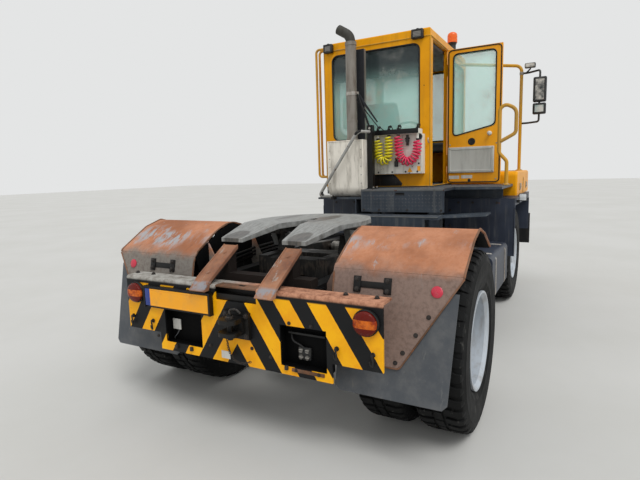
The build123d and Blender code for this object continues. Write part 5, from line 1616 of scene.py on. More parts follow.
@dataclass
class FenderTrim:
    """Beads, brackets, bolts and reflectors of the rear fenders, their near-black inner panels and a coat of painted
    shade under them, and the lines beside them.
    """

    inner_y: float = 0.517
    outer_y: float = 1.236
    wall_y: float = 0.511
    profile: tuple[tuple[float, float], ...] = (
        (-0.640, 0.560), (-0.529, 1.052), (-0.290, 1.195), (-0.140, 1.238), (0.010, 1.196), (0.210, 1.088),
    )

    def rear_x(self, z: float) -> float:
        """X of the rear face at a height."""
        (x_low, z_low), (x_high, z_high) = self.profile[:2]
        return ahead(x_low + (z - z_low) * (x_high - x_low) / (z_high - z_low))

    @property
    def rear_normal(self) -> tuple[float, float, float]:
        """Outward normal of the rear face.

        Returns:
            The normal, of length 1.
        """
        (x_low, z_low), (x_high, z_high) = self.profile[:2]
        length = math.hypot(x_high - x_low, z_high - z_low)
        return (-(z_high - z_low) / length, 0.0, (x_high - x_low) / length)

    def beads(self) -> None:
        """Wired edges along both arches and the cut corner, with its bolts."""
        inner, outer = self.inner_y + 0.004, self.outer_y - 0.004
        arch = [(ahead(x), z + 0.0005) for x, z in self.profile]
        diagonal = [(self.rear_x(z) - 0.001, y, z) for y, z in ((0.521, 0.561), (0.932, 0.561), (outer, 1.034))]
        bends = [
            Bench.pipe(at_y(inner, *arch), 0.0055, 0.06, 3),
            Bench.pipe(at_y(outer, (self.rear_x(1.041), 1.041), *arch[1:]), 0.0055, 0.06, 3),
            Bench.pipe(diagonal, 0.0045, 0.02, 3),
        ]
        fit("fender_beads", Bench.mirrored(Bench.join(bends)), Finishes.bead_rust)
        places = facing(self.rear_normal, *[
            (self.rear_x(z), side * y, z)
            for side in (-1, 1) for y, z in ((1.068, 0.835), (1.008, 0.740), (0.946, 0.645), (0.910, 0.590))
        ])
        Fasteners(0.017, 0.006, 0.002).set_at("fender_edge_bolts", places, Finishes.bolt_dark)

    def on_face(self, side: int, low: tuple[float, float], high: tuple[float, float], lift: float) -> Piece:
        """Flat strip on a rear face.

        Args:
            side: Sign of Y.
            low: Its lower corner as |Y| and Z.
            high: Its upper corner.
            lift: Its thickness.

        Returns:
            The strip.
        """
        nx, _, nz = self.rear_normal
        corners = (low, (high[0], low[1]), high, (low[0], high[1]))
        outline = [(self.rear_x(z), side * y, z) for y, z in corners]
        return Bench.plate(outline, (nx * lift, 0.0, nz * lift), 0.0015)

    def brackets(self) -> None:
        """Black bolted brackets on each rear face, with their bolts."""
        nx, _, nz = self.rear_normal
        strips, bolts = [], []
        for side, middles, low, high in ((-1, (0.668, 0.842), 0.925, 1.010), (1, (0.707, 0.891), 0.930, 1.010)):
            for y in middles:
                strips.append(self.on_face(side, (y - 0.021, low), (y + 0.021, high), 0.008))
                bolts += [(self.rear_x(z) + nx * 0.008, side * y, z + nz * 0.008) for z in (low + 0.016, high - 0.016)]
            strips.append(self.on_face(side, (middles[0], 0.950), (middles[1], 0.985), 0.004))
        fit("fender_face_brackets", strips, Finishes.oily_black)
        places = facing(self.rear_normal, *bolts)
        Fasteners(0.020, 0.010, 0.002).set_at("fender_face_bolts", places, Finishes.bolt_dark)

    def dark_sheets(self) -> None:
        """Near-black inner panels under the inner edges of the arches, down to the frame, partly panel and partly
        painted shade, and a coat of painted shade under the arches.
        """
        # Inner panels, near black as painted shade inside the arches.
        walls = []
        for side in (-1, 1):
            outline = [(ahead(x), z - 0.012) for x, z in self.profile[1:]]
            outline += [(ahead(0.210), 0.930), (ahead(-0.500), 0.930)]
            walls.append(Bench.plate(at_y(side * self.wall_y, *outline), (0.0, side * 0.004, 0.0), 0.001))
        fit("fender_inner_walls", walls, Finishes.recess_black)
        # Coat of painted shade just under the arches' profile.
        upper = [(ahead(x), z - 0.0095) for x, z in self.profile[1:]]
        lower = [(x, z - 0.0030) for x, z in reversed(upper)]
        wide = (0.0, self.outer_y - self.inner_y - 0.012, 0.0)
        shell = Bench.plate(at_y(self.inner_y + 0.004, *upper, *lower), wide, 0.0004)
        fit("fender_underside_shade", Bench.mirrored(shell), Finishes.recess_black)

    def line_guard(self) -> None:
        """Rubber guard with clipped air and brake lines along the left rail; the guard's near black also stands in for
        the shade between the rails.
        """
        outline = ((0.120, 0.925), (0.120, 1.115), (0.780, 1.115), (1.050, 1.020), (1.150, 0.925))
        guard = Bench.plate([(ahead(x), 0.500, z) for x, z in outline], (0.0, 0.006, 0.0))
        feet = [
            Bench.slab((ahead(x), 0.395, 0.921), (ahead(x + 0.040), 0.501, 0.929), 0.002) for x in (0.30, 0.66, 1.05)
        ]
        # Near-black guard: partly rubber, partly painted shade between the rails.
        fit("line_guard", [guard, *feet], Finishes.recess_black)
        lines = []
        for y, z in ((0.490, 0.960), (0.488, 0.985), (0.491, 1.012)):
            route = [
                (ahead(-0.30), y - 0.03, z - 0.02), (ahead(0.10), y, z), (ahead(0.55), y - 0.006, z + 0.012),
                (ahead(0.90), y, z - 0.010), (ahead(1.15), y - 0.030, z - 0.030), (ahead(1.55), y - 0.075, 0.935),
            ]
            lines.append(Bench.pipe(route, 0.009, 0.10, 3))
        fit("frame_lines", lines, Finishes.trim_rubber)

    def reflectors(self, z: float = 0.962) -> None:
        """Round red reflectors on the rear faces.

        Args:
            z: Height of their middles.
        """
        profile = ((0.0, 0.0005), (0.029, 0.0005), (0.030, 0.004), (0.026, 0.007), (0.0, 0.0085))
        discs = [Bench.turned(profile, (self.rear_x(z), y, z), self.rear_normal, 32) for y in (-1.103, 1.091)]
        fit("fender_reflectors", discs, Finishes.reflector_red)

    def build(self) -> None:
        """Adds all the trim."""
        for step in (self.beads, self.brackets, self.reflectors, self.dark_sheets, self.line_guard):
            step()


@dataclass
class RubberFlaps:
    """Mudflaps of grey rubber, a little bowed, narrowing downward, with rounded lower corners."""

    inner_y: float = 0.575
    outer_y: float = 1.212
    bottom: float = 0.400
    top: float = 0.960
    slant: float = 0.028
    corner: float = 0.026
    thickness: float = 0.008
    sheet: float = 0.0053

    def build(self) -> None:
        """Shapes one flap on each side."""
        trim = FenderTrim()
        nx, _, nz = trim.rear_normal
        flaps = []
        for side in (-1, 1):
            Bench.pick()
            bpy.ops.mesh.primitive_grid_add(x_subdivisions=48, y_subdivisions=30, size=1)
            flap = bpy.context.object
            for vertex in flap.data.vertices:
                across, down = vertex.co.x + 0.5, 0.5 - vertex.co.y
                outer = self.outer_y - self.slant * down
                y = self.inner_y + (outer - self.inner_y) * across
                corner = max(0.0, self.corner - min(y - self.inner_y, outer - y))
                z = self.top - (self.top - self.bottom - corner) * down
                wave = math.sin(across * 7.0 + 0.6) * 0.5 + math.sin(across * 3.1 + 2.0 * down) * 0.5
                back = self.sheet + self.thickness / 2 + 0.0016 * wave * down
                vertex.co = (trim.rear_x(z) - nx * back, side * y, z - nz * back)
            Bench.modify(flap, "SOLIDIFY", thickness=self.thickness - 0.0032, offset=0.0)
            flaps.append(Bench.soften(flap, 0.0012, 1, 1.0))
        fit("rubber_flaps", flaps, Finishes.flap_rubber, stands_for=["mudflaps"])


# Wheels


@dataclass
class LugTyre:
    """Tyre with staggered lugs over a shoulder, a plain sidewall and a bead."""

    radius: float = 0.546
    width: float = 0.290
    bead_radius: float = 0.2785
    lugs: int = 42
    groove: float = 0.013

    def carcass(self) -> Piece:
        """Sidewalls and tread band turned on the wheel's axis, with its middle at the origin.

        Returns:
            The carcass.
        """
        half, r = self.width / 2, self.radius - self.groove
        wall = [(radius, half - back) for radius, back in (
            (self.bead_radius, 0.040), (0.302, 0.031), (0.318, 0.020), (0.345, 0.0105), (0.352, 0.0075),
            (0.358, 0.0095), (0.400, 0.0030), (0.432, 0.0012), (0.468, 0.0030), (0.474, 0.0015), (0.480, 0.0042),
            (0.500, 0.0082), (0.518, 0.0150), (r - 0.006, 0.0330), (r - 0.001, 0.0460),
        )]
        crown = [(r, half - 0.07), (r + 0.0005, 0.0), (r, -half + 0.07)]
        far = [(radius, -away) for radius, away in reversed(wall)]
        bead = self.bead_radius
        inside = [(bead, -half + 0.05), (0.33, -half + 0.045), (0.33, half - 0.045), (bead, half - 0.05)]
        return Bench.turned(wall + crown + far + inside, ORIGIN, LEFT, 72, True)

    def lug(self, side: int) -> Piece:
        """One shoulder lug, as a wedge that wraps from the tread over the shoulder.

        Args:
            side: Sign of Y.

        Returns:
            The lug.
        """
        half, r = self.width / 2, self.radius
        pitch = FULL_TURN / self.lugs
        stations = (
            # distance from the middle, radius of the top, radius of the foot, share of the pitch, skew
            (0.036, r - 0.0004, r - 0.018, 0.60, 0.10),
            (0.085, r - 0.0010, r - 0.018, 0.64, 0.00),
            (half - 0.040, r - 0.0040, r - 0.024, 0.62, -0.08),
            (half - 0.020, r - 0.0150, r - 0.040, 0.56, -0.10),
            (half - 0.0085, r - 0.0420, r - 0.052, 0.46, -0.10),
        )
        points, faces = [], []
        for away, top, foot, share, skew in stations:
            for radius in (foot, top):
                for edge in (-1, 1):
                    angle = pitch * (skew + edge * share / 2)
                    points.append((radius * math.sin(angle), side * away, radius * math.cos(angle)))
        last = 4 * (len(stations) - 1)
        for a in range(0, last, 4):
            b = a + 4
            faces += [
                (a, a + 1, b + 1, b), (a + 2, b + 2, b + 3, a + 3), (a, b, b + 2, a + 2), (a + 1, a + 3, b + 3, b + 1),
            ]
        faces += [(0, 2, 3, 1), (last, last + 1, last + 3, last + 2)]
        return Bench.soften(Bench.close(Bench.mesh(points, [], faces)), 0.0022, 1, 0.7)

    def rib(self) -> Piece:
        """One block of the tread's middle rib, notched along both sides.

        Returns:
            The block.
        """
        r = self.radius - 0.0004
        points = []
        for radius, grow in ((r - 0.016, 1.0), (r, 0.94)):
            for edge, away in ((-1, -0.024), (-1, 0.018), (1, 0.024), (1, -0.018)):
                angle = FULL_TURN / self.lugs * edge * 0.43
                points.append((radius * math.sin(angle), away * grow, radius * math.cos(angle)))
        faces = [(0, 1, 2, 3), (7, 6, 5, 4), (0, 4, 5, 1), (1, 5, 6, 2), (2, 6, 7, 3), (3, 7, 4, 0)]
        return Bench.soften(Bench.close(Bench.mesh(points, [], faces)), 0.0016, 1, 0.7)

    def build(self) -> Piece:
        """Joins carcass, rib and lugs, with the tyre's middle at the origin.

        Returns:
            The tyre.
        """
        step = FULL_TURN / self.lugs
        turns = [Matrix.Rotation(step * i, 4, "Y") for i in range(self.lugs)]
        offset = Matrix.Rotation(step / 2, 4, "Y")
        return Bench.join([
            self.carcass(), Bench.copies(self.rib(), turns), Bench.copies(self.lug(1), turns),
            Bench.copies(self.lug(-1), [turn @ offset for turn in turns]),
        ])


@dataclass
class Tyres:
    """All six tyres, each with its own turn so that their lugs don't line up."""

    rear_middles: tuple[float, float] = (0.747, 1.091)
    front_middle: float = 0.915

    def build(self) -> None:
        """Models one tyre and sets a copy on every wheel."""
        tyre = LugTyre().build()
        for side in Side:
            sign = side.value
            rear = [(REAR_AXLE_X, y, 0.05 + 0.31 * number + 0.1 * sign) for number, y in enumerate(self.rear_middles)]
            front = [(FRONT_AXLE_X, self.front_middle, 0.2 * sign)]
            for name, node, body, wheels in (
                ("rear_lug_tyres", "rear_tyres", "REAR_WHEELS", rear),
                ("front_lug_tyre", "front_tyre", "FRONT_WHEEL", front),
            ):
                made = [
                    Bench.copy(tyre, Matrix.Translation((x, sign * y, AXLE_Z)) @ Matrix.Rotation(turn, 4, "Y"))
                    for x, y, turn in wheels
                ]
                carrier = Body[f"{body}_{side.name}"]
                fit(f"{name}_{side.word}", made, Finishes.tread_rubber, carrier, [f"{node}_{side.word}"], 0.5)
        bpy.data.objects.remove(tyre, do_unlink=True)


@dataclass
class WheelNuts:
    """Ten nuts on studs for each wheel."""

    nuts: int = 10
    circle: float = 0.1675
    rear_seat: float = 0.931
    front_seat: float = 0.9745

    def build(self) -> None:
        """Sets the nuts on all four wheels."""
        for side in Side:
            for axle, x, seat, body in (
                ("rear", REAR_AXLE_X, self.rear_seat, "REAR_WHEELS"),
                ("front", FRONT_AXLE_X, self.front_seat, "FRONT_WHEEL"),
            ):
                angles = [FULL_TURN * number / self.nuts for number in range(self.nuts)]
                places = facing((0.0, side.value, 0.0), *at_y(side.value * seat, *[
                    (x + self.circle * math.sin(angle), AXLE_Z + self.circle * math.cos(angle)) for angle in angles
                ]))
                nuts = Fasteners(0.033, 0.020, 0.004)
                nuts.set_at(f"{axle}_wheel_nuts_{side.word}", places, Finishes.nut_steel, Body[f"{body}_{side.name}"])


# Fifth wheel and lift gear


@dataclass
class FifthWheelTop:
    """Lock parts, release handle, edge beads and ribs of the fifth wheel."""

    kingpin_ahead: float = 0.180
    top: float = 1.235
    half_width: float = 0.430
    thickness: float = 0.036

    def lock(self) -> None:
        """Release handle, its guide and spring, and the jaw's pin heads."""
        pin, z = self.kingpin_ahead, self.top - 0.052
        x, y = ahead(pin - 0.08), 0.015 - self.half_width
        route = [
            (x, -0.20, z), (x, y - 0.006, z), (ahead(pin - 0.045), y - 0.024, z), (ahead(pin - 0.015), y - 0.024, z),
        ]
        bar = Bench.pipe(route, 0.010, 0.03, 4)
        guide = Bench.slab((x - 0.03, y - 0.004, z - 0.018), (x + 0.03, y + 0.004, z + 0.018), 0.002)
        spring = Bench.rod((x, -0.275, z), (x, -0.205, z), 0.018, 24, 0.003)
        fit("fifth_wheel_release", [bar, guide, spring], Finishes.greased_dark, Body.FIFTH_WHEEL)
        heads = [(ahead(pin + back), y, self.top - 0.004) for back in (-0.045, 0.080) for y in (-0.072, 0.072)]
        pins = Fasteners(0.020, 0.002, 0.001)
        pins.set_at("fifth_wheel_jaw_pins", facing(UP, *heads), Finishes.bolt_dark, Body.FIFTH_WHEEL)

    def edges(self, radius: float = 0.4290) -> None:
        """Rounded bead under the front arc and along both lobes.

        Args:
            radius: Radius of the front arc.
        """
        z = self.top - self.thickness + 0.004
        angles = [math.radians(-47 + 94 * step / 18) for step in range(19)]
        arc = [(ahead(0.1786 + radius * math.cos(angle)), radius * math.sin(angle), z) for angle in angles]
        beads = [Bench.pipe(arc, 0.006, 0.0, 3)]
        for side in (1, -1):
            lobe = [
                (ahead(x), side * y, z)
                for x, y in ((0.270, 0.409), (0.120, 0.427), (-0.070, 0.397), (-0.160, 0.375))
            ]
            beads.append(Bench.pipe(lobe, 0.006, 0.02, 3))
        fit("fifth_wheel_edge_beads", beads, Finishes.greased_dark, Body.FIFTH_WHEEL)

    def ribs(self) -> None:
        """Cast ribs under the plate, beside the lock."""
        low, high = self.top - self.thickness - 0.040, self.top - self.thickness + 0.002
        ribs = []
        for y in (-0.120, -0.235, 0.120, 0.235):
            ribs.append(Bench.slab((ahead(-0.120), y - 0.006, low), (ahead(0.480), y + 0.006, high), 0.002))
        for y_low, y_high in ((-0.225, -0.115), (0.115, 0.225)):
            for x in (-0.110, 0.470):
                ribs.append(Bench.slab((ahead(x), y_low, low), (ahead(x + 0.012), y_high, high), 0.002))
        fit("fifth_wheel_ribs", ribs, Finishes.greased_dark, Body.FIFTH_WHEEL)

    def build(self) -> None:
        """Adds all parts of the plate."""
        self.lock()
        self.edges()
        self.ribs()


@dataclass
class BoomFittings:
    """Caps and bolts of the pins that carry the plate."""

    ear_x: float = ahead(0.180)
    ear_z: float = 1.085

    def build(self) -> None:
        """Adds the fittings of both arms."""
        caps, bolts = [], []
        profile = ((0.0, -0.002), (0.042, -0.002), (0.042, 0.008), (0.036, 0.012), (0.0, 0.012))
        for side in (-1, 1):
            caps.append(Bench.turned(profile, (self.ear_x, side * 0.350, self.ear_z), (0, side, 0), 32))
            bolts += facing((0.0, side, 0.0), *at_y(side * 0.362, *[
                (self.ear_x + 0.030 * math.cos(angle), self.ear_z + 0.030 * math.sin(angle))
                for angle in (0.5, 2.6, 4.7)
            ]))
        fit("boom_pin_caps", caps, Finishes.greased_dark, Body.BOOM)
        Fasteners(0.014, 0.005, 0.001).set_at("boom_cap_bolts", bolts, Finishes.nut_steel, Body.BOOM)


@dataclass
class LiftCylinderTrim:
    """Gland rings, foot rings and ports of the two lift cylinders."""

    foot: tuple[float, float] = (ahead(0.950), 0.460)
    head: tuple[float, float] = (ahead(0.800), 0.930)
    half_gap: float = 0.128

    def build(self) -> None:
        """Adds rings and ports along each cylinder's axis."""
        way = Vector((self.head[0] - self.foot[0], 0.0, self.head[1] - self.foot[1])).normalized()
        across = way.cross(Vector(LEFT)).normalized()
        rings, ports = [], []
        gland = ((0.0555, 0.352), (0.061, 0.354), (0.061, 0.398), (0.058, 0.404), (0.0555, 0.404))
        foot_ring = ((0.0555, 0.060), (0.060, 0.062), (0.060, 0.078), (0.0555, 0.080))
        for side in (-1, 1):
            base = Vector((self.foot[0], side * self.half_gap, self.foot[1]))
            rings += [Bench.turned(profile, base, way, 40, True) for profile in (gland, foot_ring)]
            for along in (0.100, 0.330):
                middle = base + way * along
                ports.append(Bench.rod(middle + across * 0.053, middle + across * 0.072, 0.014, 6, 0.001))
        fit("cylinder_rings", rings, Finishes.oily_black, Body.BARRELS)
        fit("cylinder_ports", ports, Finishes.brass, Body.BARRELS)


# Decks


@dataclass
class ChequerField:
    """Pattern of raised bars on a tread surface, alternating in direction."""

    name: str
    corner: Point
    across: Point
    along: Point
    size: tuple[float, float]
    skip: Callable[[float, float], bool] = staticmethod(lambda u, v: False)
    pitch: float = 0.034
    lift: float = 0.0014
    length: float = 0.026
    width: float = 0.0055
    sunk: float = 0.0006

    def build(self) -> None:
        """Lays the bars over the field."""
        ways = Vector(self.across), Vector(self.along)
        normal = ways[0].cross(ways[1]).normalized()
        counts = [int(size / self.pitch) for size in self.size]
        starts = [(size - count * self.pitch) / 2 for size, count in zip(self.size, counts)]
        points, faces = [], []
        for i in range(counts[0]):
            for j in range(counts[1]):
                u, v = starts[0] + (i + 0.5) * self.pitch, starts[1] + (j + 0.5) * self.pitch
                if self.skip(u, v):
                    continue
                turn = math.pi / 4 if (i + j) % 2 else -math.pi / 4
                way = ways[0] * math.cos(turn) + ways[1] * math.sin(turn)
                aside = normal.cross(way)
                middle = Vector(self.corner) + ways[0] * u + ways[1] * v
                base = len(points)
                for up, share in ((-self.sunk, 1.0), (self.lift, 0.62)):
                    for a, b in ((-1, 0), (-0.55, -1), (0.55, -1), (1, 0), (0.55, 1), (-0.55, 1)):
                        long, wide = a * self.length / 2 * (0.8 + 0.2 * share), b * self.width / 2 * share
                        points.append(middle + way * long + aside * wide + normal * up)
                faces.append([base + k for k in range(6, 12)])
                faces += [[base + k, base + (k + 1) % 6, base + 6 + (k + 1) % 6, base + 6 + k] for k in range(6)]
        fit(self.name, Bench.mesh(points, [], faces), Finishes.deck_bars, smooth=0.3)


@dataclass
class Decks:
    """Chequered tops, edge strips, riser slot and bolts of the walkway."""

    step_rear: float = ahead(1.720)
    tread_rear: float = ahead(1.500)
    tread_z: float = 1.130
    right_y: float = -0.570
    left_y: float = 0.300

    def chequers(self) -> None:
        """Raised bars on all four treads."""
        wide, right = self.left_y - self.right_y, self.right_y + 0.010
        for field in (
            ChequerField(
                "deck_chequer", (self.step_rear + 0.010, right, DECK_Z), AHEAD, LEFT, (0.480, wide - 0.020),
                lambda u, v: 0.160 < u < 0.250 and v > wide - 0.100,
            ),
            ChequerField(
                "side_deck_chequer", (ahead(2.225), -1.030, DECK_Z), AHEAD, LEFT, (0.745, 0.720),
                lambda u, v: 0.34 < u < 0.41 and v < 0.05,
            ),
            ChequerField(
                "riser_chequer", (self.step_rear, self.left_y - 0.012, self.tread_z + 0.033), (0, -1, 0), UP,
                (wide - 0.024, 0.180), lambda u, v: 0.34 < u < 0.50 and v > 0.135,
            ),
            ChequerField("tread_chequer", (self.tread_rear + 0.010, right, self.tread_z), AHEAD, LEFT, (0.190, 0.960)),
        ):
            field.build()

    def build(self) -> None:
        """Adds bars, strips, bolts and the slot."""
        self.chequers()
        x = self.step_rear
        strip = Bench.slab(
            (x - 0.0025, self.right_y + 0.002, DECK_Z - 0.020), (x + 0.004, self.left_y - 0.002, DECK_Z + 0.0012), 0.001
        )
        fit("deck_edge_strip", strip, Finishes.deck_edge)
        slot = Bench.slab((x - 0.0018, -0.172, 1.318), (x + 0.002, -0.077, 1.350), 0.001)
        fit("riser_slot", Bench.press(slot, REAR, 0.001, (0.005, -0.003)), Finishes.oily_black)
        bolts = facing(REAR, *[(x, y, 1.175) for y in (-0.54, -0.20, 0.10, 0.27)])
        Fasteners(0.015, 0.005, 0.001).set_at("riser_bolts", bolts, Finishes.bolt_dark)
        lip = [(self.tread_rear + 0.002, y, self.tread_z - 0.004) for y in (self.right_y + 0.004, self.left_y + 0.106)]
        fit("tread_lip", Bench.pipe(lip, 0.0045, 0.0, 3), Finishes.deck_edge)


# Cab


@dataclass
class WindowSeals:
    """Black rubber seals round the fixed windows and the door windows."""

    rear: tuple[float, float, float, float] = (-0.180, 0.860, 1.930, 2.895)
    front: tuple[float, float, float, float] = (-0.225, 0.893, 1.960, 2.890)
    inset: float = 0.006
    corner: float = 0.070
    door_corner: float = 0.05
    radius: float = 0.0075

    def seal(self, word: str, corners: Sequence[Point], body: Body = Body.CHASSIS, bend: float | None = None) -> None:
        """One closed seal along a window's edge.

        Args:
            word: Which window it belongs to.
            corners: The window's corners.
            body: The body that carries it.
            bend: Size of its corners, or None for a fixed window's.
        """
        loop = Bench.pipe(corners, self.radius, self.corner if bend is None else bend, 3, True)
        fit("seal_" + word, loop, Finishes.trim_rubber, body, smooth=1.0)

    def build(self) -> None:
        """Lays a seal on both faces of every window."""
        inset = self.inset
        for word, x, (y_low, y_high, z_low, z_high) in (
            ("rear_outer", 2.2225, self.rear), ("rear_inner", 2.2635, self.rear),
            ("front_outer", 3.9305, self.front), ("front_inner", 3.8895, self.front),
        ):
            self.seal(word, window(ahead(x), y_low + inset, y_high - inset, z_low + inset, z_high - inset))
        for word, y, x_low, x_high in (("side_right", -0.2915, 3.010, 3.830), ("side_left", 0.9595, 3.130, 3.830)):
            low, high = ahead(x_low + inset), ahead(x_high - inset)
            self.seal(word, at_y(y, (low, 2.006), (high, 2.006), (high, 2.874), (low, 2.874)))
        for word, x in (("rear", 2.8805), ("front", 2.9215)):
            loop = at_x(ahead(x), (-0.379, 1.949), (-0.379, 2.874), (-0.847, 2.874), (-0.847, 2.058))
            self.seal("door_right_" + word, loop, Body.DOOR_RIGHT, self.door_corner)
        hinge_x, free_x = ahead(2.992), ahead(2.524)
        for word, y in (("outer", 0.9595), ("inner", 0.9185)):
            loop = at_y(y, (hinge_x, 1.949), (hinge_x, 2.874), (free_x, 2.874), (free_x, 2.058))
            self.seal("door_left_" + word, loop, Body.DOOR_LEFT, self.door_corner)


@dataclass
class RightDoorFittings:
    """The open door's inner face: knob, lock, grab pad, blank labels, screws, plug, edge rubber and outer handle."""

    face_x: float = ahead(2.881)
    front_x: float = ahead(2.9215)
    y_range: tuple[float, float] = (-0.913, -0.313)
    z_range: tuple[float, float] = (1.404, 2.930)

    def turned_parts(self) -> None:
        """Knob, lock and plug."""
        x = self.face_x
        knob = (
            (0.0, 0.0), (0.024, 0.0), (0.022, 0.006), (0.011, 0.012), (0.011, 0.020), (0.021, 0.026), (0.024, 0.036),
            (0.018, 0.044), (0.0, 0.046),
        )
        piece = Bench.turned(knob, (x, -0.791, 1.962), REAR, 32)
        fit("door_knob", piece, Finishes.white_plastic, Body.DOOR_RIGHT, smooth=0.9)
        lock = (
            (0.0, 0.0), (0.040, 0.0), (0.041, 0.003), (0.036, 0.005), (0.030, 0.005), (0.028, 0.001), (0.0, 0.001),
        )
        piece = Bench.turned(lock, (x, -0.593, 1.880), REAR, 40)
        fit("door_lock_hole", piece, Finishes.trim_rubber, Body.DOOR_RIGHT)
        plug = ((0.0, 0.0), (0.017, 0.0), (0.016, 0.004), (0.009, 0.006), (0.0, 0.006))
        piece = Bench.turned(plug, (x, -0.571, 1.437), REAR, 24)
        fit("door_plug", piece, Finishes.black_plastic, Body.DOOR_RIGHT)

    def pad(self, thick: float = 0.018) -> None:
        """Grab pad, and the screws round it and on it.

        Args:
            thick: How far the pad stands out.
        """
        x = self.face_x
        pad = Bench.slab((x - thick, -0.845, 1.523), (x + 0.001, -0.325, 1.821), 0.012, 3)
        Bench.press(pad, REAR, 0.01, (0.020, 0.0), (0.006, -0.005))
        fit("door_pad", Bench.soften(pad, 0.003, 2, 0.5), Finishes.pad_grey, Body.DOOR_RIGHT)
        screws = facing(REAR, *[(x, y, z) for y in (-0.865, -0.345) for z in (1.45, 1.85)])
        screws += facing(REAR, *[(x - thick, y, z) for y in (-0.825, -0.345) for z in (1.540, 1.804)])
        Fasteners(0.012, 0.002, 0.001).set_at("door_right_screws", screws, Finishes.nut_steel, Body.DOOR_RIGHT)

    def build(self) -> None:
        """Adds the fittings on the face that looks to the rear, and the handle on the other."""
        self.turned_parts()
        self.pad()
        x, front = self.face_x, self.front_x
        labels = [
            Bench.slab((x - 0.0009, *low), (x + 0.0004, *high), 0.0002, 1)
            for low, high in (((-0.606, 1.458), (-0.480, 1.496)), ((-0.455, 1.454), (-0.335, 1.492)))
        ]
        fit("door_blank_labels", labels, Finishes.blank_white, Body.DOOR_RIGHT)
        (y_low, y_high), (z_low, z_high) = self.y_range, self.z_range
        loop = window(x - 0.0005, y_low + 0.012, y_high - 0.012, z_low + 0.012, z_high - 0.012)
        rubber = Bench.pipe(loop, 0.007, 0.04, 3, True)
        fit("door_right_edge_rubber", rubber, Finishes.trim_rubber, Body.DOOR_RIGHT, smooth=1.0)
        inner, outer = front - 0.002, front + 0.038
        route = [(inner, -0.850, 1.860), (outer, -0.850, 1.860), (outer, -0.740, 1.860), (inner, -0.740, 1.860)]
        handle = Bench.pipe(route, 0.010, 0.02, 4)
        fit("door_right_outer_handle", handle, Finishes.black_plastic, Body.DOOR_RIGHT)


@dataclass
class LeftDoorFittings:
    """The closed door's outer handle and lock."""

    face_y: float = 0.959
    ends: tuple[float, float] = (ahead(2.518), ahead(2.628))
    lock_x: float = ahead(2.573)

    def build(self) -> None:
        """Adds the grip, its round feet and the lock."""
        y, (rear, front) = self.face_y, self.ends
        near, out = y - 0.002, y + 0.036
        route = [(rear, near, 1.860), (rear, out, 1.860), (front, out, 1.860), (front, near, 1.860)]
        feet = [Bench.rod((x, y - 0.001, 1.860), (x, y + 0.004, 1.860), 0.020, 24, 0.001) for x in self.ends]
        profile = ((0.0, 0.0), (0.016, 0.0), (0.015, 0.006), (0.006, 0.008), (0.0, 0.006))
        lock = Bench.turned(profile, (self.lock_x, y, 1.800), LEFT, 24)
        pieces = [Bench.pipe(route, 0.010, 0.02, 4), *feet, lock]
        fit("door_left_handle", pieces, Finishes.black_plastic, Body.DOOR_LEFT)


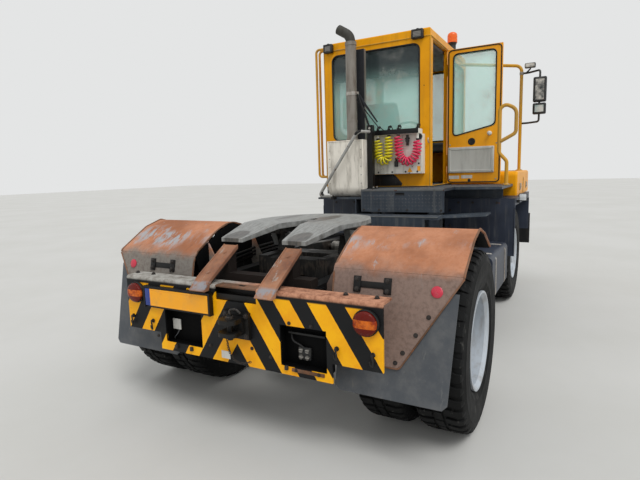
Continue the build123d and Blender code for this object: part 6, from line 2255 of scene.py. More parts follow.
@dataclass
class CabShellTrim:
    """Seams, headliner, rear blind and lamps of the cab and the wing."""

    rear_x: float = ahead(2.223)
    front_x: float = ahead(3.929)
    right_y: float = -0.291
    left_y: float = 0.959

    def seams(self, over: float = 0.003) -> None:
        """Weld beads and drip rails along the shell's corners.

        Args:
            over: How far the rails stand outside the corners.
        """
        beads = [
            Bench.rod((x, y, 1.405), (x, y, 2.948), 0.006, 10)
            for x in (self.rear_x + 0.001, self.front_x) for y in (self.right_y + 0.001, self.left_y - 0.001)
        ]
        rear, front, right, left = self.rear_x - over, ahead(3.933), self.right_y - over, self.left_y + over
        for z, radius in ((2.9505, 0.007), (1.3995, 0.005)):
            loop = [(rear, right, z), (front, right, z), (front, left, z), (rear, left, z)]
            beads.append(Bench.pipe(loop, radius, 0.03, 3, True))
        fit("cab_seams", beads, Finishes.rail_yellow, smooth=1.0)

    def headliner(self) -> None:
        """Dark roof lining, and the dark upper band behind the rear window."""
        lining = Bench.slab((ahead(2.270), -0.245, 2.905), (ahead(3.880), 0.913, 2.9495), 0.015, 3)
        fit("cab_headliner", lining, Finishes.grey_plastic)
        blind = Bench.slab((ahead(2.272), -0.215, 2.600), (ahead(2.292), 0.895, 2.905), 0.008, 2)
        for way in (REAR, AHEAD):
            Bench.press(blind, way, 0.05, (0.02, 0.0), (0.004, -0.004))
        fit("cab_rear_blind", blind, Finishes.black_plastic)

    def corner_lamps(self) -> None:
        """Housings and lenses of the two work lamps at the rear corners of the roof."""
        housings, lenses = [], []
        x = ahead(2.163)
        for low, high in ((0.830, 0.940), (-0.225, -0.100)):
            body = Bench.slab((x, low, 2.925), (self.rear_x, high, 3.020), 0.010, 3)
            housings.append(Bench.press(body, REAR, 0.002, (0.007, 0.0), (0.001, -0.006)))
            lenses.append(Bench.slab((x + 0.003, low + 0.019, 2.944), (x + 0.008, high - 0.019, 3.001), 0.002, 1))
            y = (low + high) / 2
            housings.append(Bench.slab((x + 0.020, y - 0.012, 3.016), (x + 0.050, y + 0.012, 3.030), 0.003))
        fit("roof_lamp_housings", housings, Finishes.black_plastic)
        fit("roof_lamp_lenses", lenses, Finishes.lamp_dim)

    def wing_lamp(self) -> None:
        """Work lamp on the right wing: a white face in a black case on a bracket."""
        x, right, low = ahead(2.550), -1.230, 1.215
        left, high = -1.150, 1.295
        case = Bench.slab((x + 0.004, right, low), (ahead(2.605), left, high), 0.010, 3)
        bracket = Bench.slab((ahead(2.570), -1.160, 1.1955), (ahead(2.595), -1.129, 1.225), 0.003)
        fit("wing_lamp_case", [case, bracket], Finishes.black_plastic)
        face = Bench.slab((x, right + 0.006, low + 0.006), (x + 0.008, left - 0.006, high - 0.006), 0.004, 2)
        fit("wing_lamp_face", face, Finishes.lamp_clear)

    def headlamps(self) -> None:
        """Headlamps with pressed faces in the front bumper."""
        lamps = []
        for y in (-0.760, 0.760):
            lamp = Bench.slab((ahead(4.450), y - 0.100, 0.680), (ahead(4.475), y + 0.100, 0.800), 0.012, 3)
            lamps.append(Bench.press(lamp, AHEAD, 0.005, (0.008, 0.0), (0.003, -0.008)))
        fit("headlamps", lamps, Finishes.lamp_clear, stands_for=["work_lamps"])

    def build(self) -> None:
        """Adds all trim of the shell."""
        for step in (self.seams, self.headliner, self.corner_lamps, self.wing_lamp, self.headlamps):
            step()


@dataclass
class SeatPads:
    """Driver's seat: sewn cushion and back on a shell, over bellows."""

    x: float = ahead(2.500)
    y_range: tuple[float, float] = (0.100, 0.600)
    folds: int = 7
    fill: float = 0.7

    def cushion(self, low: Point, high: Point, lean: float, crown: float) -> Piece:
        """One padded block whose sides pull in and whose middle swells, on its top or, if it stands, on its front.

        Args:
            low: Lowest corner.
            high: Highest corner.
            lean: How far the top leans to the rear.
            crown: Height of the swell.

        Returns:
            The cushion.
        """
        pad = Bench.box(low, high)
        with Bench.editing(pad):
            bpy.ops.mesh.subdivide(number_cuts=11)
        middle = [(a + b) / 2 for a, b in zip(low, high)]
        half = [(b - a) / 2 for a, b in zip(low, high)]
        lies = half[2] < half[0]
        for vertex in pad.data.vertices:
            u, v, w = ((vertex.co[i] - middle[i]) / half[i] for i in range(3))
            swell = (1 - v * v) * (1 - (u * u if lies else w * w))
            rib = 0.5 + 0.5 * math.cos(v * math.pi * 5)
            rise = crown * (swell - 0.5) - 0.004 * (1 - rib) * swell - crown * 0.45
            if lies:
                vertex.co.z += rise * (w + 1) / 2
                vertex.co.x = middle[0] + (vertex.co.x - middle[0]) * (0.94 + 0.05 * (1 - v * v))
                vertex.co.y = middle[1] + (vertex.co.y - middle[1]) * (0.94 + 0.05 * (1 - u * u))
            else:
                vertex.co.x += rise * (u + 1) / 2
                vertex.co.y = middle[1] + (vertex.co.y - middle[1]) * (0.90 + 0.08 * (1 - w * w))
                vertex.co.x -= lean * (vertex.co.z - low[2]) / (high[2] - low[2])
        return Bench.modify(pad, "SUBSURF", levels=1, render_levels=1)

    def shell(self) -> None:
        """Shell of the back, tray and hinge."""
        x, (right, left) = self.x, self.y_range
        top, foot = (x - 0.128, 2.300), (x - 0.062, 1.790)
        outline = [
            (top[0], right + 0.040, top[1]), (top[0], left - 0.040, top[1]), (foot[0], left - 0.030, foot[1]),
            (foot[0], right + 0.030, foot[1]),
        ]
        back = Bench.plate(outline, (-0.010, 0, -0.002), 0.004)
        tray = Bench.slab((x - 0.050, right + 0.010, 1.625), (x + 0.470, left - 0.010, 1.655), 0.012, 3)
        hinge = Bench.slab((x - 0.062, right + 0.040, 1.640), (x + 0.010, left - 0.040, 1.795), 0.015, 3)
        fit("seat_shell", [back, tray, hinge], Finishes.black_plastic)

    def bellows(self) -> None:
        """Folds below the tray."""
        folds = []
        for number in range(self.folds):
            z, inset = 1.405 + 0.030 * number, 0.012 * (number % 2)
            low = (self.x + 0.070 + inset, self.y_range[0] + 0.070 + inset, z)
            high = (self.x + 0.410 - inset, self.y_range[1] - 0.070 - inset, z + 0.031)
            folds.append(Bench.slab(low, high, 0.012, 2))
        fit("seat_bellows", folds, Finishes.trim_rubber)

    def build(self) -> None:
        """Models both pads, the shell and the bellows below."""
        x, (right, left) = self.x, self.y_range
        seat = self.cushion((x + 0.012, right, 1.650), (x + 0.480, left, 1.782), 0.0, 0.030)
        fit("seat_cushion", seat, Finishes.cloth, stands_for=["seat"], smooth=1.2)
        back = self.cushion((x - 0.060, right + 0.030, 1.785), (x + 0.078, left - 0.030, 2.330), 0.100, 0.026)
        fit("seat_back", back, Finishes.cloth, smooth=1.2)
        self.shell()
        self.bellows()


@dataclass
class DriverControls:
    """Steering wheel with spokes, column, stand, dashboard and dials."""

    centre: tuple[float, float, float] = (ahead(3.270), 0.350, 2.060)
    foot: tuple[float, float, float] = (ahead(3.540), 0.350, 1.790)
    rim: tuple[float, float] = (0.209, 0.0135)
    spoke_angles: tuple[float, ...] = (0.4, 2.5, 4.6)

    def wheel(self, way: Vector) -> None:
        """Rim, spokes and boss.

        Args:
            way: Direction of the column, upward.
        """
        Bench.pick()
        major, minor = self.rim
        bpy.ops.mesh.primitive_torus_add(major_radius=major, minor_radius=minor, major_segments=64, minor_segments=14)
        pieces = [bpy.context.object]
        for angle in self.spoke_angles:
            spoke = Bench.slab((0.020, -0.018, -0.006), (0.205, 0.018, 0.004), 0.004)
            spoke.data.transform(Matrix.Rotation(angle, 4, "Z"))
            pieces.append(spoke)
        profile = ((0.0, -0.014), (0.048, -0.014), (0.049, 0.004), (0.042, 0.013), (0.0, 0.015))
        wheel = Bench.join([*pieces, Bench.turned(profile, ORIGIN, UP, 32)])
        wheel.data.transform(turn_to(way, self.centre))
        fit("steering_wheel", wheel, Finishes.black_plastic, stands_for=["steering_console"], smooth=0.8)

    def build(self) -> None:
        """Models the console's pieces."""
        middle = Vector(self.centre)
        way = (middle - Vector(self.foot)).normalized()
        self.wheel(way)
        column = Bench.rod(self.foot, middle - way * 0.02, 0.029, 24, 0.003)
        stand = Bench.slab((ahead(3.502), 0.272, 1.4005), (ahead(3.618), 0.428, 1.822), 0.020, 3)
        dash = Bench.slab((ahead(3.565), -0.198, 1.802), (ahead(3.888), 0.868, 1.925), 0.022, 3)
        Bench.press(dash, REAR, 0.02, (0.014, 0.0), (0.004, -0.006))
        fit("dashboard", [column, stand, dash], Finishes.grey_plastic)
        profile = ((0.0, 0.0), (0.040, 0.0), (0.040, 0.006), (0.036, 0.007), (0.034, 0.003), (0.0, 0.003))
        dials = [Bench.turned(profile, (ahead(3.571), y, 1.863), REAR, 32) for y in (0.25, 0.35, 0.45)]
        fit("dashboard_dials", dials, Finishes.black_plastic)


@dataclass
class BeaconParts:
    """Amber beacon: a dark base with a domed, ribbed lens."""

    middle: tuple[float, float] = (ahead(3.450), -0.228)
    roof: float = 3.035
    ribs: int = 9

    def build(self) -> None:
        """Turns base and dome."""
        centre = (*self.middle, self.roof)
        base = (
            (0.0, 0.0), (0.051, 0.0), (0.052, 0.012), (0.044, 0.024), (0.044, 0.086), (0.052, 0.092), (0.052, 0.109),
            (0.0, 0.109),
        )
        fit("beacon_base", Bench.turned(base, centre, UP, 40), Finishes.black_plastic)
        dome = [(0.0, 0.110), (0.0605, 0.110), (0.0615, 0.118)]
        dome += [(0.0600 + 0.0012 * (i % 2), 0.124 + 0.009 * i) for i in range(self.ribs)]
        dome += [(0.058, 0.207), (0.050, 0.223), (0.036, 0.233), (0.018, 0.2388), (0.0, 0.2395)]
        piece = Bench.turned(dome, centre, UP, 40)
        fit("beacon_dome", piece, Finishes.beacon_orange, stands_for=["beacon"], smooth=0.5)


# Exhaust, air panel and rails


@dataclass
class ExhaustParts:
    """Rings, clamp and curved tip of the stack, its struts and heat shield, and the silencer's cover."""

    x: float = ahead(1.935)
    y: float = 0.485
    foot: float = 1.905
    radius: float = 0.0570
    shield_x: float = ahead(2.020)

    def stack(self) -> None:
        """Rings and clamp on the pipe."""
        r, x, foot = self.radius, self.x, self.foot
        inside, ear = r - 0.001, self.y - r
        profiles = (
            (
                (inside, foot + 0.002), (r + 0.010, foot + 0.002), (r + 0.010, foot + 0.016), (r + 0.003, foot + 0.022),
                (inside, foot + 0.022),
            ),
            ((inside, 2.10), (r + 0.0025, 2.102), (r + 0.0025, 2.122), (inside, 2.124)),
            ((inside, 2.892), (r + 0.004, 2.896), (r + 0.004, 2.928), (inside, 2.932)),
            ((inside, 2.382), (r + 0.0035, 2.382), (r + 0.0035, 2.418), (inside, 2.418)),
        )
        *rings, clamp = [Bench.turned(profile, (x, self.y, 0.0), UP, 48, True) for profile in profiles]
        fit("exhaust_rings", rings, Finishes.pipe_steel)
        ears = Bench.slab((x - 0.008, ear - 0.026, 2.384), (x + 0.008, ear + 0.002, 2.416), 0.002)
        fit("exhaust_clamp", [clamp, ears], Finishes.nut_steel)
        place = facing(REAR, (x - 0.008, ear - 0.016, 2.400))
        Fasteners(0.014, 0.007, 0.002).set_at("exhaust_clamp_bolt", place, Finishes.nut_steel)

    def tip(self) -> None:
        """Sooty skin of the curved tip, and a near-black disc closing its open mouth, for the soot and the painted
        shade inside the pipe.
        """
        route = at_x(self.x, (self.y, 2.932), (self.y, 2.995), (0.6216, 3.0790))
        fit("exhaust_tip_skin", Bench.pipe(route, 0.0500, 0.060, 8), Finishes.sooty, smooth=1.0)
        profile = ((0.0, 0.0012), (0.040, 0.0012), (0.043, 0.003), (0.0495, 0.003), (0.0495, -0.004), (0.0, -0.004))
        # Near-black disc: soot and painted shade inside the open pipe.
        mouth = Bench.turned(profile, route[2], Vector(route[2]) - Vector(route[1]), 40)
        fit("exhaust_mouth", mouth, Finishes.recess_black)

    def struts(self) -> None:
        """Flat dark bars from the clamp down to the hose bar."""
        bars = []
        for near, far, wide in (((0.430, 2.415), (0.196, 2.085), 0.030), ((0.430, 2.340), (0.170, 2.010), 0.016)):
            start, end = (Vector(point) for point in at_x(self.x + 0.004, near, far))
            way = (end - start).normalized()
            across = Vector((0.0, -way.z, way.y)) * wide / 2
            outline = [start - across, start + across, end + across * 0.5, end - across * 0.5]
            bars.append(Bench.plate(outline, (0.010, 0.0, 0.0), 0.002))
        fit("exhaust_struts", bars, Finishes.heat_steel)

    def shield(self) -> None:
        """Skin, pressed slots and folded edges of the heat shield."""
        x, low, high = self.shield_x, 1.908, 2.868
        slots = []
        for row in range(9):
            for y in (0.415, 0.520):
                z = 1.99 + 0.095 * row
                slots.append(Bench.slab((x - 0.0022, y - 0.024, z), (x + 0.001, y + 0.024, z + 0.018), 0.001, 1))
        fit("heat_shield_louvres", slots, Finishes.heat_steel)
        edges = [Bench.rod((x + 0.003, y, low), (x + 0.003, y, high), 0.006, 10) for y in (0.378, 0.557)]
        fit("heat_shield_edges", edges, Finishes.heat_steel)
        skin = Bench.slab((x - 0.0012, 0.380, low), (x + 0.001, 0.555, high), 0.0004, 1)
        fit("heat_shield_skin", skin, Finishes.heat_steel)

    def cover(self) -> None:
        """Flanges and rivets of the silencer's stainless cover."""
        x, right, left, low, high = ahead(1.800), 0.302, 0.728, 1.3003, 1.905
        edges = (right + 0.010, left - 0.010)
        flanges = [Bench.pipe(at_x(x - 0.0005, (y, low + 0.115), (y, high - 0.004)), 0.0065, 0.0, 3) for y in edges]
        flanges.append(Bench.pipe(at_x(x - 0.0005, *[(y, high - 0.006) for y in edges]), 0.005, 0.0, 3))
        fit("cover_flanges", flanges, Finishes.stainless)
        dome = ((0.0, -0.001), (0.0062, -0.001), (0.0055, 0.0018), (0.003, 0.0030), (0.0, 0.0033))
        spots = [
            turn_to(REAR, (x, y, 1.45 + 0.088 * row)) for row in range(5) for y in (right + 0.028, left - 0.028)
        ]
        fit("cover_rivets", Bench.copies(Bench.turned(dome, ORIGIN, UP, 14), spots), Finishes.nut_steel)

    def build(self) -> None:
        """Adds everything round the exhaust."""
        for step in (self.stack, self.tip, self.struts, self.shield, self.cover):
            step()


@dataclass
class AirPanelFittings:
    """Couplings, sockets, bolts, dark bar cover and lines of the air panel, and the dark rubber sheet below it, which
    also stands in for the shade there.
    """

    face_x: float = ahead(2.100)
    bar_x: float = ahead(2.020)
    hose_x: float = ahead(2.048)
    hoses: tuple[tuple[float, float], ...] = ((0.232, 1.905), (0.108, 1.935), (0.002, 1.935), (-0.208, 1.880))

    def couplings(self) -> None:
        """Black elbows above the bar, collars at the hose ends, and the lines behind."""
        elbows, collars, lines = [], [], []
        x, high = self.hose_x, 2.042
        for y, low in self.hoses:
            profile = (
                (0.0, low + 0.001), (0.016, low + 0.001), (0.0185, low + 0.006), (0.0185, low + 0.014),
                (0.0145, low + 0.018), (0.0, low + 0.018),
            )
            collars.append(Bench.turned(profile, (x, y, 0.0), UP, 24))
            elbows += [
                Bench.rod((x, y, 2.000), (x, y, 2.016), 0.017, 6, 0.001),
                Bench.pipe([(x, y, 2.012), (x, y, high), (x + 0.055, y, high)], 0.009, 0.015, 3),
                Bench.rod((x + 0.040, y, high), (x + 0.062, y, high), 0.014, 6, 0.001),
            ]
            back, aside = self.face_x + 0.070, y * 0.6 + 0.04
            route = [(x + 0.058, y, high), (x + 0.110, y, 2.030), (back, aside, 1.990), (back + 0.010, aside, 1.945)]
            lines.append(Bench.pipe(route, 0.0055, 0.03, 3))
        fit("air_elbows", elbows, Finishes.oily_black)
        fit("hose_collars", collars, Finishes.black_plastic)
        fit("air_lines", lines, Finishes.trim_rubber)

    def label(self, low: tuple[float, float], high: tuple[float, float], lift: float = 0.0006) -> Piece:
        """Blank label on the panel.

        Args:
            low: Its lower corner as Y and Z.
            high: Its upper corner.
            lift: How far it stands out.

        Returns:
            The label.
        """
        return Bench.slab((self.face_x - lift, *low), (self.face_x + 0.0004, *high), 0.0002, 1)

    def panel(self) -> None:
        """Dark cover of the bar, pressed rim, bolts, a socket with its lid, and a blank label."""
        bar, x = self.bar_x, self.face_x
        cover = Bench.slab((bar - 0.003, -0.224, 1.951), (bar + 0.060, 0.289, 2.003), 0.004)
        fit("hose_bar_cover", cover, Finishes.oily_black)
        loop = window(x - 0.0005, -0.227, 0.342, 1.543, 1.942)
        fit("panel_rim", Bench.pipe(loop, 0.004, 0.02, 2, True), Finishes.panel_grey)
        spots = [(y, z) for y in (-0.205, 0.320) for z in (1.640, 1.915)]
        spots += [(y, 1.556) for y in (-0.190, -0.060, 0.090, 0.250)]
        Fasteners(0.014, 0.006, 0.002).set_at("panel_bolts", facing(REAR, *at_x(x, *spots)), Finishes.bolt_dark)
        profile = (
            (0.0, 0.0), (0.036, 0.0), (0.036, 0.010), (0.029, 0.014), (0.029, 0.034), (0.032, 0.038), (0.032, 0.046),
            (0.026, 0.050), (0.0, 0.051),
        )
        socket = Bench.turned(profile, (x, 0.290, 1.760), REAR, 32)
        lid = Bench.slab((x - 0.056, 0.272, 1.786), (x - 0.036, 0.308, 1.800), 0.003)
        fit("power_socket", [socket, lid], Finishes.black_plastic)
        fit("panel_blank_label", self.label((-0.060, 1.850), (0.050, 1.900), 0.0009), Finishes.blank_white)

    def dark_fittings(self) -> None:
        """Black valve, plug and socket on the panel."""
        x = self.face_x
        profile = (
            (0.0, -0.001), (0.030, -0.001), (0.030, 0.012), (0.026, 0.018), (0.016, 0.019), (0.014, 0.012),
            (0.0, 0.012),
        )
        pieces = [
            Bench.rod((x - 0.020, -0.087, 1.832), (x - 0.020, -0.087, 1.942), 0.015, 20, 0.003),
            Bench.rod((x - 0.040, -0.087, 1.880), (x + 0.001, -0.087, 1.880), 0.019, 6, 0.003),
            Bench.rod((x - 0.020, -0.112, 1.905), (x - 0.020, -0.062, 1.905), 0.009, 16, 0.002),
            Bench.slab((x - 0.032, 0.020, 1.612), (x + 0.001, 0.058, 1.672), 0.006, 3),
            Bench.rod((x - 0.018, 0.039, 1.670), (x - 0.018, 0.039, 1.706), 0.012, 16, 0.003),
            Bench.turned(profile, (x, -0.214, 1.918), REAR, 32),
        ]
        fit("panel_dark_fittings", pieces, Finishes.black_plastic)

    def sheets(self) -> None:
        """Two blank yellow labels, and the dark rubber sheet below the panel, which also stands in for the shade there.
        """
        corners = ((-0.136, 1.552), (-0.078, 1.552), (-0.107, 1.602))
        triangle = Bench.plate(at_x(self.face_x - 0.0006, *corners), (0.0010, 0.0, 0.0), 0.0002, 1)
        strip = self.label((-0.224, 1.560), (-0.188, 1.612))
        fit("panel_blank_labels", [triangle, strip], Finishes.plate_yellow)
        # Dark sheet below the panel: partly a rubber sheet, partly painted shade.
        corners = ((0.350, 1.392), (0.030, 1.392), (0.018, 1.430), (0.090, 1.508), (0.120, 1.530), (0.350, 1.530))
        sheet = Bench.plate(at_x(ahead(2.216), *corners), (0.004, 0.0, 0.0), 0.001)
        fit("panel_shade_sheet", sheet, Finishes.trim_rubber)

    def build(self) -> None:
        """Adds all fittings."""
        for step in (self.couplings, self.dark_fittings, self.sheets, self.panel):
            step()


@dataclass
class PostFittings:
    """Cap, foot and bolts of the black post, the hook beside it and its grey stay's sleeve."""

    post_x: tuple[float, float] = (ahead(1.900), ahead(1.965))
    post_y: tuple[float, float] = (0.240, 0.298)

    def build(self) -> None:
        """Adds plates, bolts, hook and sleeve."""
        (rear, front), (right, left) = self.post_x, self.post_y
        cap = Bench.slab((rear - 0.002, right - 0.002, 2.046), (front + 0.002, left + 0.002, 2.055), 0.002)
        foot = Bench.slab((rear - 0.030, right - 0.030, 1.3852), (front + 0.030, left, 1.395), 0.002)
        fit("post_plates", [cap, foot], Finishes.oily_black)
        bolts = facing(UP, *[(x, right - 0.015, 1.395) for x in (rear - 0.015, front + 0.015)])
        bolts += facing(REAR, *[(rear, (right + left) / 2, z) for z in (1.985, 2.022)])
        Fasteners(0.017, 0.008, 0.002).set_at("post_bolts", bolts, Finishes.nut_steel)
        hook = at_y(-0.279, (ahead(2.223), 1.860), (ahead(2.195), 1.860), (ahead(2.180), 1.884), (ahead(2.190), 1.905))
        fit("corner_post_hook", Bench.pipe(hook, 0.006, 0.010, 3), Finishes.nut_steel)
        stay = at_x(ahead(1.725), (0.634, 1.315), (0.805, 1.315), (0.330, 1.985))
        sleeve = Bench.pipe([*stay, (ahead(1.895), 0.268, 1.985)], 0.0162, 0.055, 4)
        fit("grey_stay_sleeve", sleeve, Finishes.rail_grey, smooth=1.0)


@dataclass
class RailFittings:
    """Feet and bolts of the grab rails, and the clamp at the mirrors' arm."""

    post: tuple[float, float] = (ahead(3.600), -1.035)

    def build(self) -> None:
        """Adds a foot under every rail, bolts and the clamp."""
        profile = ((0.019, 0.0003), (0.042, 0.0003), (0.042, 0.007), (0.026, 0.010), (0.0195, 0.020), (0.019, 0.020))
        stands = ((ahead(2.600), -1.015, 1.385), (*self.post, 1.530))
        feet = [Bench.turned(profile, place, UP, 32, True) for place in stands]
        profile = ((0.014, 0.0003), (0.030, 0.0003), (0.030, 0.006), (0.018, 0.009), (0.014, 0.012))
        for x in (2.268, 2.350):
            for z in (1.520, 3.000):
                feet.append(Bench.turned(profile, (ahead(x), 0.959, z), LEFT, 24, True))
        fit("rail_feet", feet, Finishes.rail_yellow)
        bolts = facing(UP, *[
            (x + 0.033 * math.cos(angle), y + 0.033 * math.sin(angle), z + 0.007)
            for x, y, z in stands for angle in (0.8, 2.4, 3.9, 5.5)
        ])
        Fasteners(0.011, 0.005, 0.001).set_at("rail_foot_bolts", bolts, Finishes.nut_steel)
        clamp = Bench.rod((*self.post, 2.682), (*self.post, 2.718), 0.024, 24, 0.003)
        fit("rail_clamp", clamp, Finishes.nut_steel)


@dataclass
class MirrorHeads:
    """Mirror heads with rounded cases, a flat and a wide-angle glass in each, and a small upper mirror."""

    x_range: tuple[float, float] = (ahead(3.450), ahead(3.520))
    z_range: tuple[float, float] = (2.190, 2.620)
    y_range: tuple[float, float] = (1.180, 1.325)
    arm_x: float = ahead(3.485)
    rail_x: float = ahead(3.600)
    rail_y: float = -1.0543

    def heads(self) -> tuple[list[Piece], list[Piece], list[Piece]]:
        """Cases with their stems, wide-angle glasses and flat glasses of both sides.

        Returns:
            The cases, the wide-angle glasses and the flat glasses.
        """
        cases, wide, flat = [], [], []
        (rear, front), (low, high) = self.x_range, self.z_range
        split = low + 0.135
        for side in (-1, 1):
            y_low, y_high = sorted(side * y for y in self.y_range)
            for glasses, z_low, z_high in ((wide, low, split - 0.006), (flat, split + 0.006, high)):
                case = Bench.slab((rear, y_low, z_low), (front, y_high, z_high), 0.016, 4)
                cases.append(Bench.press(case, REAR, 0.003, (0.006, 0.0), (0.002, -0.006)))
                start = (rear + 0.0035, y_low + 0.024, z_low + 0.024)
                glasses.append(Bench.slab(start, (rear + 0.0065, y_high - 0.024, z_high - 0.024), 0.001, 1))
            stem = (self.arm_x, side * 1.250)
            cases.append(Bench.rod((*stem, low + 0.02), (*stem, 2.612), 0.012, 16))
        return cases, wide, flat

    def arms(self) -> None:
        """Arms from the rail on the right and from the roof on the left."""
        x, y, out = self.rail_x, self.rail_y, self.arm_x
        arms = [
            Bench.pipe([(x, y, z), (x, -1.110, z), (out, -1.250, z), (out, -1.250, end)], 0.0118, 0.028, 4)
            for z, end in ((2.700, 2.600), (2.105, 2.205))
        ]
        arms.append(Bench.pipe(at_x(out, (0.9595, 2.925), (1.250, 2.925), (1.250, 2.600)), 0.0118, 0.03, 4))
        fit("mirror_arms", arms, Finishes.mirror_black, stands_for=["mirrors"], smooth=1.0)

    def build(self) -> None:
        """Models cases, glasses and arms."""
        cases, wide, flat = self.heads()
        route = [(self.rail_x, self.rail_y, 2.700), (ahead(3.590), -1.090, 2.700), (ahead(3.560), -1.138, 2.742)]
        cases.append(Bench.pipe(route, 0.009, 0.02, 3))
        cases.append(Bench.slab((ahead(3.505), -1.195, 2.742), (ahead(3.560), -1.075, 2.800), 0.012, 3))
        fit("mirror_cases", cases, Finishes.mirror_black)
        fit("wide_angle_glasses", wide, Finishes.wide_glass)
        flat.append(Bench.slab((ahead(3.503), -1.186, 2.750), (ahead(3.506), -1.084, 2.792), 0.001, 1))
        fit("mirror_glasses", flat, Finishes.mirror_glass)
        self.arms()


# Front end and tanks


@dataclass
class FrontEnd:
    """Hood seam, latches, grille bars and tow eyes at the front."""

    seam_x: float = ahead(3.620)
    grille: tuple[float, float] = (ahead(4.2855), 0.330)

    def build(self) -> None:
        """Adds the front pieces."""
        seam = at_x(self.seam_x, (-1.0862, 1.262), (-1.0862, 1.470), (-1.030, 1.5303), (-0.352, 1.5303))
        fit("hood_seam", Bench.pipe(seam, 0.0035, 0.05, 3), Finishes.trim_rubber)
        latches = []
        for x in (ahead(3.25), ahead(3.95)):
            latches.append(Bench.slab((x, -1.0945, 1.300), (x + 0.035, -1.0845, 1.385), 0.004, 2))
            middle = (x + 0.0175, -1.0975)
            latches.append(Bench.rod((*middle, 1.318), (*middle, 1.378), 0.006, 12, 0.001))
        fit("hood_latches", latches, Finishes.nut_steel)
        x, half = self.grille
        heights = [0.978 + 0.042 * i for i in range(5)]
        bars = [Bench.slab((x, -half, z + 0.024), (x + 0.003, half, z + 0.040), 0.001, 1) for z in heights]
        bars += [Bench.slab((x, y, 0.975), (x + 0.0035, y + 0.018, 1.222), 0.001, 1) for y in (-0.348, -0.010, half)]
        fit("grille_bars", bars, Finishes.frame_black)
        near, far = ahead(4.449), ahead(4.462)
        eyes = [
            Bench.pipe(at_y(y, (near, 0.610), (far, 0.610), (far, 0.560), (near, 0.560)), 0.010, 0.01, 3)
            for y in (-0.45, 0.45)
        ]
        fit("front_tow_eyes", eyes, Finishes.nut_steel)


@dataclass
class TankFittings:
    """Straps and cap of the fuel tank, lid and latches of the battery box, and bands of the air tanks."""

    strap_places: tuple[float, float] = (1.42, 1.98)
    strap_half: float = 0.012

    def straps(self) -> None:
        """Two wires on each side of every strap of the fuel tank."""
        outline = (
            (-1.0985, 0.470), (-1.0985, 0.790), (-1.055, 0.8295), (-0.470, 0.8295), (-0.4235, 0.785), (-0.4235, 0.475),
            (-0.470, 0.4285), (-1.055, 0.4285),
        )
        pairs = [Matrix.Translation((shift, 0, 0)) for shift in (-self.strap_half, self.strap_half)]
        straps = [
            Bench.copies(Bench.pipe(at_x(ahead(x), *outline), 0.004, 0.012, 2, True), pairs) for x in self.strap_places
        ]
        fit("tank_straps", straps, Finishes.nut_steel)

    def build(self) -> None:
        """Adds straps, cap, lid, latches and bands."""
        self.straps()
        profile = (
            (0.0, -0.002), (0.052, -0.002), (0.052, 0.012), (0.048, 0.016), (0.040, 0.016), (0.038, 0.030),
            (0.0, 0.032),
        )
        fit("fuel_cap", Bench.turned(profile, (ahead(1.70), -0.850, 0.828), UP, 40), Finishes.black_plastic)
        lid = [Bench.slab((ahead(1.310), 0.430, 0.859), (ahead(1.940), 0.995, 0.868), 0.006, 2)]
        for x in (1.45, 1.78):
            lid.append(Bench.slab((ahead(x), 0.999, 0.780), (ahead(x + 0.04), 1.008, 0.865), 0.003, 2))
        fit("battery_lid", lid, Finishes.frame_black)
        bands = []
        for y in (0.540, 0.780):
            for x in (2.080, 2.300):
                profile = ((0.1048, x), (0.1075, x + 0.001), (0.1075, x + 0.024), (0.1048, x + 0.025))
                bands.append(Bench.turned(profile, (ahead(0.0), y, 0.640), AHEAD, 40, True))
        fit("air_tank_bands", bands, Finishes.nut_steel)


# Chassis, springs and wings


@dataclass
class ChassisFasteners:
    """Bolt heads along the frame rails, U-bolts and clips on the leaf springs."""

    rail_face: float = 0.4003
    rail_bolts: tuple[float, ...] = (-0.50, -0.36, 0.46, 0.60, 1.10, 1.40, 2.46, 2.92, 3.05, 3.48, 3.62, 3.95)

    def build(self) -> None:
        """Sets the bolts, U-bolts and clips."""
        bolts = []
        for side in (-1, 1):
            places = [(ahead(x), side * self.rail_face, z) for x in self.rail_bolts for z in (0.730, 0.860)]
            bolts += facing((0.0, side, 0.0), *places)
        Fasteners(0.026, 0.012, 0.003).set_at("rail_bolts", bolts, Finishes.oily_black)
        parts = []
        for y in (-0.360, 0.360):
            right, left = y - 0.045, y + 0.045
            for x in (3.130, 3.270):
                route = at_x(ahead(x), (right, 0.470), (right, 0.655), (left, 0.655), (left, 0.470))
                parts.append(Bench.pipe(route, 0.008, 0.02, 3))
            for x in (2.85, 3.55):
                parts.append(Bench.slab((ahead(x), y - 0.039, 0.575), (ahead(x + 0.040), y + 0.039, 0.640), 0.003, 1))
        fit("spring_bolts_and_clips", parts, Finishes.oily_black)


@dataclass
class WingTrim:
    """Rolled edges and bolts of the front wings."""

    skirt_y: float = 1.129
    rear: float = ahead(2.430)
    front: float = ahead(3.960)

    def build(self) -> None:
        """Adds the rolled edges and the bolts of both wings."""
        beads, bolts = [], []
        for side in (-1, 1):
            route = at_y(
                side * (self.skirt_y - 0.002), (self.rear - 0.001, 0.645), (self.rear - 0.001, 1.175),
                (self.rear + 0.06, 1.180), (self.front - 0.06, 1.180), (self.front + 0.001, 1.175),
                (self.front + 0.001, 0.765),
            )
            beads.append(Bench.pipe(route, 0.0055, 0.03, 3))
            spots = [(side * y, 1.205) for y in (0.55, 0.70, 0.95)] + [(side * 0.46, z) for z in (0.75, 0.95, 1.12)]
            bolts += facing(REAR, *at_x(self.rear, *spots))
        fit("wing_beads", beads, Finishes.dark_blue)
        Fasteners(0.018, 0.008, 0.002).set_at("wing_bolts", bolts, Finishes.bolt_dark)


# The whole object


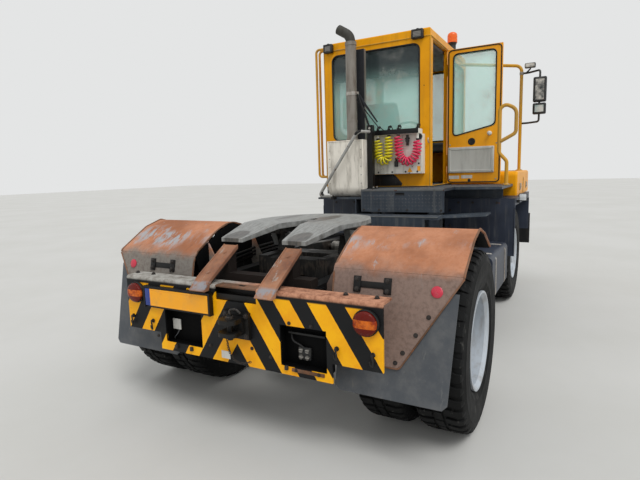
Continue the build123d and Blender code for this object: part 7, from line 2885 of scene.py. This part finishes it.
PLAIN_NODES: dict[Finish, tuple[str, ...]] = {
    Finishes.frame_black: (
        "frame_rails", "cross_members", "front_axle", "front_bumper", "battery_box", "air_tanks", "front_panel",
    ),
    Finishes.oily_black: (
        "lift_hangers", "rear_axle", "leaf_springs", "knuckle_left", "knuckle_right", "engine", "propshaft",
        "lift_barrels", "number_plate", "exhaust_post", "tow_coupling",
    ),
    Finishes.hazard: ("rear_bumper",),
    Finishes.rust: ("rear_fenders",),
    Finishes.ramp_rust: ("ramps",),
    Finishes.rim_silver: ("rear_rims_left", "rear_rims_right", "front_rim_left", "front_rim_right"),
    Finishes.greased_dark: ("lift_boom",),
    Finishes.greased: ("fifth_wheel_plate",),
    Finishes.chrome: ("lift_rods",),
    Finishes.dark_blue: ("front_wings", "fuel_tank"),
    Finishes.slate: ("rear_deck", "rear_steps"),
    Finishes.cab_yellow: ("engine_hood", "cab_rear_wall", "cab_sides", "cab_front_wall", "cab_roof", "door_left"),
    Finishes.door_inside: ("door_right",),
    Finishes.grey_plastic: ("cab_floor",),
    Finishes.glass: ("cab_glass", "door_glass_right", "door_glass_left"),
    Finishes.stainless: ("silencer_cover",),
    Finishes.pipe_steel: ("exhaust_stack",),
    Finishes.panel_grey: ("air_panel",),
    Finishes.rail_yellow: ("grab_rails",),
}

ASSEMBLIES = (
    AirHoses, TailLamps, BumperFittings, PlateHolder, TowJaw, RampFittings, FenderTrim, RubberFlaps, Tyres, WheelNuts,
    FifthWheelTop, BoomFittings, LiftCylinderTrim, Decks, WindowSeals, RightDoorFittings, LeftDoorFittings,
    CabShellTrim, SeatPads, DriverControls, BeaconParts, ExhaustParts, AirPanelFittings, PostFittings, RailFittings,
    MirrorHeads, FrontEnd, TankFittings, ChassisFasteners, WingTrim,
)


def dress_plain_nodes(nodes: dict[str, bpy.types.Object]) -> None:
    """Gives the CAD nodes that stay in view their finishes.

    Args:
        nodes: The frame's nodes by name.
    """
    for finish, names in PLAIN_NODES.items():
        for name in names:
            slots = nodes[name].material_slots
            if not slots:
                nodes[name].data.materials.append(finish.material)
            for slot in slots:
                slot.material = finish.material
        log.info("%s: %s", finish.name, ", ".join(names))


def main() -> None:
    """Builds the scene round the frame, assembly by assembly."""
    logging.basicConfig(level=logging.INFO, format="%(message)s")
    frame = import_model()
    Camera().set_up()
    Studio().build()
    for assembly in ASSEMBLIES:
        assembly().build()
    dress_plain_nodes(frame["nodes"])


if __name__ == "__main__":
    main()
